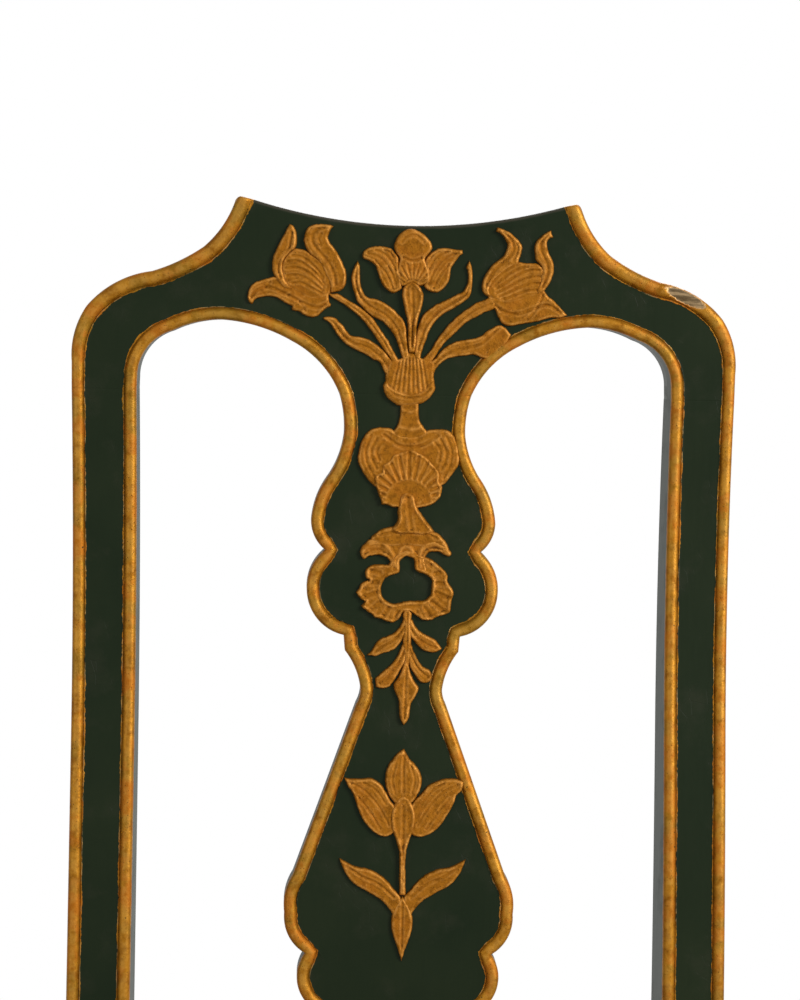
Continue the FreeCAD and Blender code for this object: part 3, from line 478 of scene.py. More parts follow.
def place(piece: Object, body: str, slot: str, *nodes: str) -> Object:
    """Hang a piece on its body and hide the nodes of the frame that it stands for.

    Args:
        piece: the finished object.
        body: the body that carries it.
        slot: the material slot that its finish belongs to; not used.
        nodes: the nodes of the frame that it replaces.

    Returns:
        The same object.
    """
    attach(piece, body)
    if nodes:
        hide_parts(*nodes)
    LOG.info("%s: %d faces", piece.name, len(piece.data.polygons))
    return piece


# Shader nodes

Value = float | tuple | Tone | NodeSocket


@dataclass(frozen=True)
class Tree:
    """Shader nodes written as short calls, where a value is a number, a colour or another socket."""

    nodes: NodeTree

    def node(self, kind: str, values: dict[str | int, Value] | None = None,
             family: str = "Shader", **settings: object) -> Node:
        """Add a node.

        Args:
            kind: its type, without the family's name.
            values: what its inputs hold or are fed by.
            family: Shader, Geometry or Function.
            settings: its own properties.

        Returns:
            The node.
        """
        node = self.nodes.nodes.new(family + "Node" + kind)
        for name, setting in settings.items():
            setattr(node, name, setting)
        for name, value in (values or {}).items():
            self.plug(value, node.inputs[name])
        return node

    def plug(self, value: Value, socket: NodeSocket) -> None:
        """Set a socket, or wire it to another.

        Args:
            value: what it gets.
            socket: the input.
        """
        if isinstance(value, NodeSocket):
            self.nodes.links.new(value, socket)
        else:
            socket.default_value = value.rgba if isinstance(value, Tone) else value

    def feed(self, node: Node, **values: Value) -> None:
        """Set or wire a node's inputs, named with underscores for spaces."""
        for name, value in values.items():
            self.plug(value, node.inputs[name.replace("_", " ")])

    def math(self, operation: str, *values: Value) -> NodeSocket:
        """The result of a sum on values."""
        return self.node("Math", dict(enumerate(values)), operation=operation).outputs[0]

    def plus(self, first: Value, second: Value) -> NodeSocket:
        """The sum of two values."""
        return self.math("ADD", first, second)

    def minus(self, first: Value, second: Value) -> NodeSocket:
        """The difference of two values."""
        return self.math("SUBTRACT", first, second)

    def times(self, first: Value, second: Value) -> NodeSocket:
        """The product of two values."""
        return self.math("MULTIPLY", first, second)

    def scaled(self, value: Value, factor: Value, start: Value) -> NodeSocket:
        """A value times a factor, counted from a start."""
        return self.math("MULTIPLY_ADD", value, factor, start)

    def span(self, value: Value, low: float, high: float) -> NodeSocket:
        """0 where the value is low, 1 where it is high, and smooth between."""
        given = {"Value": value, "From Min": low, "From Max": high}
        return self.node("MapRange", given, interpolation_type="SMOOTHSTEP").outputs[0]

    def mix(self, share: Value, first: Value, second: Value) -> NodeSocket:
        """One colour laid over another by a mask."""
        return self.node("Mix", {0: share, 6: first, 7: second}, data_type="RGBA").outputs[2]

    def over(self, colour: Value, tone: Tone, mask: Value, most: float) -> NodeSocket:
        """A tone laid over a colour by a mask, at most by the given share."""
        return self.mix(self.times(mask, most), colour, tone)

    def noise(self, where: Value, scale: float, detail: float = 3.0,
              rough: float = 0.55) -> NodeSocket:
        """Cloudy noise from 0 to 1."""
        given = {"Vector": where, "Scale": scale, "Detail": detail, "Roughness": rough}
        return self.node("TexNoise", given).outputs[0]

    def stretched(self, where: Value, scale: tuple[float, float, float]) -> NodeSocket:
        """A place, scaled by its own amount along each axis."""
        return self.node("Mapping", {"Vector": where, "Scale": scale}).outputs[0]

    def here(self) -> NodeSocket:
        """The place on the object."""
        return self.node("TexCoord").outputs["Object"]

    def attribute(self, name: str, output: str = "Fac") -> NodeSocket:
        """A value that the mesh carries."""
        return self.node("Attribute", attribute_name=name).outputs[output]

    def group(self, nodes: NodeTree, **values: Value) -> Node:
        """Place a shared group."""
        placed = self.node("Group", node_tree=nodes)
        self.feed(placed, **values)
        return placed

    def bump(self, height: Value, strength: float, distance: float) -> NodeSocket:
        """A normal from a height in the finish, with its depth in metres."""
        given = {"Height": height, "Strength": strength, "Distance": distance}
        return self.node("Bump", given).outputs[0]


def shared_group(name: str, inputs: dict[str, str], outputs: tuple[str, ...]) -> tuple[
        Tree, NodeOutputs, Node]:
    """Start a shared node group.

    Args:
        name: the group's name.
        inputs: the kind of socket for each named input.
        outputs: the names of its outputs, each a single value.

    Returns:
        The tree, what comes in, and the node that takes what goes out.
    """
    nodes = bpy.data.node_groups.new(name, "ShaderNodeTree")
    for label, kind in inputs.items():
        nodes.interface.new_socket(label, in_out="INPUT", socket_type="NodeSocket" + kind)
    for label in outputs:
        nodes.interface.new_socket(label, in_out="OUTPUT", socket_type="NodeSocketFloat")
    source = nodes.nodes.new("NodeGroupInput")
    result = nodes.nodes.new("NodeGroupOutput")
    return Tree(nodes), source.outputs, result


@cache
def mottle_group() -> NodeTree:
    """Soft clouds: the mask is 0 below Low, 1 above High.

    Returns:
        The group.
    """
    tree, given, result = shared_group(
        "mottle", {"Place": "Vector", "Scale": "Float", "Low": "Float", "High": "Float"}, ("Mask",))
    cloud = tree.noise(given["Place"], given["Scale"], 5.0, 0.6)
    share = tree.node("MapRange", {"Value": cloud, "From Min": given["Low"], "From Max": given["High"]})
    tree.feed(result, Mask=share.outputs[0])
    return tree.nodes


@cache
def fleck_group() -> NodeTree:
    """Small separate specks, thickest where a slow cloud is dense.

    Returns:
        The group.
    """
    tree, given, result = shared_group(
        "flecks", {"Place": "Vector", "Scale": "Float", "Size": "Float", "Density": "Float"}, ("Mask",))
    bent = tree.noise(given["Place"], tree.times(given["Scale"], 2.3), 2.0)
    cell = tree.node("TexVoronoi", {"Vector": given["Place"], "Scale": given["Scale"]})
    reach = tree.plus(cell.outputs["Distance"], tree.times(bent, 0.35))
    speck = tree.math("LESS_THAN", reach, given["Size"])
    cloud = tree.noise(given["Place"], tree.times(given["Scale"], 0.13), 2.0)
    dense = tree.math("LESS_THAN", tree.minus(1.0, cloud), given["Density"])
    tree.feed(result, Mask=tree.times(speck, dense))
    return tree.nodes


def mottle(tree: Tree, where: Value, scale: float, low: float, high: float) -> NodeSocket:
    """Soft clouds of a size, as a mask."""
    return tree.group(mottle_group(), Place=where, Scale=scale, Low=low, High=high).outputs[0]


def flecks(tree: Tree, where: Value, scale: float, size: float, density: float) -> NodeSocket:
    """Small separate specks, as a mask."""
    return tree.group(fleck_group(), Place=where, Scale=scale, Size=size, Density=density).outputs[0]


class Leafing(Enum):
    """The two distances from an edge, in millimetres, that each part of its gilding fades between."""

    START = (-0.8, -0.4)
    STOP = (7.75, 7.4)
    # the groove inside the bead, darkened as painted shade
    QUIRK_START = (6.6, 6.9)
    QUIRK_STOP = (7.35, 7.1)
    LINE_START = (7.15, 7.3)
    LINE_STOP = (7.8, 7.6)
    # the band along the bead's crown where a painted highlight lies
    CROWN_START = (0.8, 2.4)
    CROWN_STOP = (5.9, 4.3)


@cache
def gilding_group() -> NodeTree:
    """Where the leaf lies beside a carved edge, by the distance from that edge in millimetres. Quirk marks
    the painted shade in the groove inside the bead, and Crown the painted highlight along the bead's crown.

    Returns:
        The group.
    """
    tree, given, result = shared_group(
        "gilding", {"Place": "Vector", "Distance": "Float"}, ("Gilt", "Quirk", "Line", "Crown"))
    fine = tree.scaled(tree.noise(given["Place"], 420.0, 2.0), 1.5, -0.75)
    slow = tree.scaled(tree.noise(given["Place"], 75.0, 2.0), 2.4, -1.2)
    reach = tree.plus(given["Distance"], tree.plus(fine, slow))
    near = tree.scaled(fine, 0.30, given["Distance"])
    broken = tree.span(tree.noise(given["Place"], 90.0, 4.0, 0.7), 0.50, 0.60)

    def between(distance: Value, first: Leafing, last: Leafing) -> NodeSocket:
        """A mask that fades in over the first pair of distances and out over the last."""
        return tree.times(tree.span(distance, *first.value), tree.span(distance, *last.value))

    tree.feed(result, Gilt=between(reach, Leafing.START, Leafing.STOP),
              Quirk=between(near, Leafing.QUIRK_START, Leafing.QUIRK_STOP),
              Line=tree.times(between(near, Leafing.LINE_START, Leafing.LINE_STOP), broken),
              Crown=between(given["Distance"], Leafing.CROWN_START, Leafing.CROWN_STOP))
    return tree.nodes


@cache
def leaf_group() -> NodeTree:
    """Gold leaf: where it is pale, rubbed to the bole, or dark. Pale is a painted highlight on the crowns
    and rims that come in, with random pale patches; Dark is painted shade in the hollows that come in, with
    flecks of old varnish.

    Returns:
        The group.
    """
    tree, given, result = shared_group(
        "leaf", {"Place": "Vector", "Cavity": "Float", "Exposed": "Float"},
        ("Pale", "Rubbed", "Dark", "Height"))
    cloud = tree.noise(given["Place"], 190.0, 4.0, 0.65)
    grain = tree.noise(given["Place"], 900.0, 3.0, 0.7)
    # painted highlight on the crowns and rims that come in, with random pale patches
    pale = tree.times(given["Exposed"], tree.span(cloud, 0.34, 0.60))
    pale = tree.math("MAXIMUM", pale, tree.times(tree.span(cloud, 0.60, 0.74), 0.55))
    tree.feed(result, Pale=pale)
    slow = tree.noise(given["Place"], 60.0, 4.0, 0.6)
    tree.feed(result, Rubbed=tree.span(slow, 0.48, 0.62))
    ragged = tree.scaled(grain, 1.3, -0.65)
    # painted shade in the hollows that come in, with ragged edges, and flecks of old varnish
    dark = tree.span(tree.plus(given["Cavity"], ragged), 0.30, 0.85)
    dark = tree.math("MAXIMUM", dark, flecks(tree, given["Place"], 560.0, 0.30, 0.55))
    tree.feed(result, Dark=dark)
    height = tree.scaled(cloud, 0.6, grain)
    tree.feed(result, Height=tree.minus(height, dark))
    return tree.nodes


@cache
def grain_group() -> NodeTree:
    """Straight wood grain: rings across the piece, and the fine lines in them.

    Returns:
        The group.
    """
    tree, given, result = shared_group("grain", {"Place": "Vector"}, ("Ring", "Pore"))
    bent = tree.noise(given["Place"], 9.0, 3.0, 0.5)
    wave = tree.node("TexWave", {"Vector": given["Place"], "Scale": 42.0, "Distortion": 5.0,
                                 "Detail": 3.0, "Detail Scale": 0.8},
                     wave_type="BANDS", bands_direction="DIAGONAL")
    ring = tree.times(wave.outputs["Fac"], tree.span(bent, 0.2, 0.7))
    tree.feed(result, Ring=ring)
    tree.feed(result, Pore=tree.noise(given["Place"], 700.0, 3.0, 0.6))
    return tree.nodes


@cache
def weave_group() -> NodeTree:
    """A plain weave: threads over and under each other, Count of them to a metre.

    Returns:
        The group.
    """
    tree, given, result = shared_group(
        "weave", {"Place": "Vector", "Count": "Float"}, ("Height", "Warp"))
    parts = tree.node("SeparateXYZ", {0: given["Place"]})
    across, along = (tree.times(parts.outputs[i], given["Count"]) for i in (0, 1))
    arches = []
    for value in (across, along):
        bent = tree.math("ABSOLUTE", tree.math("SINE", tree.times(value, math.pi)))
        arches.append(tree.math("POWER", bent, 0.6))
    cell = tree.plus(tree.math("FLOOR", across), tree.math("FLOOR", along))
    odd = tree.math("PINGPONG", cell, 1.0)
    even = tree.minus(1.0, odd)
    warp = tree.times(arches[0], tree.scaled(even, 0.65, 0.35))
    weft = tree.times(arches[1], tree.scaled(odd, 0.65, 0.35))
    tree.feed(result, Height=tree.math("MAXIMUM", warp, weft))
    tree.feed(result, Warp=tree.math("GREATER_THAN", warp, weft))
    return tree.nodes


def new_material(name: str) -> tuple[Material, Tree, Node]:
    """Start a material with its shader and output.

    Args:
        name: the material's name.

    Returns:
        The material, its tree and its shader.
    """
    material = bpy.data.materials.new(name)
    material.use_nodes = True
    tree = Tree(material.node_tree)
    return material, tree, material.node_tree.nodes["Principled BSDF"]


# Finishes

@dataclass(frozen=True)
class Japanning:
    """Dark green lacquer over gesso, gilt along the carved edges where the piece has them, with painted
    highlights on the bead's crown and the crest's top edge, and painted shade in the quirk.

    Attributes:
        name: the material's name.
        gilt: whether the piece carries the distance from a gilt edge.
    """

    name: str = "japanned_green"
    gilt: bool = True

    def ground(self, tree: Tree, where: Value) -> tuple[Value, Value, Value]:
        """The lacquer's colour, its roughness and its height.

        Args:
            tree: the material's nodes.
            where: the place on the piece.

        Returns:
            The colour, the roughness and the height.
        """
        clouds = mottle(tree, where, 11.0, 0.30, 0.72)
        dusty = mottle(tree, where, 38.0, 0.52, 0.85)
        streaks = tree.noise(tree.stretched(where, (260.0, 260.0, 9.0)), 1.0, 3.0)
        colour = tree.mix(clouds, Tone.JAPAN_DARK, Tone.JAPAN_MID)
        colour = tree.over(colour, Tone.JAPAN_WORN, dusty, 0.30)
        colour = tree.over(colour, Tone.JAPAN_DARK, tree.span(streaks, 0.5, 0.8), 0.25)
        specks = flecks(tree, where, 95.0, 0.17, 0.42)
        colour = tree.over(colour, Tone.BARE_WOOD_DARK, specks, 0.5)
        rough = tree.scaled(dusty, 0.14, 0.42)
        craze = tree.node("TexVoronoi", {"Vector": where, "Scale": 120.0}, feature="DISTANCE_TO_EDGE")
        cracks = tree.times(tree.span(craze.outputs[0], 0.02, 0.0), dusty)
        height = tree.minus(tree.times(streaks, 0.5), cracks)
        return colour, rough, height

    def material(self) -> Material:
        """Build it.

        Returns:
            The material.
        """
        material, tree, shader = new_material(self.name)
        where = tree.here()
        colour, rough, height = self.ground(tree, where)
        wear = mottle(tree, where, 55.0, 0.42, 0.70)
        if not self.gilt:
            # on the eased arrises of the joinery this mark is real wear, rubbed to dark bare wood
            rubbed = tree.span(tree.plus(tree.attribute("worn"), wear), 1.02, 1.35)
            colour = tree.over(colour, Tone.BARE_WOOD_DARK, rubbed, 0.8)
            tree.feed(shader, Base_Color=colour, Roughness=rough, Specular_IOR_Level=0.09,
                 Normal=tree.bump(height, 0.35, 0.0003))
            return material
        # painted highlight along the crest's eased top edge, partly wear: the lacquer there is lightened to
        # the pale greyish green
        lit_edge_and_wear = tree.plus(tree.attribute("worn"), tree.times(wear, 0.2))
        colour = tree.mix(tree.span(lit_edge_and_wear, 0.35, 1.1), colour, Tone.JAPAN_WORN)
        gilding = tree.group(gilding_group(), Place=where, Distance=tree.attribute("gilding"))
        gilt, quirk, line, crown = (gilding.outputs[i] for i in range(4))
        # the crown gets a painted highlight, and the quirk a painted shade
        leaf = tree.group(leaf_group(), Place=where, Cavity=tree.times(quirk, 0.55), Exposed=crown)
        pale, rubbed, dark, leaf_height = (leaf.outputs[i] for i in range(4))
        body = tree.span(tree.noise(where, 110.0, 5.0, 0.7), 0.34, 0.60)
        gold = tree.mix(body, Tone.LEAF_DULL, Tone.LEAF_MID)
        olive = tree.span(tree.noise(where, 42.0, 3.0, 0.6), 0.50, 0.62)
        gold = tree.over(gold, Tone.LEAF_OLIVE, olive, 0.55)
        gold = tree.over(gold, Tone.BOLE, rubbed, 0.70)
        # painted highlight on the bead's crown, with random pale patches
        gold = tree.over(gold, Tone.LEAF_BRIGHT, pale, 0.25)
        # painted shade in the quirk on the gold, with flecks of old varnish
        gold = tree.over(gold, Tone.ANTIQUE, dark, 0.85)
        lost = flecks(tree, where, 240.0, 0.26, 0.40)
        whole = tree.times(gilt, tree.minus(1.0, lost))
        # painted shade darkening the quirk beside the bead
        colour = tree.over(colour, Tone.ANTIQUE, quirk, 0.5)
        colour = tree.mix(whole, colour, gold)
        colour = tree.over(colour, Tone.LEAF_LINE, line, 0.45)
        bare = tree.attribute("bare")
        slivers = tree.noise(tree.stretched(where, (60.0, 60.0, 520.0)), 1.0, 4.0)
        wood = tree.mix(tree.span(slivers, 0.42, 0.6), Tone.BARE_WOOD_DARK, Tone.BARE_WOOD)
        chipped = tree.span(tree.plus(bare, tree.times(slivers, 0.25)), 0.30, 0.42)
        gesso = tree.span(tree.plus(bare, tree.times(slivers, 0.2)), 0.17, 0.24)
        colour = tree.over(colour, Tone.GESSO, gesso, 0.6)
        colour = tree.mix(chipped, colour, wood)
        metal = tree.times(whole, tree.minus(0.42, tree.times(dark, 0.35)))
        metal = tree.times(metal, tree.minus(1.0, chipped))
        sheen = tree.scaled(rubbed, 0.12, 0.42)
        rough = tree.plus(tree.times(rough, tree.minus(1.0, whole)),
                          tree.times(sheen, whole))
        relief = tree.plus(height, tree.times(tree.times(leaf_height, whole), 0.8))
        tree.feed(shader, Base_Color=colour, Roughness=rough, Metallic=metal, Specular_IOR_Level=0.09,
             Normal=tree.bump(relief, 0.60, 0.0004))
        return material


@dataclass(frozen=True)
class GiltGesso:
    """Matt gold on raised gesso, with painted shade and flecks of dark varnish in its hollows and round its
    foot, and pale rims that are painted highlights, partly rubbed gilding.
    """

    name: str = "gilt_gesso"

    def material(self) -> Material:
        """Build it.

        Returns:
            The material.
        """
        material, tree, shader = new_material(self.name)
        where = tree.here()
        leaf = tree.group(leaf_group(), Place=where, Cavity=tree.attribute("cavity"),
                          Exposed=tree.attribute("exposed"))
        pale, rubbed, dark, height = (leaf.outputs[i] for i in range(4))
        body = tree.span(tree.noise(where, 330.0, 4.0, 0.7), 0.36, 0.58)
        gold = tree.mix(body, Tone.LEAF_DULL, Tone.LEAF_MATT)
        gold = tree.over(gold, Tone.BOLE, rubbed, 0.25)
        # painted highlight on rims and ridges, partly rubbed gilding, with random pale patches
        gold = tree.over(gold, Tone.LEAF_PALE, pale, 0.85)
        # painted shade in the hollows and round the foot, with flecks of old varnish
        gold = tree.over(gold, Tone.ANTIQUE, dark, 0.75)
        metal = tree.scaled(dark, -0.20, 0.30)
        rough = tree.scaled(pale, -0.14, 0.56)
        tree.feed(shader, Base_Color=gold, Roughness=rough, Metallic=metal, Specular_IOR_Level=0.10,
             Normal=tree.bump(height, 0.7, 0.0005))
        return material


class Lie(Enum):
    """Which way a board's grain runs, as how little its pattern changes along each axis."""

    ACROSS = (0.045, 1.0, 1.0)
    DEEP = (1.0, 0.045, 1.0)


@dataclass(frozen=True)
class Softwood:
    """Bare, darkened pine inside the seat.

    Attributes:
        lie: which way its grain runs.
    """

    lie: Lie

    def material(self) -> Material:
        """Build it.

        Returns:
            The material.
        """
        material, tree, shader = new_material("bare_softwood_" + self.lie.name.lower())
        where = tree.here()
        grain = tree.group(grain_group(), Place=tree.stretched(where, self.lie.value))
        stain = mottle(tree, where, 9.0, 0.35, 0.75)
        colour = tree.mix(grain.outputs["Ring"], Tone.SOFTWOOD_PALE, Tone.SOFTWOOD_DARK)
        colour = tree.over(colour, Tone.SOFTWOOD_DARK, tree.span(grain.outputs["Pore"], 0.52, 0.7), 0.35)
        colour = tree.over(colour, Tone.BARE_WOOD_DARK, stain, 0.35)
        height = tree.scaled(grain.outputs["Ring"], 0.6, grain.outputs["Pore"])
        tree.feed(shader, Base_Color=colour, Roughness=tree.scaled(stain, 0.12, 0.68),
             Specular_IOR_Level=0.3, Normal=tree.bump(height, 0.4, 0.0004))
        return material


@dataclass(frozen=True)
class Woven:
    """A plain woven cloth: jute, linen or the seat's covering.

    Attributes:
        name: the material's name.
        light: the colour of the threads' tops.
        dark: the colour between them, a painted shade in the weave's gaps; it also tints slubs and soiled
            patches.
        count: threads to a metre.
        depth: how deep the weave is, in metres.
        figure: the side of a small lozenge figure in metres, or 0 for none.
        stripe: how far from the middle a web's two dark stripes run in metres, or 0 for none.
        flat: whether the cloth lies in its own plane, seen from above.
    """

    name: str
    light: Tone
    dark: Tone
    count: float
    depth: float
    figure: float = 0.0
    stripe: float = 0.0
    flat: bool = True

    def lozenge(self, tree: Tree, where: Value) -> tuple[Value, Value]:
        """The mask of the figure, and of the small stars in it.

        Args:
            tree: the material's nodes.
            where: the place on the cloth.

        Returns:
            The two masks.
        """
        parts = tree.node("SeparateXYZ", {0: where})
        turned = [combine(parts.outputs[0], parts.outputs[1]) for combine in (tree.plus, tree.minus)]
        folds = [tree.math("PINGPONG", tree.times(value, 1 / self.figure), 0.5) for value in turned]
        line = tree.span(tree.math("MINIMUM", *folds), 0.075, 0.055)
        middle = tree.plus(tree.math("POWER", tree.minus(0.5, folds[0]), 2.0),
                           tree.math("POWER", tree.minus(0.5, folds[1]), 2.0))
        ring = tree.times(tree.span(middle, 0.034, 0.028), tree.span(middle, 0.010, 0.014))
        return tree.math("MAXIMUM", line, ring), tree.span(middle, 0.0045, 0.0035)

    def material(self) -> Material:
        """Build it.

        Returns:
            The material.
        """
        material, tree, shader = new_material(self.name)
        where = tree.here() if self.flat else tree.attribute("cloth", "Vector")
        soft = tree.node("VectorMath", {0: where, 1: tree.node(
            "VectorMath", {0: tree.node("TexNoise", {"Vector": where, "Scale": 60.0}).outputs[1],
                           "Scale": 0.0009}, operation="SCALE").outputs[0]}, operation="ADD").outputs[0]
        weave = tree.group(weave_group(), Place=soft, Count=self.count)
        height, warp = weave.outputs
        slubs = tree.noise(tree.stretched(where, (700.0, 60.0, 700.0)), 1.0, 2.0)
        # random soiled patches on the cloth
        worn = mottle(tree, where, 14.0, 0.35, 0.75)
        # painted shade: the gaps between the threads are darker than their tops, by the weave's height
        colour = tree.mix(tree.span(height, 0.15, 0.75), self.dark, self.light)
        colour = tree.over(colour, self.dark, tree.span(slubs, 0.5, 0.75), 0.3)
        if self.figure:
            figure, star = self.lozenge(tree, soft)
            colour = tree.over(colour, Tone.SILK_FIGURE, figure, 0.85)
            colour = tree.over(colour, Tone.SILK_GREEN, star, 0.85)
            height = tree.plus(height, tree.times(figure, 0.9))
        if self.stripe:
            side = tree.math("ABSOLUTE", tree.node("SeparateXYZ", {0: where}).outputs[1])
            off = tree.math("ABSOLUTE", tree.minus(side, self.stripe))
            line = tree.span(off, 0.0021, 0.0015)
            colour = tree.over(colour, Tone.WEB_STRIPE, line, 0.8)
        colour = tree.over(colour, self.dark, worn, 0.25)
        rough = tree.scaled(warp, 0.10, 0.72)
        tree.feed(shader, Base_Color=colour, Roughness=rough, Specular_IOR_Level=0.25,
             Sheen_Weight=0.25, Sheen_Roughness=0.5, Normal=tree.bump(height, 0.7, self.depth))
        return material


@dataclass(frozen=True)
class Iron:
    """Forged tacks, dark and lightly rusted."""

    name: str = "iron_tack"

    def material(self) -> Material:
        """Build it.

        Returns:
            The material.
        """
        material, tree, shader = new_material(self.name)
        where = tree.here()
        rust = mottle(tree, where, 520.0, 0.42, 0.62)
        tree.feed(shader, Base_Color=tree.mix(rust, Tone.IRON, Tone.IRON_RUST),
             Metallic=tree.scaled(rust, -0.6, 0.85),
             Roughness=tree.scaled(rust, 0.3, 0.45),
             Normal=tree.bump(tree.noise(where, 1500.0), 0.4, 0.0002))
        return material


@dataclass(frozen=True)
class PaleFloor:
    """The studio's white floor, which fades out at its rim.

    Attributes:
        reach: the floor's radius in metres.
        fade: where its rim begins and ends to fade, as shares of that.
    """

    reach: float
    fade: tuple[float, float] = (0.62, 0.99)

    def material(self) -> Material:
        """Build it.

        Returns:
            The material.
        """
        material, tree, shader = new_material("studio_floor")
        where = tree.here()
        away = tree.node("VectorMath", {0: where}, operation="LENGTH").outputs["Value"]
        fade = tree.span(away, *(self.reach * share for share in self.fade))
        uneven = tree.noise(where, 3.0)
        colour = tree.mix(uneven, (0.90, 0.90, 0.89, 1.0), (0.93, 0.93, 0.92, 1.0))
        tree.feed(shader, Base_Color=colour, Roughness=0.9, Specular_IOR_Level=0.1)
        clear = tree.node("BsdfTransparent")
        both = tree.node("MixShader", {0: fade, 1: shader.outputs[0], 2: clear.outputs[0]})
        out = tree.nodes.nodes["Material Output"]
        tree.nodes.links.new(both.outputs[0], out.inputs["Surface"])
        return material


# The back

@dataclass(frozen=True)
class EdgeBead:
    """The gilt moulding worked along an edge: a half-round, a quirk and a thin fillet.

    Attributes:
        width: over the half-round.
        proud: how far its crown stands out from the field.
        drop: how far its outer side rolls back behind the field.
        quirk: the width of the groove inside the half-round.
        quirk_depth: how deep that groove is.
        fillet: the width of the thin raised line inside the groove.
        fillet_rise: how far that line stands up.
    """

    width: float = 6.8
    proud: float = 2.1
    drop: float = 0.9
    quirk: float = 0.45
    quirk_depth: float = 0.25
    fillet: float = 0.5
    fillet_rise: float = 0.15

    @property
    def full(self) -> float:
        """The width over everything."""
        return self.width + self.quirk + self.fillet + 0.4

    def rings(self) -> list[float]:
        """Distances from the edge that need a row of points.

        Returns:
            The distances, from the edge inwards.
        """
        half_round = [self.width * share for share in (0.05, 0.15, 0.3, 0.48, 0.66, 0.82, 0.93, 1.0)]
        start = self.width + self.quirk
        return half_round + [start, start + 0.25, start + self.fillet, self.full, self.full + 0.7,
                             self.full + 2.2]

    def height(self, distance: np.ndarray) -> np.ndarray:
        """How far the surface stands from the field at each distance from the edge.

        Args:
            distance: how far each place lies from the edge.

        Returns:
            The height of each place.
        """
        half = self.width / 2
        across = np.clip((distance - half) / half, -1, 1)
        arch = np.sqrt(np.maximum(0, 1 - across ** 2))
        outer = -self.drop + (self.proud + self.drop) * arch
        inner = -self.quirk_depth + (self.proud + self.quirk_depth) * arch
        start = self.width + self.quirk
        line = smooth_step(distance, start - 0.15, start + 0.2)
        line -= smooth_step(distance, start + self.fillet - 0.2, start + self.fillet + 0.2)
        groove = -self.quirk_depth * (1 - smooth_step(distance, self.width, start + 0.1))
        result = np.where(distance < half, outer, inner)
        result = np.where(distance > self.width, groove, result)
        return result + self.fillet_rise * np.clip(line, 0, 1)

    def swell(self, drop: np.ndarray) -> np.ndarray:
        """How much wider the moulding on the outer edge is at each drop: it thins towards the posts."""
        return 1 + 0.22 * (1 - smooth_step(np.asarray(drop, float), 58, 108))


@dataclass(frozen=True)
class BackLines:
    """The outline of the back's right half, as places across and down from the tips of the ears."""

    dip: Point = (0, 14.5)
    ear_inner: Point = (91, 1.3)
    ear_flat: Point = (97.4, 0)
    ear_corner: tuple[Point, Point] = ((99.4, 0.8), (100.8, 3.2))
    shoulder: tuple[tuple[Point, Point], ...] = (
        ((107.2, 16.4), (118.4, 29.4)), ((132, 37.6), (148, 44.1)),
        ((171.7, 52.9), (185.1, 64.8)), ((192, 80.2), (193.3, 97)))
    joint_outer: Point = (193, 112.5)
    joint_inner: Point = (155.7, 112.5)
    arch_start: Point = (155.5, 103.5)
    arch: tuple[tuple[Point, Point], ...] = (
        ((150.2, 88.5), (135.5, 78.1)), ((122, 73.1), (107.8, 71.2)),
        ((86, 74.7), (66, 83)), ((49.6, 95.3), (38.4, 112.5)))
    splat: tuple[tuple[Point, Point], ...] = (
        ((35.8, 124), (35.3, 135.5)), ((37.8, 147), (43.8, 159.6)), ((50.9, 172.9), (53.6, 186.3)),
        ((50.6, 196.6), (45.3, 202.6)), ((53.2, 213), (55.4, 225.9)), ((49.4, 241.6), (33.6, 251)),
        ((33.2, 255.3), (32.8, 259.6)), ((26.2, 270.8), (23.5, 281.2)), ((24.2, 285.6), (25.9, 289.6)),
        ((43.2, 336.8), (60.5, 384)), ((64.8, 394.5), (65, 405)), ((61.8, 419), (53, 427.5)),
        ((57.2, 442), (48, 458)), ((30.5, 484), (26.5, 515)), ((29, 553), (37, 578)),
        ((40.5, 586.5), (44, 595)))
    post_outer: tuple[Point, Point, Point] = ((193, 112.5), (188.2, 300), (187, 620))
    post_inner: tuple[Point, Point, Point] = ((155.7, 112.5), (152.2, 300), (151, 620))
    post_foot: tuple[Point, Point] = ((187, 1045), (157, 1045))

    def run(self, start: Point, pairs: tuple[tuple[Point, Point], ...], step: float) -> list[Point]:
        """A chain of arcs, each through its first place to its second.

        Args:
            start: where the chain begins; it is the first point of the result.
            pairs: the arcs.
            step: the longest chord.

        Returns:
            The points of the chain.
        """
        points = [start]
        for via, end in pairs:
            points += arc_points(points[-1], via, end, step)
        return points


@dataclass(frozen=True)
class Chip:
    """A lens-shaped flake lost from the edge of the right shoulder, down to bare wood.

    Attributes:
        middle: its middle, across and down from the ears.
        half_length: half its length along the edge.
        half_width: half its width across the edge.
        turn: how far it slopes down to the right, in degrees.
        depth: how deep the flake was.
    """

    middle: Point = (162.6, 52.4)
    half_length: float = 14.6
    half_width: float = 4.0
    turn: float = 25.0
    depth: float = 1.0

    def share(self, points: np.ndarray) -> np.ndarray:
        """1 in the middle of the chip and 0 outside it.

        Args:
            points: places on the face of the back.

        Returns:
            How far each is laid bare.
        """
        along = np.array([math.cos(math.radians(self.turn)), math.sin(math.radians(self.turn))])
        off = points - np.array(self.middle)
        u = off @ along / self.half_length
        v = off @ np.array([-along[1], along[0]]) / self.half_width
        ragged = np.array([0.25 * noise.noise(Vector((x / 1.7, y / 1.7, 3.0))) for x, y in points])
        return np.clip(1.25 * (1 - np.sqrt(u * u + v * v + 1e-9)) + ragged * (np.hypot(u, v) < 1.3), 0, 1)


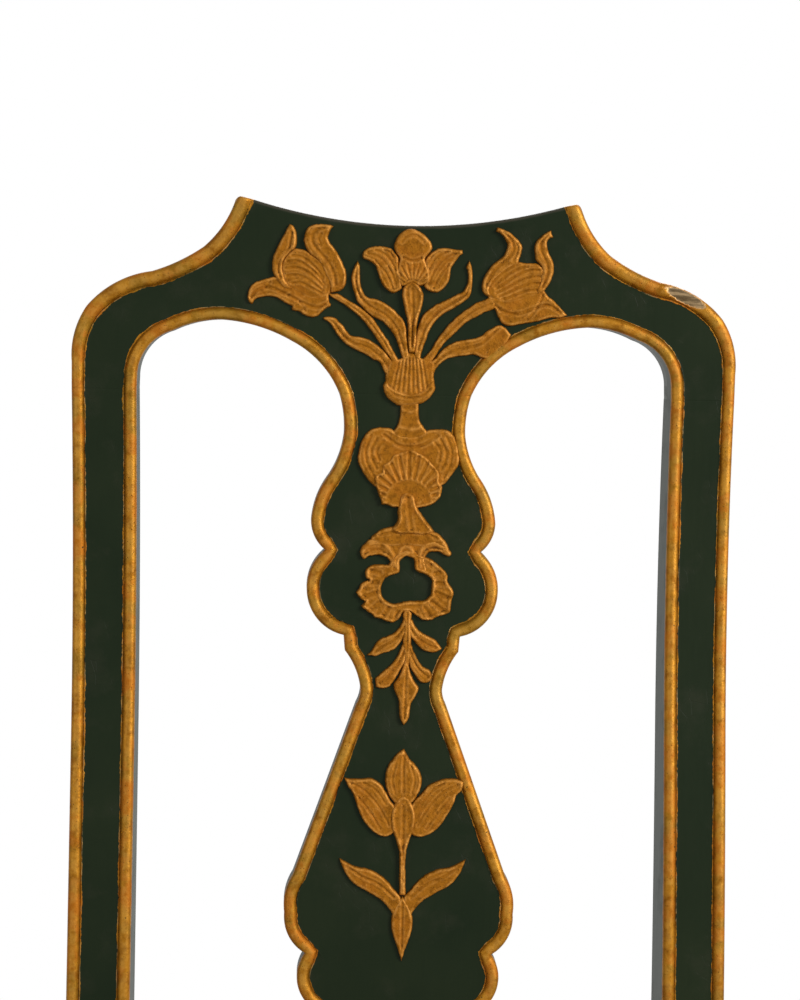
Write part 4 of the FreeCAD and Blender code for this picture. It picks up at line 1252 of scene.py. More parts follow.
@dataclass
class ChairBack:
    """The two posts, the crest rail and the splat, with their bead and the bow of the back.

    Attributes:
        lines: the outline.
        bead: the gilt moulding.
        chip: the flake lost from the right shoulder.
        step: the distance between points along an edge.
        grid: the distance between points on the flat field.
        arris: how far the back edges are eased.
        ease: the radius along the top's front edge.
        setback: how far the front of the crest lies behind the front of the posts at the seat.
        rear_setback: the same for its rear.
        foot_setback: how far the front of a post's foot lies behind its front at the seat.
        foot_rear_setback: the same for its rear.
        post_depth: how deep a post is at the seat.
        crest_depth: how deep the crest rail is.
        seam_depth: how far the finish sinks along a joint.
        seam_width: how far that spreads.
        seam_rows: distances from a joint that get a row of points.
        seam_clear: how near to a joint other points come.
        run_out: how far the bead would run on above the ear's corner.
        sides: where the rows of points lie on an edge's side, as shares of the way back.
    """

    lines: BackLines = field(default_factory=BackLines)
    bead: EdgeBead = field(default_factory=EdgeBead)
    chip: Chip = field(default_factory=Chip)
    step: float = 1.6
    grid: float = 4.0
    arris: float = 1.3
    ease: float = 1.6
    setback: float = 76.0
    rear_setback: float = 63.0
    foot_setback: float = 62.0
    foot_rear_setback: float = 52.0
    post_depth: float = 40.0
    crest_depth: float = 27.0
    seam_depth: float = 0.12
    seam_width: float = 0.3
    seam_rows: tuple[float, ...] = (0.3, 0.75, 1.4)
    seam_clear: float = 1.9
    run_out: float = 14.0
    sides: tuple[float, ...] = (0.06, 0.16, 0.5, 1.0)

    def __post_init__(self) -> None:
        """Take what the frame gives."""
        self.face = float(node_low("rear_post_right")[1])
        self.top = float(node_high("crest_rail")[2])
        self.seat = float(node_high("seat_rail_front")[2])
        self.under = float(node_low("seat_rail_front")[2])
        self.joint = float(node_low("crest_rail")[2])
        self.splat_depth = float(node_high("back_splat")[1]) - float(self.front(self.joint))

    def bow(self, height: np.ndarray, setback: float) -> np.ndarray:
        """How far the S-shaped back leans at each height above the seat.

        Args:
            height: heights above the floor.
            setback: how far the top of the line lies back.

        Returns:
            How far back each height lies.
        """
        half = (self.top - self.seat) / 2
        sag = setback / 2
        radius = (half * half + sag * sag) / (2 * sag)
        above = np.clip(height - self.seat, 0, 2 * half)
        lower = radius - np.sqrt(radius ** 2 - np.minimum(above, half) ** 2)
        upper = setback - radius + np.sqrt(radius ** 2 - (2 * half - np.maximum(above, half)) ** 2)
        return np.where(above < half, lower, upper)

    def kick(self, height: np.ndarray, setback: float) -> np.ndarray:
        """How far the post sweeps back at each height below the seat rail.

        Args:
            height: heights above the floor.
            setback: how far the foot of the line lies back.

        Returns:
            How far back each height lies.
        """
        below = np.clip(self.under - np.asarray(height, float), 0, self.under)
        radius = (self.under ** 2 + setback ** 2) / (2 * setback)
        return radius - np.sqrt(radius ** 2 - below ** 2)

    def front(self, height: np.ndarray) -> np.ndarray:
        """Where the front of the back lies at each height."""
        height = np.asarray(height, float)
        return self.face + self.bow(height, self.setback) + self.kick(height, self.foot_setback)

    def rear(self, height: np.ndarray) -> np.ndarray:
        """Where the rear of a post lies at each height."""
        height = np.asarray(height, float)
        lean = self.bow(height, self.rear_setback) + self.kick(height, self.foot_rear_setback)
        return self.face + self.post_depth + lean

    def level(self, drop: np.ndarray) -> np.ndarray:
        """The height above the floor of places measured down from the ears."""
        return self.top - np.asarray(drop, float)

    def outer_edge(self) -> list[Point]:
        """The beaded outer edge from the ear's corner down the post to the seat.

        Returns:
            The points of the right edge.
        """
        lines = self.lines
        points = lines.run(lines.ear_corner[1], lines.shoulder, self.step)
        points += line_points(points[-1], lines.joint_outer, self.step)
        start, via, end = lines.post_outer
        return points + arc_points(start, via, end, 4.0)

    def inner_edge(self) -> list[Point]:
        """The beaded edge up the post, round the opening's arch and down the splat.

        Returns:
            The points of the right edge.
        """
        lines = self.lines
        end, via, start = lines.post_inner
        points = [start] + arc_points(start, via, end, 4.0)
        points += line_points(points[-1], lines.arch_start, self.step)
        points = points[:-1] + lines.run(points[-1], lines.arch, self.step)
        return points[:-1] + lines.run(points[-1], lines.splat, self.step)

    def off_both(self, places: np.ndarray, line: list[Point]) -> np.ndarray:
        """How far places lie from a line of the right half or its mirror image.

        Args:
            places: the places to measure.
            line: the line.

        Returns:
            One distance for each place.
        """
        right = np.array(line, float)
        return np.minimum(distance_to_line(places, right), distance_to_line(places, right * (-1, 1)))

    def bead_distance(self, points: np.ndarray) -> np.ndarray:
        """How far places on the face lie from the nearest beaded edge.

        Args:
            points: the places to measure.

        Returns:
            One distance for each place.
        """
        outer = self.outer_edge()
        rise = np.array(outer[0]) - np.array(outer[2])
        above = tuple(np.array(outer[0]) + rise / np.linalg.norm(rise) * self.run_out)
        outside = self.off_both(points, [above] + outer) / self.bead.swell(points[:, 1])
        return np.minimum(outside, self.off_both(points, self.inner_edge()))

    def swells(self, outline: np.ndarray) -> np.ndarray:
        """How much each point of an outline spreads the rows of points beside it.

        Args:
            outline: the points of an outline.

        Returns:
            A factor for each point.
        """
        outer = self.off_both(outline, self.outer_edge())
        return np.where(outer < 0.5, self.bead.swell(outline[:, 1]), 1.0)

    def board(self, name: str, loop: list[Point], plain: list[np.ndarray], cuts: list[float],
              depth: float, node: str, material: Material) -> Object:
        """Carve one flat board of the back.

        Args:
            name: the piece's name.
            loop: its outline on the face.
            plain: edges that are only eased.
            cuts: drops of the level joints where it meets another board.
            depth: its thickness.
            node: the node that it replaces.
            material: its finish.

        Returns:
            The board as a closed skin.
        """
        outline = np.array(loop, float)
        if loop_area(outline) < 0:
            outline = outline[::-1]
        normals = loop_normals(outline)
        after = np.roll(outline, -1, axis=0)
        on_cut = np.min([np.abs(outline[:, 1] - cut) for cut in cuts], axis=0) < 1e-6
        free = ~(on_cut & np.roll(on_cut, -1))
        starts, ends = outline[free], after[free]
        rings = []
        swells = self.swells(outline)[:, None]
        for reach in self.bead.rings():
            ring = (outline + normals * swells * reach)[~on_cut]
            ring = ring[inside(ring, [outline])]
            near = np.minimum(distance_to_pieces(ring, starts, ends), self.bead_distance(ring))
            ring = ring[near > reach * 0.985 - 0.05]
            off_cut = np.min([np.abs(ring[:, 1] - cut) for cut in cuts], axis=0)
            rings.append(ring[off_cut > self.seam_clear])
        for reach in self.seam_rows:
            rows = outline[on_cut & np.roll(on_cut, 1) & np.roll(on_cut, -1)]
            rows = np.vstack([rows + (0, reach), rows - (0, reach)])
            rings.append(rows[inside(rows, [outline])])
        low, high = outline.min(axis=0), outline.max(axis=0)
        field_points = hex_grid(tuple(low), tuple(high), self.grid)
        field_points = field_points[inside(field_points, [outline])]
        room = distance_to_line(field_points, outline, closed=True)
        rings.append(field_points[room > self.bead.rings()[-1] + 1.5])
        points, faces = triangulate([outline], np.vstack(rings))
        distance = self.bead_distance(points)
        height = self.bead.height(distance)
        # the plain, eased top edge gets a painted highlight, partly wear, which the finish lightens
        worn = np.zeros(len(points))
        for edge in plain:
            near = distance_to_line(points, edge)
            worn = np.maximum(worn, 1 - smooth_step(near, 0.6, 3.2))
            off = np.clip(self.ease - near, 0, self.ease)
            height -= self.ease - np.sqrt(self.ease ** 2 - off ** 2)
        for cut in cuts:
            height -= self.seam_depth * np.exp(-((points[:, 1] - cut) / self.seam_width) ** 2)
        bare = self.chip.share(points)
        height -= self.chip.depth * smooth_step(bare, 0.0, 0.35)
        level = self.level(points[:, 1])
        front = np.stack([points[:, 0], self.front(level) - height, level], axis=1)
        sheet = Sheet()
        sheet.add(front, [face[::-1] for face in faces] if self.flips(front, faces) else faces,
                  gilding=distance, worn=worn, bare=bare)
        self.close(sheet, outline, normals, front[:len(outline)], distance[:len(outline)], depth)
        piece = sheet.build(name, material)
        turn_outward(piece)
        return place(piece, FRAME_BODY, "green_japan", node)

    def joint_line(self, start: Point, end: Point) -> list[Point]:
        """Points along a level joint, close together where it crosses the bead.

        Args:
            start: where the joint begins.
            end: where it ends.

        Returns:
            The points, without the start.
        """
        length = math.dist(start, end)
        near = [reach for reach in self.bead.rings() if reach < length / 2]
        middle = np.arange(near[-1] + self.grid, length - near[-1] - self.grid / 2, self.grid)
        places = near + list(middle) + [length - reach for reach in reversed(near)] + [length]
        along = (np.array(end) - start) / length
        return [tuple(np.array(start) + along * reach) for reach in places]

    def flips(self, places: np.ndarray, faces: list[list[int]]) -> bool:
        """Whether the first face looks backwards."""
        a, b, c = (places[i] for i in faces[0])
        return float(np.cross(b - a, c - a)[1]) > 0

    def close(self, sheet: Sheet, outline: np.ndarray, normals: np.ndarray, rim: np.ndarray,
              gilding: np.ndarray, depth: float) -> None:
        """Add a board's sides and back to its carved front.

        Args:
            sheet: the sheet that begins with the front, its outline first.
            outline: the outline on the face.
            normals: directions into the outline.
            rim: the places of the front's outline.
            gilding: their distance from the bead.
            depth: the board's thickness.
        """
        count = len(outline)
        level = self.level(outline[:, 1])
        front = self.front(level)
        beaded = gilding < self.bead.width
        rows = [list(range(count))]
        for share in self.sides:
            behind = rim[:, 1] + (front + depth - self.arris - rim[:, 1]) * share
            places = np.stack([outline[:, 0], behind, level], axis=1)
            rows.append(sheet.ring(places, gilding=np.where(beaded, rim[:, 1] - behind, PLAIN)))
        ring = outline + normals * self.arris
        grid = hex_grid(tuple(ring.min(axis=0)), tuple(ring.max(axis=0)), 9.0)
        grid = grid[inside(grid, [ring])]
        grid = grid[distance_to_line(grid, ring, closed=True) > 4.0]
        points, faces = triangulate([ring], grid)
        back_level = self.level(points[:, 1])
        places = np.stack([points[:, 0], self.front(back_level) + depth, back_level], axis=1)
        flipped = faces if self.flips(places, faces) else [face[::-1] for face in faces]
        base = sheet.add(places, flipped, gilding=np.full(len(points), PLAIN))
        sheet.wrap(rows + [list(range(base, base + count))])

    def crest(self, material: Material) -> Object:
        """The crest rail, with its dip, its ears and the two arches.

        Args:
            material: its finish.

        Returns:
            The piece.
        """
        lines = self.lines
        half = [lines.ear_inner] + line_points(lines.ear_inner, lines.ear_flat, self.step)
        half += arc_points(lines.ear_flat, *lines.ear_corner, 0.8)
        half += [p for p in self.outer_edge()[1:] if p[1] <= lines.joint_outer[1] + 1e-6]
        half += self.joint_line(half[-1], lines.joint_inner)
        half += line_points(half[-1], lines.arch_start, self.step)
        half += lines.run(lines.arch_start, lines.arch, self.step)[1:]
        dip = arc_points(tuple(np.array(lines.ear_inner) * (-1, 1)), lines.dip, lines.ear_inner, self.step)
        neck = self.joint_line(half[-1], (-half[-1][0], half[-1][1]))
        mirror = [(-x, y) for x, y in reversed(half[1:-1])]
        loop = dip[:-1] + half + neck + mirror + [(-lines.ear_inner[0], lines.ear_inner[1])]
        top = dip + line_points(lines.ear_inner, lines.ear_flat, self.step)
        top += arc_points(lines.ear_flat, *lines.ear_corner, 0.8)[:-1]
        plain = [np.array([(-x, y) for x, y in reversed(top)] + top)]
        return self.board("carved_crest_rail", loop, plain, [lines.joint_outer[1]], self.crest_depth,
                          "crest_rail", material)

    def splat(self, material: Material) -> Object:
        """The shaped splat between the crest rail and the shoe.

        Args:
            material: its finish.

        Returns:
            The piece.
        """
        lines = self.lines
        right = lines.run(lines.arch[-1][1], lines.splat, self.step)
        bottom = self.joint_line(right[-1], (-right[-1][0], right[-1][1]))
        left = [(-x, y) for x, y in reversed(right[:-1])]
        top = self.joint_line(left[-1], right[0])[:-1]
        cuts = [lines.joint_outer[1], lines.splat[-1][1][1]]
        return self.board("carved_splat", right + bottom + left + top, [], cuts, self.splat_depth,
                          "back_splat", material)

    def post(self, side: int, material: Material) -> Object:
        """One rear post: beaded above the seat, plain and swept back below it.

        Args:
            side: 1 for the right, -1 for the left.
            material: its finish.

        Returns:
            The piece.
        """
        lines = self.lines
        outer = np.array([lines.post_outer[0]] + arc_points(*lines.post_outer, 6.0)
                         + line_points(lines.post_outer[2], lines.post_foot[0], 12.0))
        inner = np.array([lines.post_inner[0]] + arc_points(*lines.post_inner, 6.0)
                         + [(lines.post_inner[2][0], self.top - self.under)]
                         + line_points((lines.post_inner[2][0], self.top - self.under),
                                       lines.post_foot[1], 12.0))
        drops = np.unique(np.concatenate([
            np.array([lines.joint_outer[1]]) + (0, 0.35, 0.9, 2.0),
            np.arange(121, self.top - self.seat - 12, 6.0),
            np.linspace(self.top - self.seat - 12, self.top - self.seat, 9),
            np.arange(self.top - self.seat + 6, self.top - 14, 10.0),
            np.linspace(self.top - 12, self.top, 4)]))
        reach = [0.0] + self.bead.rings()
        sheet = Sheet()
        rings = []
        for drop in drops:
            ring, gilding = self.post_ring(drop, outer, inner, reach)
            rings.append(sheet.ring(ring * (side, 1, 1), gilding=gilding))
        sheet.wrap(rings)
        sheet.faces += [tuple(rings[0]), tuple(rings[-1])[::-1]]
        hand = "right" if side > 0 else "left"
        piece = sheet.build("carved_post_" + hand, material)
        turn_outward(piece)
        return place(piece, FRAME_BODY, "green_japan", "rear_post_" + hand)

    def post_ring(self, drop: float, outer: np.ndarray, inner: np.ndarray,
                  reach: list[float]) -> tuple[np.ndarray, np.ndarray]:
        """One level section of the right post.

        Args:
            drop: its place down from the ears.
            outer: the post's outer edge.
            inner: its inner edge.
            reach: distances from an edge that get a point.

        Returns:
            The section's points, and each one's distance from the gilt edge.
        """
        level = float(self.level(drop))
        far = float(np.interp(drop, outer[:, 1], outer[:, 0]))
        near = float(np.interp(drop, inner[:, 1], inner[:, 0]))
        wide = far - near
        share = float(smooth_step(np.array([level]), self.seat + 4, self.seat + 9)[0])
        foot = float(smooth_step(np.array([drop]), self.top - 3, self.top)[0])
        middle = [wide * part for part in (0.32, 0.44, 0.56, 0.68)]
        across = np.array(reach + middle + [wide - r for r in reversed(reach)])
        distance = np.minimum(across, wide - across)
        eased = -1.2 * (1 - np.sqrt(1 - np.clip(1 - distance / 1.5, 0, 1) ** 2))
        height = self.bead.height(distance) * share + eased * (1 - share)
        height -= self.seam_depth * math.exp(-((drop - self.lines.joint_outer[1]) / self.seam_width) ** 2)
        front = float(self.front(level))
        rear = float(self.rear(level)) if level < self.joint else front + self.crest_depth
        pull = 1.5 * foot
        face = np.stack([far - across, front - height + pull, np.full(len(across), level)], axis=1)
        gilding = np.where(share > 0.5, distance, PLAIN)
        edge_near, edge_far = face[-1, 1], face[0, 1]
        sides = [(near, part) for part in self.sides] + [(far, part) for part in reversed(self.sides)]
        rows = []
        depth = []
        for index, (x, part) in enumerate(sides):
            edge = edge_near if x == near else edge_far
            y = edge + (rear - self.arris - pull - edge) * part
            rows.append((x, y, level))
            depth.append(edge - y if share > 0.5 else PLAIN)
            if index == len(self.sides) - 1:
                rows.append((near + self.arris, rear - pull, level))
                rows.append((far - self.arris, rear - pull, level))
                depth += [PLAIN, PLAIN]
        ring = np.vstack([face, rows])
        if foot > 0:
            centre = ring.mean(axis=0)
            ring[:, 0] += (centre[0] - ring[:, 0]) * 0.06 * foot
        return ring, np.concatenate([gilding, depth])

    def build(self, material: Material) -> None:
        """Carve the four pieces of the back.

        Args:
            material: their finish.
        """
        self.crest(material)
        self.splat(material)
        self.post(1, material)
        self.post(-1, material)


# The raised and gilded ornament

@dataclass(frozen=True)
class Ridge:
    """A raised or a sunk line on an ornament.

    Attributes:
        line: where it runs, as places across and down from the ears.
        rise: how far it stands up, or sinks if negative.
        width: how wide it is to each side.
    """

    line: Points
    rise: float = 0.55
    width: float = 0.75


@dataclass(frozen=True)
class Relief:
    """One modelled shape of gesso.

    Attributes:
        outline: its edge, as places across and down from the ears.
        rise: how thick it is.
        shoulder: how far in from the edge it reaches its full height.
        rim: how far a bead along its edge stands above that.
        rim_width: how far in the middle of that bead lies.
        hollow: how far the middle is sunk behind the rim.
        ridges: lines on it.
        hole: the edge of an opening through it.
        grain: how uneven the surface is left.
    """

    outline: Points
    rise: float = 1.9
    shoulder: float = 1.7
    rim: float = 0.0
    rim_width: float = 1.1
    hollow: float = 0.0
    ridges: tuple[Ridge, ...] = ()
    hole: Points = ()
    grain: float = 0.10


def strokes(rise: float, width: float, *lines: Points) -> tuple[Ridge, ...]:
    """Lines of one height and width."""
    return tuple(Ridge(line, rise, width) for line in lines)


def blade(outline: Points, vein: Points, rise: float = 1.9) -> Relief:
    """A plain leaf with one sunk vein."""
    return Relief(outline, rise, rim=0.2, ridges=strokes(-0.5, 0.55, vein))


def fan(centre: Point, inner: float, outer: float, first: float, last: float, count: int,
        rise: float = -0.5, width: float = 0.6) -> tuple[Ridge, ...]:
    """Straight lines spread round a place.

    Args:
        centre: the place they point at.
        inner: where they begin.
        outer: where they end.
        first: the first one's angle in degrees, 0 to the right and 90 down.
        last: the last one's angle.
        count: how many there are.
        rise: how far each stands up or sinks.
        width: how wide each is.

    Returns:
        The lines, in order.
    """
    lines = []
    for k in range(count):
        turn = math.radians(first + (last - first) * k / (count - 1))
        reach = np.array([math.cos(turn), math.sin(turn)])
        bend = np.array([-reach[1], reach[0]]) * 0.04 * (outer - inner) * math.cos(turn)
        start, end = np.array(centre) + reach * inner, np.array(centre) + reach * outer
        lines.append(Ridge((tuple(start), tuple((start + end) / 2 + bend), tuple(end)), rise, width))
    return tuple(lines)


def spline(points: np.ndarray, closed: bool, step: float) -> np.ndarray:
    """A fair curve through places, which keeps their sharp corners.

    Args:
        points: the places.
        closed: whether the last joins the first.
        step: the distance between points of the result.

    Returns:
        Evenly spaced points of the curve.
    """
    count = len(points)
    spans = count if closed else count - 1
    turns = []
    for i in range(count):
        if not closed and i in (0, count - 1):
            turns.append(True)
            continue
        before = points[i] - points[i - 1]
        after = points[(i + 1) % count] - points[i]
        cosine = before @ after / max(np.linalg.norm(before) * np.linalg.norm(after), 1e-9)
        turns.append(cosine < math.cos(math.radians(58)))
    result = []
    for i in range(spans):
        here, there = points[i], points[(i + 1) % count]
        length = np.linalg.norm(there - here)
        before = 2 * here - there if turns[i] else points[i - 1]
        beyond = 2 * there - here if turns[(i + 1) % count] else points[(i + 2) % count]
        out = (there - before) / max(np.linalg.norm(there - before), 1e-9) * length
        into = (beyond - here) / max(np.linalg.norm(beyond - here), 1e-9) * length
        parts = max(1, round(length / step))
        for k in range(parts):
            t = k / parts
            result.append((2 * t ** 3 - 3 * t ** 2 + 1) * here + (t ** 3 - 2 * t ** 2 + t) * out
                          + (3 * t ** 2 - 2 * t ** 3) * there + (t ** 3 - t ** 2) * into)
    if not closed:
        result.append(points[-1])
    return np.array(result)


@dataclass
class GessoOrnament:
    """The flowers, the vase, the wreath and the leaves raised on the crest and the splat.

    Attributes:
        back: the back that carries them.
        spread: how wide the drawn places come out.
        squat: how tall the drawn places come out.
        lift: how far up the drawn places are set.
        shift: how far right of the middle the ornament sits.
        step: the distance between points of an edge.
        grid: the distance between points inside.
        rows: distances from an edge that get a row of points.
        clear: how near to an edge the points of the grid come.
        root: how deep each shape is bedded in the field.
        bold: how much deeper than drawn its lines are cut.
        broad: how much wider.
        hand: how far its edges wander.
    """

    back: ChairBack
    spread: float = 0.985
    squat: float = 0.97
    lift: float = 1.0
    shift: float = 0.6
    step: float = 0.8
    grid: float = 0.68
    rows: tuple[float, ...] = (0.2, 0.5, 0.95)
    clear: float = 1.35
    root: float = 0.7
    bold: float = 1.05
    broad: float = 1.1
    hand: float = 0.22

    def tulip_left(self) -> tuple[Relief, ...]:
        """The tulip on the left, turned to the left, with the leaf under it.

        Returns:
            Its shapes, from behind to front.
        """
        long_petal = (
            (-70.8, 16.7), (-68.1, 18.1), (-66.5, 21.7), (-66.1, 25.7), (-66.7, 30.6), (-70.3, 34),
            (-73, 37.4), (-74.1, 40.5), (-73.9, 45), (-72.5, 49.5), (-70.3, 52.6), (-67.6, 55.2),
            (-72.6, 55.3), (-75.7, 52.6), (-78.4, 49), (-80.2, 45.4), (-80.7, 40.9), (-80.2, 36.9),
            (-79.3, 33.8), (-77.1, 29.3), (-75.3, 25.7), (-73.9, 23), (-72.6, 19.9))
        bowl = (
            (-67.5, 31), (-65.9, 31), (-62.7, 31.5), (-60, 32.5), (-57, 34.5), (-52.5, 37), (-48.5, 41),
            (-46, 46), (-44, 51.7), (-44.8, 55), (-46.8, 58.4), (-50.2, 60.7), (-54.6, 61.6), (-59.1, 61.1),
            (-63.6, 58.9), (-69, 55.5), (-73, 52), (-75, 46), (-75, 40.5), (-72, 35))
        hooked_petal = (
            (-44.8, 17.6), (-46.1, 16.7), (-50.2, 16.3), (-54.6, 16.4), (-57.8, 17.2), (-60, 18.5),
            (-61.1, 20.8), (-62, 23.5), (-62.3, 26.6), (-61.6, 29.3), (-60, 32.4), (-57.8, 35.1),
            (-53.9, 38.2), (-51.2, 42.2), (-49, 47), (-46.8, 51.7), (-46, 57), (-44.3, 57.1), (-41.6, 56.4),
            (-39.4, 55.3), (-37.6, 53), (-36.7, 50.4), (-36.7, 45.9), (-37.6, 42.3), (-39.4, 38.3),
            (-41.6, 34.2), (-43.9, 30.6), (-46.1, 27.9), (-47.5, 25.7), (-47.9, 23.9), (-47.2, 21.7),
            (-46.1, 19.4))
        leaf = (
            (-92.3, 64.9), (-94.1, 62.9), (-94.8, 59.8), (-94.3, 57.1), (-92.8, 53.9), (-90.5, 51.7),
            (-87.8, 50.6), (-84.7, 49.7), (-81.5, 48.6), (-78, 48), (-75, 49), (-71, 50.5), (-67, 52.5),
            (-63, 55), (-59, 56.5), (-54.6, 57.5), (-50.5, 57), (-46.5, 56.5), (-46.6, 62.5), (-45.4, 63.8),
            (-45.9, 65.4), (-47.9, 66.1), (-50.2, 68.3), (-52.4, 70.5), (-54.6, 71.7), (-56.9, 72.1),
            (-59.6, 71.4), (-62, 70.3), (-64.1, 68.7), (-66.3, 68.3), (-68.8, 67.8), (-68.5, 65.6),
            (-70.8, 64.7), (-73, 63.4), (-75.3, 62), (-77.5, 60.9), (-80.2, 60.2), (-83.3, 60.2),
            (-86, 60.7), (-88.3, 61.1), (-90.1, 62.2), (-91.4, 64.3))
        ribs = strokes(-0.5, 0.55, ((-72, 39), (-66, 38.5), (-60, 41.5), (-53, 47.5), (-49.5, 52.5)),
            ((-72.5, 43), (-66, 42.5), (-60, 45), (-54, 49.5), (-50, 54)),
            ((-72, 47.5), (-66, 46.8), (-60, 49), (-55, 52.5), (-50.5, 56)),
            ((-69.5, 52), (-64, 51.4), (-59, 53.5), (-54, 56), (-50.5, 58.2)),
            ((-69, 35.5), (-64, 35.8), (-59.5, 38.5), (-54.5, 43), (-50.5, 48.5)))
        return (
            Relief(leaf, 1.7, rim=0.25, ridges=strokes(-0.65, 0.7, ((-92.5, 61), (-89, 56.5), (-82, 54.6),
                (-75, 57.2), (-66, 61.5), (-55, 66), (-47.5, 63.5))) + strokes(-0.2, 0.5,
                ((-84, 54.8), (-81.5, 51.2)), ((-71, 59.2), (-68, 57.5))) + strokes(-0.25, 0.5,
                ((-64, 62.6), (-60.5, 68)))),
            Relief(bowl, 2.0, 2.4, ridges=ribs),
            Relief(long_petal, 2.5, 2.0, rim=0.2, ridges=strokes(-0.5, 0.6,
                ((-69.6, 22), (-70.3, 28), (-71.5, 33), (-75.5, 38.5), (-77, 43), (-75.5, 49))) +
                strokes(0.35, 0.7, ((-67.5, 21), (-67.6, 26), (-68.6, 31)))),
            Relief(hooked_petal, 2.5, 2.1, rim=0.3, ridges=strokes(-0.5, 0.7, ((-50, 18.5), (-55, 20),
                (-57.5, 24), (-56.5, 28.5), (-53, 33), (-48, 38.5), (-44.5, 45), (-43, 52))) +
                strokes(-0.35, 0.6, ((-52, 22), (-53.5, 25), (-52, 29)))),
        )

    def tulip_right(self) -> tuple[Relief, ...]:
        """The tulip on the right, turned to the right, with the leaf under it.

        Returns:
            Its shapes, from behind to front.
        """
        hooked_petal = (
            (51.4, 15.8), (54.1, 16.3), (57.2, 17.6), (60.4, 19.4), (63, 21.7), (65.3, 24.3), (66.9, 27),
            (66.4, 30.2), (65.3, 34.2), (64.4, 37.4), (62.2, 38.7), (59.5, 40), (55.9, 42.7), (53.2, 45),
            (50.9, 47.2), (49.1, 50.4), (48, 53), (48.9, 56.8), (46.9, 57.1), (45.1, 56.2), (43.5, 53.9),
            (43.1, 50.8), (43.8, 47.2), (45.1, 44.1), (47.4, 40.5), (50, 37.4), (52.7, 35.1), (55.4, 32.9),
            (57, 29.7), (57.7, 27), (57.2, 24.3), (55.4, 21.7), (53.2, 19.4), (50.9, 18.5))
        bowl = (
            (55, 38.5), (59, 36.3), (64, 35.8), (68.4, 36.5), (72, 36.6), (75.2, 36.6), (79, 38.7),
            (80.5, 42), (80, 47), (79.5, 51), (77, 55.5), (70, 58.6), (63, 60.6), (57, 61.6), (51.5, 60),
            (47, 57.5), (45, 53), (47.2, 47.8), (50.6, 42.8))
        right_petal = (
            (83.7, 16.7), (84.1, 19), (85, 21), (82.8, 21.9), (81.4, 23.9), (81.7, 26.6), (82.3, 29.7),
            (83.7, 32.4), (85.2, 35.6), (85.9, 39.1), (85.7, 42.3), (84.8, 45.4), (83.5, 48.6),
            (81.4, 51.7), (79.2, 54.4), (76.1, 55.7), (75.6, 52), (77.4, 48), (77.8, 44.1), (78.7, 41),
            (77.4, 37.8), (74.9, 35.1), (74.3, 32.4), (73.8, 29.3), (73.8, 26.6), (74.9, 23.5),
            (77.4, 20.8), (80.1, 18.5))
        leaf = (
            (46.6, 56.5), (52, 57.5), (58, 58), (64, 57), (70, 55), (76, 52), (80, 52.6), (82.8, 56.2),
            (85.9, 58.4), (88.6, 61.1), (91, 63.6), (94.6, 67.6), (90, 69.2), (85, 69.2), (80.1, 70.5),
            (75.2, 71.9), (70.2, 72.8), (65.3, 73.9), (59.5, 74.8), (57.2, 74.1), (55.4, 72.8),
            (53.6, 70.1), (52.3, 67.4), (51.2, 65), (48.6, 63.4))
        ribs = strokes(-0.5, 0.55, ((77.5, 40.5), (71, 41), (64, 44), (57.5, 48.5), (51.5, 52.5)),
            ((78, 44.5), (71.5, 45), (65, 47.5), (58.5, 51.5), (52, 55)),
            ((78, 48.5), (71.5, 49), (65, 51.5), (59, 54.5), (53.5, 57)),
            ((76.5, 52.5), (70.5, 53), (65, 55), (59.5, 57.5), (55, 58.8)),
            ((70, 38.6), (65, 40), (59, 43.5), (54, 47.5), (50.5, 51)))
        return (
            Relief(leaf, 1.7, rim=0.25, ridges=strokes(-0.65, 0.7,
                ((50, 62), (58, 66.5), (66, 66.8), (75, 63.5), (82, 61.5), (90, 65.5))) + strokes(-0.5, 0.6,
                ((66, 73), (71, 70), (77, 62), (79.6, 55.6)))),
            Relief(bowl, 2.0, 2.4, ridges=ribs),
            Relief(hooked_petal, 2.5, 2.1, rim=0.3, ridges=strokes(-0.5, 0.7, ((55, 18.8), (59.5, 22.5),
                (61.5, 27), (60.5, 31.5), (57, 35.5), (52, 40), (48, 45.5), (45.8, 51))) + strokes(-0.35,
                0.6, ((63.5, 25), (63.6, 30), (61.5, 35)))),
            Relief(right_petal, 2.5, 2.0, rim=0.25, ridges=strokes(-0.5, 0.65,
                ((81, 20), (77.8, 24), (77.6, 29), (80, 34), (82, 39.5), (81.2, 45.5), (78.8, 51)))),
        )

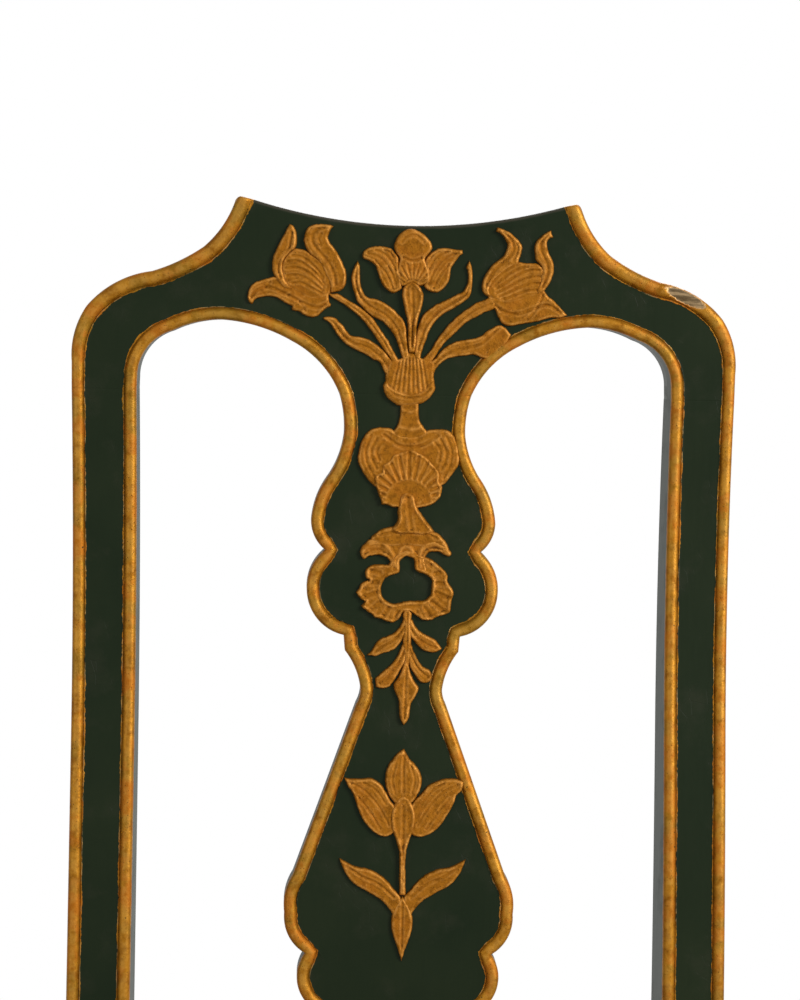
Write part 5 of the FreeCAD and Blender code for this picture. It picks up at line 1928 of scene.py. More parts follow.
    def iris(self) -> tuple[Relief, ...]:
        """The flower in the middle, from behind to front.

        Returns:
            Its shapes, from behind to front.
        """
        left_fall = (
            (-27.7, 34.6), (-26.7, 31.5), (-24.1, 29.7), (-20.5, 28.7), (-16.9, 28.5), (-13.3, 29),
            (-10.3, 30), (-8.7, 32), (-6.2, 35.6), (-5.8, 42), (-4.3, 48), (-4.1, 53.6), (-5.6, 55.1),
            (-8.7, 56.4), (-11.3, 55.6), (-13.8, 53.6), (-15.9, 51), (-17.4, 47.4), (-18.5, 43.8),
            (-19.7, 40.8), (-22.1, 38.5), (-24.6, 37.2), (-27.2, 36.2))
        right_fall = (
            (11.3, 33.1), (14.4, 30.5), (17.9, 29), (22.1, 28.7), (26.7, 29.5), (31.5, 29.7), (31.8, 32.1),
            (29.7, 33.6), (27.2, 37.2), (25.1, 40.8), (24.4, 44.9), (23.6, 49), (21.5, 52.1), (19, 54.6),
            (15.9, 55.6), (12.3, 54.9), (10.3, 53.6), (8.7, 52), (9.8, 47), (9.5, 40.5), (9.4, 36))
        standard = (
            (0.5, 17.7), (4.1, 18.5), (7.7, 20.3), (10.5, 22.8), (12.8, 25.9), (13.6, 29.5), (11.8, 32.6),
            (9.7, 35.6), (11.8, 41.8), (12.8, 46.9), (11.3, 50), (6.5, 52), (1.8, 50.5), (-1.4, 52),
            (-4.6, 52.5), (-7.2, 46.9), (-7.2, 40.8), (-5.9, 35.6), (-7.9, 32.6), (-9.2, 29.5),
            (-8.7, 25.9), (-7.2, 22.8), (-5.1, 20.3), (-2.6, 18.5))
        bulb = (
            (2.1, 48.5), (5.1, 50.5), (7.7, 53.6), (9, 57.7), (8.7, 61.8), (7.9, 65.4), (6.4, 70.5),
            (5.4, 76.7), (5.6, 84), (4.5, 92), (0.6, 92), (-0.2, 84), (-0.2, 76.7), (-0.8, 71.5),
            (-1.8, 67.4), (-2.6, 63.8), (-3.6, 59.7), (-3.8, 56.2), (-3.1, 52.6), (-1, 50))
        return (
            Relief(left_fall, 2.0, rim=0.35, ridges=strokes(-0.4, 0.5,
                ((-24.5, 33), (-19, 34.5), (-14, 38.5), (-10, 45), (-7.5, 52)),
                ((-20, 31), (-15, 33), (-11, 37), (-8, 43)),
                ((-20, 37.5), (-15.5, 42), (-12, 47.5), (-9.5, 53.5)),
                ((-15, 30.6), (-11.5, 32), (-9, 35)))),
            Relief(right_fall, 2.0, rim=0.35, ridges=strokes(-0.4, 0.5,
                ((28.5, 32), (23, 33.5), (18, 38), (14, 45), (12, 51)),
                ((23.5, 30.8), (18.5, 32.5), (14.5, 36.5), (12, 42)),
                ((23.5, 38.5), (19.5, 43.5), (16.5, 49), (14.5, 53.5)),
                ((19.5, 30.3), (15.5, 31.8), (12.5, 34.8)))),
            Relief(standard, 2.5, 2.6, rim=0.3, grain=0.16, ridges=strokes(-0.55, 0.6,
                ((-3.5, 35), (2, 37), (7.3, 35.2))) + strokes(-0.35, 0.6,
                ((-4.8, 26), (-1, 22.4), (4, 22), (8.5, 25.5))) + fan((2.6, 53), 4.5, 14.5, 212, 328, 9,
                -0.45, 0.5)),
            Relief(bulb, 2.7, 2.0, rim=0.55, rim_width=1.2, hollow=0.5, ridges=strokes(-0.5, 0.7,
                ((2.2, 54), (2.6, 62), (2.8, 70), (2.6, 80), (2.4, 88)))),
        )

    def leaves(self) -> tuple[Relief, ...]:
        """The stems and long leaves that rise from the collar.

        Returns:
            Their shapes, from behind to front.
        """
        stem_left = (
            (-48, 57), (-45.2, 57.5), (-42.1, 57.1), (-38.9, 58.9), (-34.9, 61.3), (-30.3, 63.8),
            (-24.6, 67.9), (-19.5, 73.1), (-15.4, 79.2), (-11.3, 84.9), (-8.7, 89.7), (-4.2, 97.8),
            (-6.5, 100.5), (-9.2, 97), (-12.2, 92.7), (-16.4, 86.9), (-20.5, 80.8), (-24.1, 76.2),
            (-28.2, 71.5), (-31.3, 69), (-35.9, 65.4), (-38.9, 63.4), (-43, 61.1), (-46.1, 59.3))
        stem_right = (
            (48.7, 57.5), (52.1, 60.7), (50.9, 64.3), (49.6, 65.2), (45.1, 67), (40.6, 69.6), (35.9, 72.1),
            (31.8, 75.6), (26.7, 80.8), (22.6, 84.9), (19, 89.7), (16.3, 94.6), (11.5, 100.5), (8, 96.5),
            (13.8, 89.7), (16.4, 84.9), (19.5, 80.3), (22.6, 76.2), (26.7, 71.5), (31.8, 66.9),
            (36.9, 63.3), (39.7, 61.1), (43.3, 59.8), (46.9, 58))
        curl_left = (
            (-30.3, 37.2), (-29, 40.8), (-28.6, 45.9), (-28.5, 50), (-27.7, 53.6), (-25.9, 57.2),
            (-23.6, 59.2), (-19.5, 60), (-15.9, 61.3), (-12.3, 63.3), (-8.7, 65.9), (-5.6, 69),
            (-2.6, 72.3), (-0.8, 76.7), (-0.3, 81.8), (1.5, 95), (-2.5, 97), (-5.1, 89), (-7.2, 83.3),
            (-9.7, 79.2), (-12.3, 76.2), (-15.9, 73.1), (-19.5, 71.5), (-24.1, 68.5), (-27.7, 64.9),
            (-30.3, 61.8), (-31.5, 58.2), (-33.1, 53.6), (-33.9, 49), (-33.6, 44.9), (-32, 40.8))
        curl_right = (
            (35.5, 35.6), (36.9, 38.7), (37.7, 43.3), (37.8, 47.9), (37.4, 52.6), (36.4, 57.2), (33.8, 60),
            (30.8, 62.3), (26.7, 64.9), (22.1, 67.4), (17.9, 71), (15.4, 74.1), (12.8, 78.7), (11.3, 83.3),
            (9.2, 89), (7.5, 97), (3.6, 95), (4.6, 81.8), (5.6, 77.2), (6.9, 73.1), (8.7, 69), (11.8, 65.9),
            (15.9, 62.8), (20.5, 60.5), (25.1, 58.2), (28.7, 56.2), (32.3, 54.1), (34.4, 50), (35, 45.9),
            (34.6, 41.8), (33.6, 40.3))
        low_left = (
            (-50, 71.5), (-46.2, 71.2), (-42.6, 71.9), (-40.4, 74.4), (-37.8, 76.7), (-35.3, 80.5),
            (-33.3, 82.1), (-28.2, 82.8), (-23.7, 84), (-19.2, 86.6), (-15.4, 89.5), (-12.2, 92.7),
            (-7, 99), (-9.5, 106), (-13.1, 104.2), (-14.7, 101), (-16.7, 97.8), (-20.5, 96.2), (-25.6, 93),
            (-30.8, 90.8), (-34.6, 88.8), (-39.1, 85), (-42.3, 81.2), (-44.2, 77.9), (-46.8, 74.7),
            (-50, 72.8))
        low_right = (
            (16.3, 94.6), (19.2, 90.8), (23.7, 86.9), (28.8, 84.4), (34.6, 83.1), (39.7, 82.1),
            (43.6, 80.5), (47.4, 77.3), (51.1, 75.3), (54, 74), (57, 75), (61.4, 79.6), (58.4, 85.4),
            (53.8, 90.4), (49.6, 94.4), (44.8, 94.4), (39.7, 92.4), (34.6, 93), (28.8, 93.7), (23.7, 95.3),
            (19.9, 97.8), (17.3, 101), (16, 104.2), (11, 105), (10.5, 98.5))
        bunch = (
            (-9.5, 96.5), (-4.2, 95.2), (0, 92), (4, 92), (8, 94.5), (13, 95.5), (16.3, 96.6), (16.6, 101),
            (16, 104.2), (15.8, 112), (8, 117), (0, 118), (-7, 116.6), (-12, 111), (-12.6, 103.5))
        vein = 0.6
        return (
            Relief(low_left, 1.6, rim=0.2, ridges=strokes(-0.45, vein,
                ((-47, 73), (-42.5, 76.5), (-38, 82.5), (-32, 86.5), (-24, 89), (-16, 94.5), (-10, 102)))),
            Relief(low_right, 1.6, rim=0.2, ridges=strokes(-0.45, vein,
                ((54, 75.5), (49, 80.5), (43.5, 85.5), (35, 88.2), (27, 90), (19.5, 95), (13, 102.5)))),
            Relief(stem_left, 1.9, 1.5, ridges=strokes(-0.35, 0.45,
                ((-44, 59), (-33.5, 65), (-24, 72.5), (-16, 82.5), (-9, 93.5)))),
            Relief(stem_right, 1.9, 1.5, ridges=strokes(-0.35, 0.45,
                ((48.5, 61.5), (38, 66.5), (28, 75.2), (19.5, 84.5), (12, 94.5)))),
            Relief(curl_left, 2.0, rim=0.25, ridges=strokes(-0.45, vein,
                ((-30.8, 42), (-31, 50), (-28.5, 58.5), (-22, 65), (-13.5, 69.5), (-6.5, 77.5), (-2, 90)))),
            Relief(curl_right, 2.0, rim=0.25, ridges=strokes(-0.45, vein,
                ((36, 41), (36, 50), (33, 57), (25, 62), (16.5, 68), (10, 77), (6.5, 90)))),
            Relief(bunch, 2.0, 2.2, ridges=tuple(Ridge(((-4.5 + k * 1.9, 95), (-8.5 + k * 3.0, 115)), -0.5,
                0.5) for k in range(8))),
        )

    def vase(self) -> tuple[Relief, ...]:
        """The collar, the urn with its shell, and the domed foot on two wings.

        Returns:
            Its shapes, from behind to front.
        """
        collar = (
            (-11.5, 107.1), (-13.1, 109.4), (-14, 111.9), (-13.5, 115.1), (-11.5, 119), (-8.3, 121.5),
            (-5.1, 123.5), (0, 123.6), (7.7, 122.4), (11.5, 120.6), (14.7, 117.1), (16.7, 113.8),
            (16.7, 110.6), (15.4, 107.4), (12.2, 110), (10.9, 112.6), (6.4, 115.1), (0, 115.8),
            (-6.4, 113.8), (-10.3, 111.3))
        neck = (
            (-4.6, 121), (-3.8, 123.5), (-3.7, 127.3), (-4.2, 131.8), (-5.8, 136.3), (-9, 139.8),
            (-4, 143.6), (2, 144.6), (8.5, 143.2), (13.5, 139.8), (10.3, 135.6), (8, 131.8), (7.4, 127.3),
            (7.4, 122.2), (7.8, 120.5))
        urn = (
            (-9, 137), (-12.2, 136.6), (-16, 136.6), (-19.9, 137.6), (-23.1, 139.8), (-25.3, 143.3),
            (-26.9, 147.2), (-27.9, 152.3), (-28.3, 155), (-27.4, 159), (-25.4, 163.1), (-23.1, 166.5),
            (-20.2, 170), (-16.7, 172.9), (-15, 175.2), (-8, 178), (2, 179.5), (12, 178.5), (19, 175),
            (21.9, 170.6), (23.4, 169.7), (26, 166.5), (28.9, 162.5), (31.2, 159), (32, 155.6),
            (31.7, 151.7), (30.8, 146.5), (29.5, 142.7), (26.9, 138.8), (23.7, 137.2), (19.9, 136.9),
            (16, 137.2), (13.5, 137.5), (10.3, 139), (5.8, 141), (0, 141), (-5.1, 139.6))
        shell = (
            (-17.9, 170), (-18.5, 166.5), (-16.7, 164.2), (-14.1, 163.1), (-13.8, 160.2), (-13.6, 158.2),
            (-10.4, 156.7), (-8.9, 155), (-7.8, 152.7), (-4.6, 151.5), (-0.6, 149.8), (2.9, 148.9),
            (6.9, 150.4), (11, 152.7), (14.4, 155.6), (17.3, 159), (19.9, 161.9), (20.5, 164.8),
            (20.2, 167.7), (21.9, 171.2), (21.9, 174.1), (21.1, 177), (19, 179.8), (16.2, 182.1),
            (12.7, 183.3), (10.1, 183.9), (3, 185), (-4.6, 184.2), (-7.5, 183.9), (-10.4, 182.7),
            (-13.5, 182.7), (-14.7, 178.7), (-15.9, 175.8))
        pedestal = (
            (-3.5, 180.3), (-3.1, 177.6), (-1.7, 175.9), (0.3, 174.8), (3, 175.2), (5.1, 176.3),
            (6.1, 178.4), (6.8, 181.5), (8.2, 184.9), (10.6, 188.5), (13.3, 191.9), (15.7, 195.1),
            (17.8, 198), (12.8, 200), (4.5, 200), (-3.8, 200), (-8.6, 197), (-5.9, 194.5), (-4.4, 192.5),
            (-3.9, 189.8), (-4.4, 186.4), (-4, 183))
        dome = (
            (-20.2, 203.9), (-19.6, 201.9), (-17.9, 200.1), (-15.5, 198.2), (-13.2, 197), (-9.6, 195.8),
            (-5.6, 195.3), (-0.8, 194.9), (4.5, 195.1), (9.2, 195.8), (13.9, 196.6), (17, 197.7),
            (20.5, 199.4), (22.8, 201.8), (24.7, 204), (26.2, 206.8), (22.9, 208), (17, 206.5),
            (9.9, 207.5), (4.6, 207), (-2.4, 207), (-8.3, 207.5), (-14.2, 206.5))
        mantle = (
            (-22.4, 204.8), (-20.1, 202.8), (-14.3, 202.4), (-2.5, 202), (9.2, 202), (18, 202.6),
            (25.3, 205.6), (26.8, 208.8), (28, 210.2), (27.7, 212), (26.5, 213), (24.8, 212.4),
            (22.3, 210.9), (20, 210.1), (17.1, 210), (14.7, 210.4), (13.3, 212), (12.4, 214.5), (13.5, 219),
            (14, 223), (10.2, 222.7), (7.2, 221.2), (6.3, 219.5), (5.9, 215.4), (5.1, 214.1), (3.6, 213.6),
            (1.5, 213), (-0.8, 214.2), (-2.3, 215.8), (-2.3, 218.7), (-2.5, 222), (-3.4, 223.1),
            (-6.3, 223.8), (-8.4, 220.5), (-7.8, 217.5), (-9.3, 214.9), (-11.2, 213.5), (-14.1, 212.7),
            (-16.4, 212.5), (-18.8, 213.1), (-21.1, 213.4), (-22.3, 214.6), (-23.8, 214.9), (-25.3, 213.5),
            (-25.9, 210.8), (-25.4, 208.5), (-24.2, 206.4))
        scallops = fan((2, 181), 15, 30, 186, 354, 15, -0.7, 0.7)
        return (
            Relief(neck, 2.0, 1.8, ridges=strokes(0.4, 0.8, ((-3.5, 126), (2, 127.2), (7.2, 125.6))) +
                strokes(0.35, 0.9, ((-6, 135.6), (2, 137.6), (10, 135.6)))),
            Relief(urn, 2.2, 3.2, rim=0.35, ridges=tuple(Ridge(((-20.5 + k * 3.6, 141.5 + k * 1.5), (-23.6 +
                k * 3.4, 150), (-22.6 + k * 3, 158 - k * 2), (-18.5 + k * 1.5, 166 - k * 5)), -0.4, 0.6) for
                k in range(3)) + tuple(Ridge(((24 - k * 3.6, 141.5 + k * 1.5), (27.2 - k * 3.4, 150), (26.2
                - k * 3, 158 - k * 2), (22.5 - k * 1.5, 166 - k * 5)), -0.4, 0.6) for k in range(3)) +
                strokes(-0.5, 0.7, ((-13, 141), (-4, 147), (3, 148), (10, 146.5), (19, 141)))),
            Relief(mantle, 2.0, 1.7, rim=0.4, ridges=strokes(0.5, 0.9, ((-24.2, 210.2), (-20.1, 205.9),
                (-15.9, 205.3), (-11.9, 206), (-8.8, 208.8), (-6.5, 213.2), (-4.6, 219)), ((26.5, 210.8),
                (19.4, 205.4), (15.8, 204.8), (12.3, 206.1), (10.1, 209.1), (9, 213.2), (9.5, 219))) +
                strokes(0.45, 0.8,
                ((-2.9, 211.6), (-1.8, 208.4), (0.5, 207.1), (2.8, 207.4), (4.7, 209.7), (6.2, 213.2))) +
                strokes(-0.4, 0.6, ((-20, 209.5), (-15.5, 208.6), (-11.5, 210.6)),
                ((22, 208.6), (17.5, 207.6), (13.6, 209)))),
            Relief(dome, 2.5, 2.6, rim=0.25, ridges=strokes(-0.35, 0.6,
                ((-15, 200), (-6, 198.6), (3, 198.4), (12, 199), (19.5, 201.8)))),
            Relief(shell, 3.0, 2.2, rim=0.45, hollow=0.35, ridges=scallops),
            Relief(pedestal, 3.6, 2.4, rim=0.5, rim_width=1.3, hollow=0.4, ridges=strokes(-0.35, 0.9,
                ((1.6, 178), (2.2, 186), (4, 197)))),
            Relief(collar, 2.9, 2.4, ridges=strokes(-0.4, 0.6,
                ((-11.5, 113), (-6, 117), (1, 118.4), (8.5, 117.2), (14, 113)))),
        )

    def wreath(self) -> tuple[Relief, ...]:
        """The scalloped wreath with its trefoil opening.

        Returns:
            Its one shape.
        """
        outline = (
            (-9.3, 217.8), (-15.2, 217.8), (-18.8, 218.4), (-21.1, 219.6), (-22.5, 221.3), (-22.8, 223.7),
            (-22.1, 226.2), (-20.7, 227), (-22.7, 227.7), (-24.8, 229.1), (-26.7, 232.6), (-28.2, 234.4),
            (-25.8, 237.6), (-22.8, 240), (-24.9, 242.4), (-23.7, 244), (-18.9, 247.1), (-16.5, 249.2),
            (-13.6, 249.9), (-8.8, 251.6), (-6.5, 252), (-4.2, 251), (-1.8, 249), (-0.1, 245.9),
            (3.4, 245.3), (8.7, 248.5), (10.5, 249.9), (13.4, 250.4), (17, 250.1), (19.3, 248.6),
            (25.2, 246.7), (27.5, 245.3), (28.3, 239.4), (29.6, 233.5), (28.5, 231.1), (26, 227.3),
            (26.1, 224.7), (25.2, 222.4), (21.3, 218.4), (16.5, 214.5), (14.1, 213.5), (8.3, 211),
            (5.3, 209.5), (1.2, 209), (-2.3, 210), (-6.5, 213))
        hole = (
            (1.5, 213), (3.6, 213.6), (5.1, 214.1), (5.9, 215.4), (6.3, 219.7), (7.2, 221.2), (12.5, 223.5),
            (14.9, 224.8), (16.3, 226.6), (16.4, 229), (15.9, 234.8), (14.4, 236.9), (12.1, 238.5),
            (8.6, 238.8), (1.5, 239.2), (-4.9, 240.7), (-7.2, 240.5), (-9.6, 239.4), (-11.4, 237.9),
            (-12.6, 235.9), (-13.2, 233), (-13, 230.6), (-12.1, 228.2), (-10.4, 225.9), (-8.3, 224.6),
            (-3.4, 223.1), (-2.5, 222), (-2.3, 215.8), (-0.8, 214.2))
        flutes = fan((2, 229), 17.5, 36, -58, 238, 17, -0.65, 0.9)
        return (
            Relief(outline, 2.3, 1.8, rim=0.5, rim_width=1.2, hollow=0.3, ridges=flutes, hole=hole),
        )

    def leaf_drop(self) -> tuple[Relief, ...]:
        """The spray of five leaves that hangs below the wreath.

        Returns:
            Its shapes, from behind to front.
        """
        stem = (
            (0.2, 243.4), (3.8, 243.4), (5.2, 247), (4.6, 252), (5, 262), (4.4, 272), (3.6, 278),
            (1.4, 278), (0.6, 270), (-0.4, 262), (0.6, 252), (-0.6, 248))
        upper_left = (
            (0.6, 247.7), (-0.8, 251.5), (-2.3, 254.6), (-5.4, 257.7), (-10, 260), (-13.1, 261.2),
            (-16.2, 264.6), (-18.5, 268.5), (-21.2, 271), (-16.2, 271.7), (-11.5, 270), (-6.9, 268.5),
            (-3.1, 265.8), (0.6, 260), (2.4, 253))
        upper_right = (
            (3.2, 248.4), (5.4, 250), (7.3, 253.8), (10.8, 257.3), (15.4, 259.6), (19.2, 261.9),
            (23.2, 266.8), (19.2, 268.8), (14.6, 268.8), (10, 266.5), (6.2, 262.3), (3.2, 258.2))
        lower_left = (
            (1.4, 260.3), (-1.2, 266.2), (-3.1, 270.8), (-6.2, 275.4), (-10.8, 279.6), (-13.8, 282.3),
            (-15.8, 284.6), (-15.6, 289.6), (-11.5, 290.4), (-7.7, 289.2), (-4.6, 285.4), (-1.5, 280),
            (1.6, 274.2), (3, 266))
        lower_right = (
            (3.6, 259.4), (5.8, 266.9), (8.5, 272.3), (11.5, 276.9), (15.8, 279.2), (17.2, 283.1),
            (15.4, 286.2), (10.8, 286.5), (7.7, 283.1), (4.6, 278.5), (2.4, 272.4), (2, 265))
        centre = (
            (1.6, 270), (-0.2, 277), (-2.3, 283.1), (-5.4, 287.7), (-4.6, 291.5), (-2.3, 296.9),
            (-1.9, 301.5), (-1.5, 306.9), (0.8, 311.4), (3.8, 307.7), (4.6, 303.1), (5.4, 298.5),
            (8.5, 293.1), (9.4, 289.2), (6.9, 285.4), (4.4, 279.8), (3, 272.4))
        return (
            blade(upper_left, ((1, 254), (-4.5, 261.2), (-11, 265.3), (-17.5, 269.6))),
            blade(upper_right, ((4, 254.5), (9, 261), (15, 264.6), (21, 266.4))),
            blade(lower_left, ((1, 268), (-3.5, 276.8), (-8.5, 283), (-13.4, 287.2))),
            blade(lower_right, ((4, 267), (7.4, 275.4), (11.4, 280.6), (14.8, 283.2))),
            Relief(centre, 2.4, 2.0, rim=0.2, ridges=strokes(-0.5, 0.55,
                ((2.2, 278), (1.6, 288), (1.4, 298), (1.2, 307)))),
            Relief(stem, 2.4, 1.6, ridges=strokes(-0.35, 0.5, ((2.2, 246), (2.4, 256), (2.2, 268)))),
        )

    def lily(self) -> tuple[Relief, ...]:
        """The lower flower, and under it the stem and leaves that the photograph cuts off.

        Returns:
            Its shapes, from behind to front.
        """
        top_petal = (
            (1.2, 324.6), (-2.3, 326.8), (-5, 330), (-7.7, 333.8), (-9.2, 338.5), (-9.6, 343.1),
            (-8.8, 347.7), (-6.2, 353.1), (-2.5, 356.4), (2, 357), (6.2, 355.4), (9.2, 351.5),
            (11.5, 346.2), (11.9, 341.5), (10.4, 336.9), (7.7, 333.1), (4.6, 330.4), (3.1, 327.7))
        left_petal = (
            (-33.5, 341.4), (-29.2, 341.9), (-23.1, 341.9), (-17.7, 341.5), (-13.1, 343.8), (-9.2, 348.5),
            (-6.2, 353.8), (-2, 360), (-3, 372), (-9, 375), (-15.5, 372.5), (-21, 367), (-24.4, 361),
            (-26.9, 353.8), (-28.5, 350), (-30.8, 346.9))
        right_petal = (
            (36.6, 342.6), (35.4, 347.7), (32.3, 350.8), (30.6, 355.4), (27, 362), (23, 368), (17, 373),
            (10.5, 375), (5, 372), (4, 360), (7.5, 353.8), (12.3, 349.2), (15.4, 345.4), (20, 343.1),
            (24.6, 341.5), (30.8, 341.2))
        bulb = (
            (1.2, 350.6), (4.2, 352.4), (7, 357), (8.4, 363), (7.6, 370), (5, 377), (3.2, 384), (3, 396),
            (3.4, 408), (-0.6, 408), (-0.8, 396), (-1, 384), (-2.8, 377), (-5.4, 370), (-6.2, 363),
            (-4.6, 357), (-1.8, 352.4))
        low_leaf = (
            (1.6, 410), (6, 404.5), (12, 398), (20, 393.5), (29, 391.5), (38, 387), (35, 394.5),
            (29.5, 401.5), (21, 406.5), (13.5, 411), (8, 417), (4.4, 425), (2.6, 424))
        drop = (
            (1.2, 408), (5.2, 414), (7.4, 421), (6.8, 429), (4, 437), (1.2, 446), (-1.6, 437), (-4.4, 429),
            (-5, 421), (-2.8, 414))
        mirror = tuple((2.4 - x, y) for x, y in low_leaf)
        vein = Ridge(((6, 409), (15, 401.5), (25, 397), (34, 391)), -0.5, 0.55)
        vein_mirror = Ridge(tuple((2.4 - x, y) for x, y in vein.line), vein.rise, vein.width)
        return (
            Relief(low_leaf, 1.8, rim=0.2, ridges=(vein,)),
            Relief(mirror, 1.8, rim=0.2, ridges=(vein_mirror,)),
            Relief(drop, 2.0, rim=0.2, ridges=strokes(-0.5, 0.55, ((1.2, 412), (1.2, 438)))),
            Relief(left_petal, 2.0, rim=0.35, ridges=strokes(-0.4, 0.5,
                ((-30, 343.6), (-22, 348), (-14, 356), (-7, 368)), ((-22, 344), (-15, 348), (-9, 356)),
                ((-25, 352), (-18.5, 360), (-12, 370)))),
            Relief(right_petal, 2.0, rim=0.35, ridges=strokes(-0.4, 0.5,
                ((33, 344.4), (25, 348.4), (17, 356), (9.5, 368)), ((25, 343.8), (18, 348), (11.5, 356)),
                ((28, 352.6), (21, 360.6), (14.5, 370)))),
            Relief(top_petal, 2.4, 2.4, rim=0.3, ridges=strokes(-0.45, 0.6,
                ((1.2, 328), (1, 338), (1.2, 349))) + strokes(-0.35, 0.5,
                ((-3.4, 333), (-5.4, 342), (-3.6, 350)), ((5.4, 333.4), (7.6, 342), (6.2, 350)))),
            Relief(bulb, 2.7, 2.0, rim=0.5, rim_width=1.2, hollow=0.4, ridges=strokes(-0.4, 0.7,
                ((1.2, 356), (1.2, 370), (1.2, 400)))),
        )

    def placed(self, points: Points) -> np.ndarray:
        """Drawn places, set on the back."""
        return np.array(points, float) * (self.spread, self.squat) + (self.shift, -self.lift)

    def surface(self, relief: Relief, points: np.ndarray,
                edge: np.ndarray) -> tuple[np.ndarray, np.ndarray, np.ndarray]:
        """The modelled height of one shape.

        Args:
            relief: the shape.
            points: places on it.
            edge: how far each lies from its edge.

        Returns:
            The height above the field, how much painted shade each place gets in hollows, round the foot and
            beside raised lines, and how much painted highlight on rims and raised lines, partly rubbed
            gilding.
        """
        share = np.clip(edge / relief.shoulder, 0, 1)
        height = relief.rise * np.sqrt(1 - (1 - share) ** 2)
        bead = np.exp(-((edge - relief.rim_width) / (relief.rim_width * 0.55)) ** 2)
        height += relief.rim * bead * smooth_step(edge, 0, 0.5)
        height -= relief.hollow * smooth_step(edge, relief.rim_width, relief.rim_width * 2.6)
        strong = min(1.0, relief.rim * 3)
        # painted shade: a dark line round the foot of each shape where it meets the field, and one inside
        # its rim
        cavity = 0.9 * np.exp(-(edge / 0.35) ** 2)
        cavity += 0.36 * (0.4 + 0.6 * strong) * np.exp(-((edge - relief.rim_width * 2.2) / 0.45) ** 2)
        # painted highlight on the rim's bead, partly rubbed gilding
        exposed = bead * (0.7 + 0.5 * strong)
        fade = smooth_step(edge, 0.2, 1.4)
        for ridge in relief.ridges:
            run = spline(self.placed(ridge.line), False, 1.2)
            off = distance_to_line(points, run)
            line = np.exp(-(off / (ridge.width * self.broad)) ** 2) * fade
            beside = np.exp(-((off - ridge.width * 2.2) / (ridge.width * 0.9)) ** 2) * fade
            height += ridge.rise * self.bold * (line - 0.25 * beside)
            # painted shade in sunk lines and beside raised ones; painted highlight on raised lines and on
            # the shoulders beside sunk ones
            if ridge.rise < 0:
                cavity += 0.34 * line
                exposed += 0.45 * beside
            else:
                exposed += 0.8 * line
                cavity += 0.3 * beside
        uneven = [noise.noise(Vector((x / 3.1, y / 3.1, 4.7))) + 0.5 * noise.noise(Vector((x, y, 1.3)) / 1.2)
                  for x, y in points]
        height += relief.grain * np.array(uneven) * smooth_step(edge, 0, 1.0)
        return height, np.clip(cavity, 0, 1), np.clip(exposed, 0, 1)

    def wander(self, loop: np.ndarray) -> np.ndarray:
        """How far a hand-cut edge strays at each of its points."""
        return np.array([self.hand * (noise.noise(Vector((x / 2.3, y / 2.3, 9.1)))
                                      + 0.6 * noise.noise(Vector((x, y, 2.7)))) for x, y in loop])

    def add(self, sheet: Sheet, relief: Relief) -> None:
        """Model one shape as a closed shell bedded in the face of the back.

        Args:
            sheet: what it is added to.
            relief: the shape.
        """
        loops = [spline(self.placed(relief.outline), True, self.step)]
        if relief.hole:
            loops.append(spline(self.placed(relief.hole), True, self.step))
        loops = [loop if (loop_area(loop) > 0) == (index == 0) else loop[::-1]
                 for index, loop in enumerate(loops)]
        loops = [loop + loop_normals(loop) * self.wander(loop)[:, None] for loop in loops]
        rim = np.vstack(loops)
        inward = np.vstack([loop_normals(loop) for loop in loops])
        extra = []
        for reach in self.rows:
            ring = rim + inward * reach
            ring = ring[inside(ring, loops)]
            near = np.min([distance_to_line(ring, loop, closed=True) for loop in loops], axis=0)
            extra.append(ring[near > reach - 0.03])
        grid = hex_grid(tuple(rim.min(axis=0)), tuple(rim.max(axis=0)), self.grid)
        grid = grid[inside(grid, loops)]
        near = np.min([distance_to_line(grid, loop, closed=True) for loop in loops], axis=0)
        extra.append(grid[near > self.clear])
        points, faces = triangulate(loops, np.vstack(extra))
        edge = np.min([distance_to_line(points, loop, closed=True) for loop in loops], axis=0)
        height, cavity, exposed = self.surface(relief, points, edge)
        level = self.back.level(points[:, 1])
        face = self.back.front(level)
        front = np.stack([points[:, 0], face - height + np.where(edge < 0.01, 0.15, 0.0), level], axis=1)
        top = sheet.add(front, faces, cavity=cavity, exposed=exposed)
        flat, bottom_faces = triangulate(loops, np.empty((0, 2)))
        under = np.stack([flat[:, 0], self.back.front(self.back.level(flat[:, 1])) + self.root,
                          self.back.level(flat[:, 1])], axis=1)
        # the sides and underside are dark all over: painted shade round the shape's foot
        bottom = sheet.add(under, [face[::-1] for face in bottom_faces], cavity=np.ones(len(flat)),
                           exposed=np.zeros(len(flat)))
        start = 0
        for loop in loops:
            for i in range(len(loop)):
                after = start + (i + 1) % len(loop)
                here = start + i
                sheet.faces.append((top + after, top + here, bottom + here, bottom + after))
            start += len(loop)

    def group(self, name: str, reliefs: tuple[Relief, ...], material: Material) -> None:
        """Model some shapes as one piece.

        Args:
            name: the piece's name.
            reliefs: its shapes, from behind to front.
            material: its finish.
        """
        sheet = Sheet()
        for relief in reliefs:
            self.add(sheet, relief)
        piece = sheet.build(name, material, 50)
        turn_outward(piece)
        place(piece, FRAME_BODY, "green_japan")

    def build(self, material: Material) -> None:
        """Model the whole ornament.

        Args:
            material: its finish.
        """
        for draw in (self.leaves, self.tulip_left, self.tulip_right, self.iris, self.vase, self.wreath,
                     self.leaf_drop, self.lily):
            self.group("gilt_" + draw.__name__, draw(), material)


# The front legs

@dataclass(frozen=True)
class LegStation:
    """One level of a cabriole leg.

    Attributes:
        height: above the floor.
        stand: how far its outer corner stands out from the block's.
        deep: how far in it reaches behind the block's outer corner.
        roundness: 0 for a square section, 1 for a circle.
    """

    height: float
    stand: float
    deep: float
    roundness: float


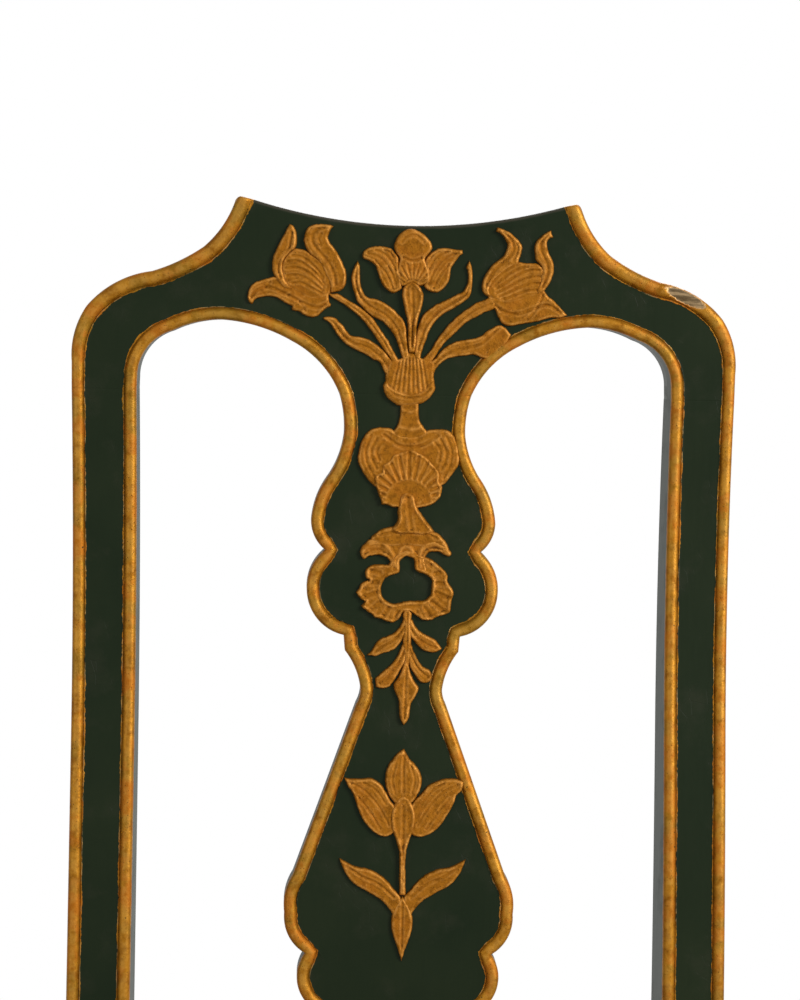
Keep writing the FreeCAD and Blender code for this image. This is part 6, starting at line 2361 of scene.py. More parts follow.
@dataclass
class CabrioleLeg:
    """A front leg in one skin: the block, the knee, the shin and the pad foot.

    Attributes:
        stations: the leg's levels, from the block down.
        foot: the pad foot's levels, as height and radius.
        foot_reach: how far in from the block's outer corner the foot's middle lies.
        corner_points: points round each rounded corner.
        spacing: the distance between sections.
        corner: where the block's outer front corner lies.
    """

    stations: tuple[LegStation, ...] = (
        LegStation(363, 0, 46, 0.06), LegStation(348, 7.5, 46, 0.14), LegStation(326, 13.5, 45.8, 0.26),
        LegStation(298, 12, 43, 0.42), LegStation(260, 4, 38.5, 0.56), LegStation(214, -6, 39.5, 0.66),
        LegStation(165, -12.5, 42, 0.76), LegStation(115, -14.5, 42, 0.86),
        LegStation(74, -10.5, 36.5, 0.92), LegStation(42, -4, 39, 0.95), LegStation(22, 3.2, 46, 0.97))
    foot: tuple[tuple[float, float], ...] = (
        (19.0, 28.2), (16.5, 30.8), (13, 32), (10, 31), (8, 28.8), (6.4, 26.2), (5.6, 25.1),
        (3.0, 25.0), (0.8, 24.7), (0.0, 24.0))
    foot_reach: float = 22.0
    corner_points: int = 9
    spacing: float = 5.0
    corner: Point = (260.0, -248.0)

    def __post_init__(self) -> None:
        """Take what the frame gives."""
        self.block = self.stations[0].deep
        self.top = float(node_high("front_leg_right")[2])
        self.rebate = float(node_low("slip_frame_front")[2]) - 0.3

    def levels(self) -> list[LegStation]:
        """All the leg's levels, on a fair curve through the stations, then the foot's.

        Returns:
            The levels, from the top down.
        """
        rows = np.array([(s.height, s.stand, s.deep, s.roundness) for s in self.stations])
        count = len(rows)
        result = []
        for i in range(count - 1):
            before, here = rows[max(i - 1, 0)], rows[i]
            after, beyond = rows[i + 1], rows[min(i + 2, count - 1)]
            steps = max(1, round((here[0] - after[0]) / self.spacing))
            for k in range(steps):
                t = k / steps
                curve = 0.5 * (2 * here + (after - before) * t
                               + (2 * before - 5 * here + 4 * after - beyond) * t * t
                               + (3 * here - before - 3 * after + beyond) * t ** 3)
                curve[0] = here[0] + (after[0] - here[0]) * t
                result.append(LegStation(*map(float, curve)))
        result.append(self.stations[-1])
        return result + [LegStation(height, radius - self.foot_reach, radius + self.foot_reach, 0.97)
                         for height, radius in self.foot]

    def section(self, station: LegStation, split: tuple[float, float]) -> np.ndarray:
        """The outline of the right leg at one level, seen from above.

        Args:
            station: the level.
            split: where an extra point goes on the two inner sides, from -1 to 1 over their flats.

        Returns:
            Its points, anticlockwise from the rear inner corner's far side.
        """
        half = (station.stand + station.deep) / 2
        middle = np.array([self.corner[0] + station.stand - half, self.corner[1] - station.stand + half])
        radius = half * min(max(station.roundness, 0.03), 0.97)
        points = []
        for corner in range(4):
            start = math.pi / 2 * corner
            sign = np.array([1 if corner in (0, 3) else -1, 1 if corner < 2 else -1])
            centre = middle + sign * (half - radius)
            for k in range(self.corner_points):
                angle = start + math.pi / 2 * k / (self.corner_points - 1)
                points.append(centre + radius * np.array([math.cos(angle), math.sin(angle)]))
            if corner == 0:
                points.append(middle + ((half - radius) * split[0], half))
            if corner == 1:
                points.append(middle + (-half, (half - radius) * split[1]))
        return np.array(points)

    def build(self, side: int, material: Material) -> Object:
        """Make one leg.

        Args:
            side: 1 for the right, -1 for the left.
            material: its finish.
        """
        rear = self.corner[1] + self.block
        lip = SeatPlan()
        flat = 1 - self.stations[0].roundness
        split = ((2 * (lip.half(rear) - (self.corner[0] - self.block)) / self.block - 1) / flat,
                 (1 - 2 * (rear - lip.front) / self.block) / flat)
        sheet = Sheet()
        rings = []
        head = LegStation(self.rebate, 0, self.block, self.stations[0].roundness)
        for station in [head] + self.levels():
            outline = self.section(station, split) * (side, 1)
            rings.append(sheet.ring(np.column_stack([outline, np.full(len(outline), station.height)])))
        sheet.wrap(rings)
        sheet.faces.append(tuple(rings[-1]))
        self.add_lips(sheet, rings[0], side, lip)
        hand = "right" if side > 0 else "left"
        piece = sheet.build("cabriole_leg_" + hand, material, 35)
        turn_outward(piece)
        return place(piece, FRAME_BODY, "green_japan", "front_leg_" + hand)

    def add_lips(self, sheet: Sheet, ring: list[int], side: int, lip: "SeatPlan") -> None:
        """Close the block's top with the step for the seat and the two lips round it.

        Args:
            sheet: what they are added to.
            ring: the points round the block at that level.
            side: 1 for the right leg, -1 for the left.
            lip: the step in the rails.
        """
        first = self.corner_points
        second = 2 * self.corner_points + 1
        inner = ring[first:second + 1]
        outer = ring[second:] + ring[:first + 1]
        corner = (side * lip.half(lip.front), lip.front)
        places = np.array([sheet.vertices[i] for i in outer] + [(*corner, self.rebate)])
        base = sheet.add(places[-1:], [])
        raised = places.copy()
        raised[:, 2] = self.top
        above = sheet.add(raised, [])
        count = len(outer)
        sheet.faces.append(tuple(inner + [base]))
        for i in range(count - 1):
            sheet.faces.append((outer[i], outer[i + 1], above + i + 1, above + i))
        sheet.faces.append((outer[-1], base, above + count, above + count - 1))
        sheet.faces.append((base, outer[0], above, above + count))
        sheet.faces.append(tuple(range(above, above + count + 1)))


# The seat

@dataclass
class SeatPlan:
    """The step in the rails that the slip seat drops into, seen from above.

    Attributes:
        gap: the play round the seat.
        side: how many times that play there is at its sides.
        member: how wide the slip frame's members are.
    """

    gap: float = 1.5
    side: float = 1.2
    member: float = 50.0

    def __post_init__(self) -> None:
        """Take what the frame gives."""
        low, high = node_low("seat_cover"), node_high("seat_cover")
        self.front = float(low[1]) - self.gap
        self.rear = float(high[1]) + self.gap
        self.front_half = float(high[0]) + self.gap * self.side
        slope = float(node_high("slip_frame_front")[0] - node_high("slip_frame_rear")[0])
        depth = float(node_high("slip_frame_rear")[1] - self.member - node_low("slip_frame_front")[1])
        self.slope = slope / depth

    def half(self, depth: float) -> float:
        """Half the width of the step at a place from front to rear."""
        return self.front_half - (depth - self.front) * self.slope


@dataclass
class Cushion:
    """The crowned, covered pad of the slip seat, settled as cloth over its stuffing.

    Attributes:
        dome: the pad's rounding, as how far in and how high above its shoulder.
        corner: the radius of the pad's corners seen from above.
        corner_points: points round each of them.
        grid: the size of the cloth's mesh.
        pressure: how hard the stuffing pushes.
        frames: how long the cloth settles.
        limit: how far any point of the cloth may travel.
        cloth: the covering's thickness.
        stiffness: how little it stretches or shrinks.
    """

    dome: tuple[tuple[float, float], ...] = (
        (0.3, 0.0), (0.8, 3.5), (3.0, 8.5), (8.0, 14.0), (20.0, 20.5), (45.0, 27.0), (85.0, 31.0),
        (130.0, 32.8), (165.0, 34.0))
    corner: float = 9.0
    corner_points: int = 9
    grid: float = 5.0
    pressure: float = 4.0
    frames: int = 20
    limit: float = 5.0
    cloth: float = 1.2
    stiffness: float = 40.0

    def outline(self, plan: SeatPlan, inset: float) -> np.ndarray:
        """The pad seen from above, with round corners.

        Args:
            plan: the step that the pad drops into.
            inset: how far in from the pad's edge.

        Returns:
            The outline, anticlockwise.
        """
        front, rear = plan.front + plan.gap + inset, plan.rear - plan.gap - inset
        corners = [(plan.half(front) - plan.gap - inset, front), (plan.half(rear) - plan.gap - inset, rear)]
        corners += [(-x, y) for x, y in reversed(corners)]
        points = []
        for index, corner in enumerate(corners):
            here = np.array(corner)
            before = np.array(corners[index - 1])
            after = np.array(corners[(index + 1) % 4])
            radius = max(self.corner - inset * 0.2, 3.0)
            start = here + (before - here) / np.linalg.norm(before - here) * radius
            end = here + (after - here) / np.linalg.norm(after - here) * radius
            for t in np.linspace(0, 1, self.corner_points):
                points.append((1 - t) ** 2 * start + 2 * t * (1 - t) * here + t * t * end)
        return np.array(points)

    def form(self, plan: SeatPlan, foot: float, shoulder: float,
             material: Material) -> Object:
        """The pad before it settles.

        Args:
            plan: the step that the pad drops into.
            foot: the height of its underside.
            shoulder: the height at which its sides begin to round over.
            material: its covering.

        Returns:
            The pad.
        """
        rows = [(self.dome[0][0], foot)] + [(inset, shoulder + rise) for inset, rise in self.dome]
        sheet = Sheet()
        rings = []
        for inset, level in rows:
            ring = self.outline(plan, inset)
            rings.append(sheet.ring(np.column_stack([ring, np.full(len(ring), level)])))
        sheet.wrap(rings)
        sheet.faces += [tuple(rings[0][::-1]), tuple(rings[-1])]
        return sheet.build("covered_cushion", material, 60)

    def settle(self, piece: Object, shoulder: float) -> None:
        """Let the covering take up the stuffing's push, held fast along the frame's edges.

        Args:
            piece: the pad.
            shoulder: the height below which it is held.
        """
        remesh = piece.modifiers.new("even", "REMESH")
        remesh.mode = "VOXEL"
        remesh.voxel_size = self.grid * MM
        self.apply(piece)
        held = piece.vertex_groups.new(name="held")
        start = np.array([v.co for v in piece.data.vertices])
        low = np.flatnonzero(start[:, 2] < (shoulder + 2.0) * MM)
        held.add(low.tolist(), 1.0, "REPLACE")
        cloth = piece.modifiers.new("settle", "CLOTH")
        cloth.settings.use_pressure = True
        cloth.settings.uniform_pressure_force = self.pressure
        cloth.settings.effector_weights.gravity = 0.0
        cloth.settings.vertex_group_mass = "held"
        cloth.settings.tension_stiffness = self.stiffness
        cloth.settings.compression_stiffness = self.stiffness
        cloth.point_cache.frame_start = 1
        cloth.point_cache.frame_end = self.frames
        for number in range(1, self.frames + 1):
            bpy.context.scene.frame_set(number)
        self.apply(piece)
        bpy.context.scene.frame_set(1)
        settled = np.array([v.co for v in piece.data.vertices])
        travel = settled - start
        length = np.maximum(np.linalg.norm(travel, axis=1, keepdims=True), 1e-9)
        settled = start + travel * np.minimum(1, self.limit * MM / length)
        for vertex, position in zip(piece.data.vertices, settled):
            vertex.co = position

    def apply(self, piece: Object) -> None:
        """Turn the modifiers into plain mesh.

        Args:
            piece: the pad.
        """
        graph = bpy.context.evaluated_depsgraph_get()
        mesh = bpy.data.meshes.new_from_object(piece.evaluated_get(graph), depsgraph=graph)
        piece.modifiers.clear()
        piece.data = mesh

    def open_underside(self, piece: Object, foot: float) -> None:
        """Cut away the pad's underside, and give the covering its thickness.

        Args:
            piece: the pad.
            foot: the height of its open edge.
        """
        shape = bmesh.new()
        shape.from_mesh(piece.data)
        bmesh.ops.smooth_vert(shape, verts=[v for v in shape.verts if v.co.z > (foot + 26) * MM],
                              factor=0.5, use_axis_x=True, use_axis_y=True, use_axis_z=True)
        bmesh.ops.bisect_plane(shape, geom=shape.verts[:] + shape.edges[:] + shape.faces[:],
                               plane_co=(0, 0, (foot + 0.6) * MM), plane_no=(0, 0, -1),
                               clear_outer=True)
        for vertex in shape.verts:
            if vertex.is_boundary:
                vertex.co.z = (foot + 0.05) * MM
        bmesh.ops.recalc_face_normals(shape, faces=shape.faces)
        up = sum(face.normal.z * face.calc_area() for face in shape.faces)
        if up < 0:
            bmesh.ops.reverse_faces(shape, faces=shape.faces)
        bmesh.ops.solidify(shape, geom=shape.faces[:], thickness=self.cloth * MM)
        shape.to_mesh(piece.data)
        shape.free()
        piece.data.shade_smooth()

    def unfold(self, piece: Object, plan: SeatPlan, shoulder: float) -> None:
        """Store where each point lies on the cloth before it was folded down the sides.

        Args:
            piece: the pad.
            plan: the step that it drops into.
            shoulder: the height at which the cloth turns down.
        """
        places = []
        for vertex in piece.data.vertices:
            x, y, z = (c / MM for c in vertex.co)
            fold = max(0.0, shoulder + 8 - z)
            to_side = plan.half(y) - abs(x)
            to_front, to_rear = y - plan.front, plan.rear - y
            nearest = min(to_side, to_front, to_rear)
            if nearest == to_side:
                x += math.copysign(fold, x)
            else:
                y += -fold if nearest == to_front else fold
            places.append((x * MM, y * MM, 0.0))
        lay_cloth(piece.data, np.array(places))

    def build(self, material: Material) -> Object:
        """Make the covered pad that stands for the CAD's cover and stuffing.

        Args:
            material: its covering.

        Returns:
            The piece.
        """
        plan = SeatPlan()
        foot = float(node_low("seat_cover")[2])
        shoulder = float(node_high("slip_frame_front")[2])
        piece = self.form(plan, foot - 4.0, shoulder + 2.5, material)
        self.settle(piece, shoulder + 2.5)
        self.open_underside(piece, foot)
        self.unfold(piece, plan, shoulder)
        piece.data.materials.clear()
        piece.data.materials.append(material)
        place(piece, SEAT_BODY, "woven_cover", "seat_cover", "seat_stuffing")
        return piece


@dataclass
class Upholstery:
    """What lies under the cushion: the woven webs, the canvas over them and the turned-in hem.

    Attributes:
        web_width: the width of a web.
        web_thick: its thickness.
        across_pitch: the distance between the webs that run from front to rear.
        along_pitch: the distance between those that run from side to side.
        lap: how far a web laps onto the frame.
        landing: how much of its end lies flat before it rises.
        turned: how much of a web's end is folded back on itself.
        canvas_thick: the canvas's thickness.
        hem_width: how far the cover is turned in under the frame.
    """

    web_width: float = 50.0
    web_thick: float = 0.85
    across_pitch: float = 96.0
    along_pitch: float = 84.0
    lap: float = 22.0
    landing: float = 26.0
    turned: float = 17.0
    canvas_thick: float = 0.55
    hem_width: float = 26.0

    def __post_init__(self) -> None:
        """Take what the frame gives."""
        self.plan = SeatPlan()
        self.low, self.high = node_low("seat_webbing"), node_high("seat_webbing")
        self.front, self.rear = node_low("slip_frame_front")[1], node_high("slip_frame_rear")[1]
        self.middle = (self.front + self.rear) / 2

    def web_line(self, length: float, crossings: list[float], over: int) -> np.ndarray:
        """A web's middle line from end to end, as the way along it and its height.

        Args:
            length: from the frame's one edge to the other.
            crossings: how far along it the other webs cross.
            over: 1 where it passes over the first of them, -1 where it passes under.

        Returns:
            The points, with both ends folded back on top.
        """
        level = (self.low[2] + self.high[2]) / 2
        rise = self.web_thick / 2 + 0.03
        foot = self.low[2] + self.web_thick / 2 + 0.02
        places = np.arange(0.0, length + 0.1, length / round(length / 6.0))
        knots = [0.0, self.landing] + crossings + [length - self.landing, length]
        heights = [level + rise * over * (-1) ** k for k in range(len(crossings))]
        heights = [foot, foot] + heights + [foot, foot]
        line = []
        for place_at in places:
            index = int(np.clip(np.searchsorted(knots, place_at) - 1, 0, len(knots) - 2))
            share = (place_at - knots[index]) / (knots[index + 1] - knots[index])
            ease = share * share * (3 - 2 * share)
            line.append((place_at, heights[index] * (1 - ease) + heights[index + 1] * ease))
        back = self.web_thick + 0.05
        fold = [(-0.35, foot + 0.1), (-0.5, foot + back / 2), (-0.35, foot + back - 0.1), (0.0, foot + back),
                (self.turned, foot + back)]
        tail = [(length - place_at, height) for place_at, height in fold]
        return np.array(fold[::-1] + line + tail)

    def webbing(self, material: Material) -> Object:
        """Weave the webs through each other.

        Args:
            material: its finish.

        Returns:
            The piece.
        """
        sheet = Sheet()
        cloth = []
        reach = self.plan.member - self.lap
        for way in range(2):
            for number in (-1, 0, 1):
                if way == 0:
                    side = number * self.across_pitch
                    start, length = self.front + reach, self.rear - self.front - 2 * reach
                    crossings = [self.middle + k * self.along_pitch - start for k in (-1, 0, 1)]
                else:
                    side = self.middle + number * self.along_pitch
                    half = self.plan.half(side) - (self.plan.half(self.front) - self.high_half())
                    start, length = -half, 2 * half
                    crossings = [k * self.across_pitch + half for k in (-1, 0, 1)]
                over = 1 if (number + way) % 2 == 0 else -1
                line = self.web_line(length, crossings, over)
                cloth += self.add_web(sheet, line, start, side, way)
        piece = sheet.build("woven_webbing", material, 40)
        lay_cloth(piece.data, np.array(cloth))
        turn_outward(piece)
        return place(piece, SEAT_BODY, "jute_webbing", "seat_webbing")

    def high_half(self) -> float:
        """Half the width between the ends of the web nearest the front edge, were it there."""
        front_web = self.middle - self.along_pitch
        return float(self.high[0]) + (front_web - self.front) * self.plan.slope

    def add_web(self, sheet: Sheet, line: np.ndarray, start: float, side: float, way: int) -> list[Point]:
        """Add one web, and give where its points lie on the cloth.

        Args:
            sheet: what it is added to.
            line: its middle line.
            start: where that line begins.
            side: how far from the middle of the seat it runs.
            way: 0 for front to rear, 1 for side to side.

        Returns:
            Where each of its points lies.
        """
        before, after = np.vstack([line[:1], line[:-1]]), np.vstack([line[1:], line[-1:]])
        along = (after - before) / np.linalg.norm(after - before, axis=1, keepdims=True)
        through = np.stack([-along[:, 1], along[:, 0]], axis=1) * self.web_thick / 2
        across = np.linspace(-0.5, 0.5, 5) * self.web_width
        travelled = np.concatenate([[0], np.cumsum(np.linalg.norm(np.diff(line, axis=0), axis=1))])

        def spread(flat: np.ndarray) -> np.ndarray:
            """One face of the web, as rows across it, from its line."""
            grid = np.zeros((len(flat), len(across), 3))
            grid[..., 1 - way] = flat[:, None, 0] + start
            grid[..., way] = side + across[None]
            grid[..., 2] = flat[:, None, 1]
            return grid

        near, far = spread(line - through), spread(line + through)
        shell(sheet, near, far - near)
        lies = [(distance * MM, off * MM, 0.0) for distance in travelled for off in across]
        return lies + lies

    def canvas(self, material: Material) -> Object:
        """Stretch the canvas over the webs.

        Args:
            material: its finish.

        Returns:
            The piece.
        """
        low, high = node_low("seat_canvas"), node_high("seat_canvas")
        depths = np.linspace(low[1], high[1], 40)
        shares = np.linspace(-1, 1, 50)
        halves = high[0] - (depths - low[1]) * self.plan.slope
        grid = np.zeros((len(depths), len(shares), 3))
        grid[..., 0] = shares[None] * halves[:, None]
        grid[..., 1] = depths[:, None]
        for row in grid:
            for spot in row:
                edge = 1.0 - 0.004 * (1 + noise.noise(Vector((spot[0] / 9, spot[1] / 9, 2.0))))
                spot[:2] = spot[:2] * edge + (0, self.middle * (1 - edge))
                webs = math.cos(math.pi * spot[0] / self.across_pitch) ** 2
                webs += math.cos(math.pi * (spot[1] - self.middle) / self.along_pitch) ** 2
                spot[2] = low[2] + 0.04 + 0.12 * webs + 0.06 * noise.noise(Vector(spot) / 22)
        sheet = Sheet()
        shell(sheet, grid, np.full_like(grid, 0.0) + (0, 0, self.canvas_thick))
        piece = sheet.build("stretched_canvas", material, 40)
        turn_outward(piece)
        place(piece, SEAT_BODY, "linen_canvas", "seat_canvas")
        return piece

    def hem(self, material: Material) -> Object:
        """Turn the cover's edge in under the frame, where the tacks hold it.

        Args:
            material: its finish.

        Returns:
            The piece.
        """
        top = float(node_low("slip_frame_front")[2]) - 0.05
        cushion = Cushion()
        columns = [cushion.outline(self.plan, inset) for inset in np.linspace(0.4, self.hem_width, 6)]
        grid = np.stack([np.column_stack([column, np.full(len(column), top)]) for column in columns], axis=1)
        sheet = Sheet()
        shell(sheet, grid, np.full_like(grid, 0.0) - (0, 0, 0.2), closed=True)
        piece = sheet.build("cover_hem", material, 40)
        lay_cloth(piece.data, np.array(sheet.vertices) * (MM, MM, 0))
        turn_outward(piece)
        place(piece, SEAT_BODY, "woven_cover")
        return piece

    def build(self, jute: Material, linen: Material, cover: Material) -> None:
        """Make all three.

        Args:
            jute: the webs' finish.
            linen: the canvas's.
            cover: the hem's.
        """
        self.webbing(jute)
        self.canvas(linen)
        self.hem(cover)


# Small fastenings

@dataclass(frozen=True)
class Fastening:
    """A driven peg or tack, given by its radius at four depths from its outer end.

    Attributes:
        crown: its radius at the outer end.
        head: its radius at the foot of its head.
        head_depth: how far in that is.
        shank: its radius behind the head.
        tip: its radius at the inner end.
        length: from end to end.
        sides: how many flats it is left with.
        uneven: how much smaller than drawn the smallest may be.
        seed: where its random turns and sizes start.
    """

    crown: float
    head: float
    head_depth: float
    shank: float
    tip: float
    length: float
    sides: int
    uneven: float
    seed: int

    def tree(self) -> NodeTree:
        """The nodes that put one at each given place, turned to face the way it is driven.

        Returns:
            The nodes.
        """
        nodes = bpy.data.node_groups.new("driven_fastenings", "GeometryNodeTree")
        nodes.interface.new_socket("Places", in_out="INPUT", socket_type="NodeSocketGeometry")
        kinds = dict.fromkeys(("Crown", "Head", "Head Depth", "Shank", "Tip", "Length", "Uneven"), "Float")
        for label, kind in (kinds | {"Sides": "Int", "Seed": "Int"}).items():
            nodes.interface.new_socket(label, in_out="INPUT", socket_type="NodeSocket" + kind)
        nodes.interface.new_socket("Finish", in_out="INPUT", socket_type="NodeSocketMaterial")
        nodes.interface.new_socket("Fastenings", in_out="OUTPUT", socket_type="NodeSocketGeometry")
        tree = Tree(nodes)
        given = nodes.nodes.new("NodeGroupInput").outputs
        result = nodes.nodes.new("NodeGroupOutput")

        def geometry(kind: str, values: dict[str | int, Value], **settings: object) -> Node:
            """Add a node that works on geometry."""
            return tree.node(kind, values, family="Geometry", **settings)

        index = geometry("InputIndex", {}).outputs[0]
        line = geometry("CurvePrimitiveLine", {}).outputs[0]
        stations = geometry("ResampleCurve", {"Curve": line, "Count": 4}).outputs[0]
        behind = tree.times(given["Head Depth"], 1.1)
        depth = self.by_index(tree, index, (0.0, given["Head Depth"], behind, given["Length"]))
        radius = self.by_index(tree, index, (given["Crown"], given["Head"], given["Shank"], given["Tip"]))
        placed = tree.node("CombineXYZ", {2: depth}).outputs[0]
        spine = geometry("SetPosition", {"Geometry": stations, "Position": placed}).outputs[0]
        ring = geometry("CurvePrimitiveCircle", {"Resolution": given["Sides"], "Radius": 1.0}).outputs[0]
        one = geometry("CurveToMesh", {"Curve": spine, "Profile Curve": ring, "Scale": radius,
                                       "Fill Caps": True}).outputs[0]
        aim = geometry("InputNamedAttribute", {"Name": "aim"}, data_type="FLOAT_VECTOR").outputs[0]
        faced = tree.node("AlignRotationToVector", {"Vector": aim}, family="Function", axis="Z").outputs[0]
        spin = self.random(tree, 0.0, math.tau, given["Seed"])
        turn = tree.node("AxisAngleToRotation", {"Axis": (0, 0, 1), "Angle": spin}, family="Function")
        turned = tree.node("RotateRotation", {0: faced, 1: turn.outputs[0]}, family="Function",
                           rotation_space="LOCAL").outputs[0]
        size = self.random(tree, tree.minus(1.0, given["Uneven"]), 1.0, given["Seed"])
        many = geometry("InstanceOnPoints", {"Points": given["Places"], "Instance": one, "Rotation": turned,
                                             "Scale": size}).outputs[0]
        real = geometry("RealizeInstances", {"Geometry": many}).outputs[0]
        dressed = geometry("SetMaterial", {"Geometry": real, "Material": given["Finish"]}).outputs[0]
        nodes.links.new(dressed, result.inputs["Fastenings"])
        return nodes

    def random(self, tree: Tree, low: Value, high: Value, seed: Value) -> NodeSocket:
        """A random number for each fastening."""
        return tree.node("RandomValue", {2: low, 3: high, "Seed": seed}, family="Function").outputs[1]

    def by_index(self, tree: Tree, index: Value, choices: tuple[Value, ...]) -> NodeSocket:
        """One of several values, picked by a point's number.

        Args:
            tree: the nodes.
            index: the number.
            choices: the values.

        Returns:
            The picked value.
        """
        switch = tree.node("IndexSwitch", {"Index": index}, family="Geometry", data_type="FLOAT")
        while len(switch.index_switch_items) < len(choices):
            switch.index_switch_items.new()
        for socket, choice in zip(switch.inputs[1:], choices):
            tree.plug(choice, socket)
        return switch.outputs[0]

    def drive(self, name: str, places: np.ndarray, aims: np.ndarray,
              material: Material) -> Object:
        """Set one at every place.

        Args:
            name: the piece's name.
            places: the middles of their outer ends, in millimetres.
            aims: which way each is driven.
            material: their finish.

        Returns:
            All of them as one plain mesh.
        """
        mesh = bpy.data.meshes.new(name)
        mesh.from_pydata([tuple(spot * MM) for spot in places], [], [])
        layer = mesh.attributes.new("aim", "FLOAT_VECTOR", "POINT")
        layer.data.foreach_set("vector", aims.astype(float).ravel())
        piece = bpy.data.objects.new(name, mesh)
        bpy.context.scene.collection.objects.link(piece)
        modifier = piece.modifiers.new("driven", "NODES")
        nodes = self.tree()
        modifier.node_group = nodes
        values = {"Crown": self.crown, "Head": self.head, "Head Depth": self.head_depth, "Shank": self.shank,
                  "Tip": self.tip, "Length": self.length}
        values = {label: value * MM for label, value in values.items()}
        values |= {"Uneven": self.uneven, "Sides": self.sides, "Seed": self.seed, "Finish": material}
        for item in nodes.interface.items_tree:
            if item.in_out == "INPUT" and item.name in values:
                modifier[item.identifier] = values[item.name]
        graph = bpy.context.evaluated_depsgraph_get()
        made = bpy.data.meshes.new_from_object(piece.evaluated_get(graph), depsgraph=graph)
        piece.modifiers.clear()
        piece.data = made
        turn_outward(piece)
        return piece


@dataclass
class Fastenings:
    """The pegs through the seat's joints, and the tacks under its frame.

    Attributes:
        proud: how far a peg's end stands out of the face.
        peg: a riven and whittled peg.
        tack: a hammered tack.
    """

    proud: float = 0.35
    peg: Fastening = Fastening(2.9, 3.42, 0.5, 3.42, 3.1, 20.0, 9, 0.02, 11)
    tack: Fastening = Fastening(1.1, 4.9, 0.75, 0.9, 0.3, 9.0, 8, 0.08, 5)

    def pegs(self, material: Material) -> Object:
        """Drive the pegs, end out where the frame's own pegs show.

        Args:
            material: their finish.

        Returns:
            The piece.
        """
        places, aims = [], []
        for low, high in islands("joint_pegs"):
            middle = (low + high) / 2
            axis = int(np.argmax(high - low))
            out = -1.0 if axis == 1 or middle[0] < 0 else 1.0
            middle[axis] = (high if out > 0 else low)[axis] + out * self.proud
            aim = np.zeros(3)
            aim[axis] = -out
            places.append(middle)
            aims.append(aim)
        piece = self.peg.drive("driven_pegs", np.array(places), np.array(aims), material)
        return place(piece, FRAME_BODY, "green_japan", "joint_pegs")

    def tacks(self, material: Material) -> Object:
        """Drive the tacks up through the hem.

        Args:
            material: their finish.

        Returns:
            The piece.
        """
        places = np.array([(*((low + high) / 2)[:2], low[2]) for low, high in islands("upholstery_tacks")])
        aims = np.tile((0.0, 0.0, 1.0), (len(places), 1))
        piece = self.tack.drive("hammered_tacks", places, aims, material)
        return place(piece, SEAT_BODY, "iron_tack", "upholstery_tacks")


@dataclass
class Joinery:
    """The rails, the shoe, the brackets, the blocks and the slip frame, with their arrises eased.

    Attributes:
        ease: how far an arris is taken off.
        shortest: edges shorter than this are left as they are, as round a peg's hole.
        turn: an arris is an edge that turns by more than this many degrees.
        crisp: edges that turn by more than this stay crisp.
    """

    ease: float = 0.6
    shortest: float = 1.1
    turn: float = 35.0
    crisp: float = 16.0

    def eased(self, node: str, body: str, slot: str, material: Material) -> Object:
        """Ease the arrises of one of the frame's solids, and mark them as worn.

        Args:
            node: the node that it replaces.
            body: the body that carries it.
            slot: its finish's slot.
            material: its finish.

        Returns:
            The eased piece.
        """
        shape = bmesh.new()
        shape.from_mesh(bpy.data.objects[node].data)
        # the eased faces are marked as real wear, which the finish rubs to dark bare wood
        worn = shape.faces.layers.float.new("worn")
        bmesh.ops.remove_doubles(shape, verts=shape.verts, dist=1e-5)
        bmesh.ops.dissolve_limit(shape, angle_limit=math.radians(1.0), verts=shape.verts, edges=shape.edges)
        arrises = [edge for edge in shape.edges if edge.is_manifold and edge.is_convex
                   and edge.calc_face_angle() > math.radians(self.turn)
                   and edge.calc_length() > self.shortest * MM]
        made = bmesh.ops.bevel(shape, geom=arrises, offset=self.ease * MM, offset_type="OFFSET", segments=2,
                               profile=0.5, affect="EDGES", clamp_overlap=False)
        for face in made["faces"]:
            face[worn] = 1.0
        mesh = bpy.data.meshes.new("eased_" + node)
        shape.to_mesh(mesh)
        shape.free()
        return place(dressed(mesh.name, mesh, material, self.crisp), body, slot, node)

    def build(self, green: Material, wood: dict[Lie, Material]) -> None:
        """Ease everything that is left of the frame's own solids.

        Args:
            green: the finish of what shows.
            wood: the bare wood's, by its grain.
        """
        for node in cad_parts:
            if node.startswith(("seat_rail", "splat_shoe", "knee_bracket")):
                self.eased(node, FRAME_BODY, "green_japan", green)
            elif node.startswith("corner_block"):
                self.eased(node, FRAME_BODY, "bare_softwood", wood[Lie.ACROSS])
            elif node.startswith("slip_frame"):
                lie = Lie.ACROSS if node.endswith(("front", "rear")) else Lie.DEEP
                self.eased(node, SEAT_BODY, "bare_softwood", wood[lie])


# The view

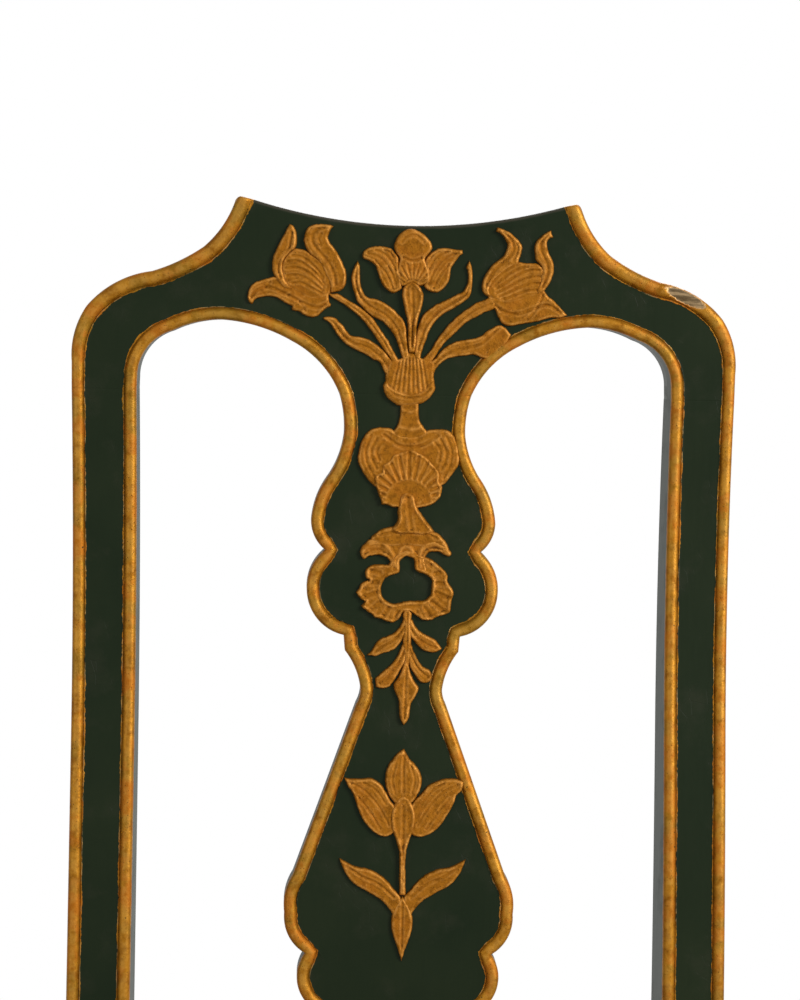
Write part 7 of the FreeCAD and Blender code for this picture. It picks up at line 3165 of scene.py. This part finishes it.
@dataclass(frozen=True)
class Studio:
    """The camera that the photograph was matched to, a white sweep and soft lights.

    Attributes:
        eye: where the camera stands, in millimetres.
        lens: its focal length.
        yaw: how far it turns towards the chair's left, in degrees.
        pitch: how far it looks down.
        roll: how far it leans.
        reach: the floor's radius.
        rim: how many sides the floor has.
        fill: the strength of the grey that surrounds everything.
    """

    eye: tuple[float, float, float] = (-62.4, -1012.0, 971.0)
    lens: float = 76.97
    yaw: float = 2.79
    pitch: float = 4.59
    roll: float = 1.256
    reach: float = 1380.0
    rim: int = 96
    fill: float = 0.28

    def camera(self) -> None:
        """Set the camera."""
        yaw, pitch, roll = (math.radians(a) for a in (self.yaw, self.pitch, self.roll))
        ahead = Vector((math.sin(yaw) * math.cos(pitch), math.cos(yaw) * math.cos(pitch), -math.sin(pitch)))
        right = Vector((math.cos(yaw), -math.sin(yaw), 0))
        above = right.cross(ahead)
        leaned_right = right * math.cos(roll) + above * math.sin(roll)
        leaned_up = above * math.cos(roll) - right * math.sin(roll)
        data = bpy.data.cameras.new("camera")
        data.lens = self.lens
        data.sensor_width = 36.0
        data.clip_start = 0.02
        data.clip_end = 60.0
        data.dof.use_dof = False
        camera = bpy.data.objects.new("camera", data)
        turn = Matrix((leaned_right, leaned_up, -ahead)).transposed().to_4x4()
        camera.matrix_world = Matrix.Translation(Vector(self.eye) * MM) @ turn
        bpy.context.scene.collection.objects.link(camera)
        bpy.context.scene.camera = camera

    def light(self, name: str, place_at: tuple[float, float, float], aim: tuple[float, float, float],
              size: float, power: float, colour: tuple[float, float, float]) -> None:
        """Add one soft box.

        Args:
            name: the light's name.
            place_at: where it stands, in metres.
            aim: what it points at.
            size: the side of its square.
            power: its strength in watts.
            colour: its tint.
        """
        data = bpy.data.lights.new(name, "AREA")
        data.shape = "SQUARE"
        data.size = size
        data.energy = power
        data.color = colour
        lamp = bpy.data.objects.new(name, data)
        lamp.location = place_at
        lamp.rotation_euler = (Vector(aim) - Vector(place_at)).to_track_quat("-Z", "Y").to_euler()
        bpy.context.scene.collection.objects.link(lamp)

    def floor(self, material: Material) -> None:
        """Lay the pale round floor that the chair stands on.

        Args:
            material: its finish.
        """
        sheet = Sheet()
        turns = [math.tau * k / self.rim for k in range(self.rim)]
        ring = [(self.reach * math.cos(turn), self.reach * math.sin(turn), 0.0) for turn in turns]
        sheet.add(np.array(ring), [list(range(self.rim))])
        floor = sheet.build("studio_floor", material)

    def surround(self) -> None:
        """A world that is white to the camera and a soft grey to everything else."""
        world = bpy.data.worlds.new("studio")
        bpy.context.scene.world = world
        world.use_nodes = True
        world.node_tree.nodes.clear()
        tree = Tree(world.node_tree)
        fill = tree.node("Background", {"Color": (0.97, 0.98, 1.0, 1.0), "Strength": self.fill})
        seen = tree.node("Background", {"Color": Tone.STUDIO_WHITE, "Strength": 1.0})
        path = tree.node("LightPath").outputs
        white = tree.math("MAXIMUM", path["Is Camera Ray"], path["Is Glossy Ray"])
        both = tree.node("MixShader", {0: white, 1: fill.outputs[0], 2: seen.outputs[0]})
        tree.node("OutputWorld", {"Surface": both.outputs[0]})

    def build(self, floor: Material) -> None:
        """Set up the whole view.

        Args:
            floor: the floor's finish.
        """
        bpy.context.scene.view_settings.view_transform = "Standard"
        self.camera()
        self.light("key", (2.3, -1.35, 2.0), (0, 0.2, 0.8), 0.9, 84.0, (1.0, 0.98, 0.95))
        self.light("fill", (-1.9, -1.4, 1.5), (0, 0.2, 0.7), 1.4, 9.0, (0.96, 0.98, 1.0))
        self.light("rear", (0.4, 1.9, 2.2), (0, 0.2, 0.6), 1.2, 25.0, (1.0, 1.0, 1.0))
        self.floor(floor)
        self.surround()


class Finishes:
    """Every finish on the chair, made once."""

    def __init__(self) -> None:
        """Make them all."""
        self.edged = Japanning().material()
        self.green = Japanning("japanned_green_plain", gilt=False).material()
        self.gesso = GiltGesso().material()
        self.wood = {lie: Softwood(lie).material() for lie in Lie}
        self.jute = Woven("jute_webbing", Tone.JUTE, Tone.JUTE_DARK, 420.0, 0.0008, stripe=0.017,
                          flat=False).material()
        self.linen = Woven("linen_canvas", Tone.LINEN, Tone.LINEN_DARK, 900.0, 0.0004).material()
        self.cover = Woven("woven_cover", Tone.SILK_GROUND, Tone.SILK_SHADE, 1300.0, 0.0003,
                           figure=0.026, flat=False).material()
        self.iron = Iron().material()


def main() -> None:
    """Build the chair's looks on the frame."""
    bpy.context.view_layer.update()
    finishes = Finishes()
    back = ChairBack()
    back.build(finishes.edged)
    GessoOrnament(back).build(finishes.gesso)
    leg = CabrioleLeg()
    leg.build(1, finishes.green)
    leg.build(-1, finishes.green)
    Joinery().build(finishes.green, finishes.wood)
    fastenings = Fastenings()
    fastenings.pegs(finishes.green)
    fastenings.tacks(finishes.iron)
    Upholstery().build(finishes.jute, finishes.linen, finishes.cover)
    Cushion().build(finishes.cover)
    studio = Studio()
    studio.build(PaleFloor(studio.reach * MM).material())


if __name__ == "__main__":
    main()
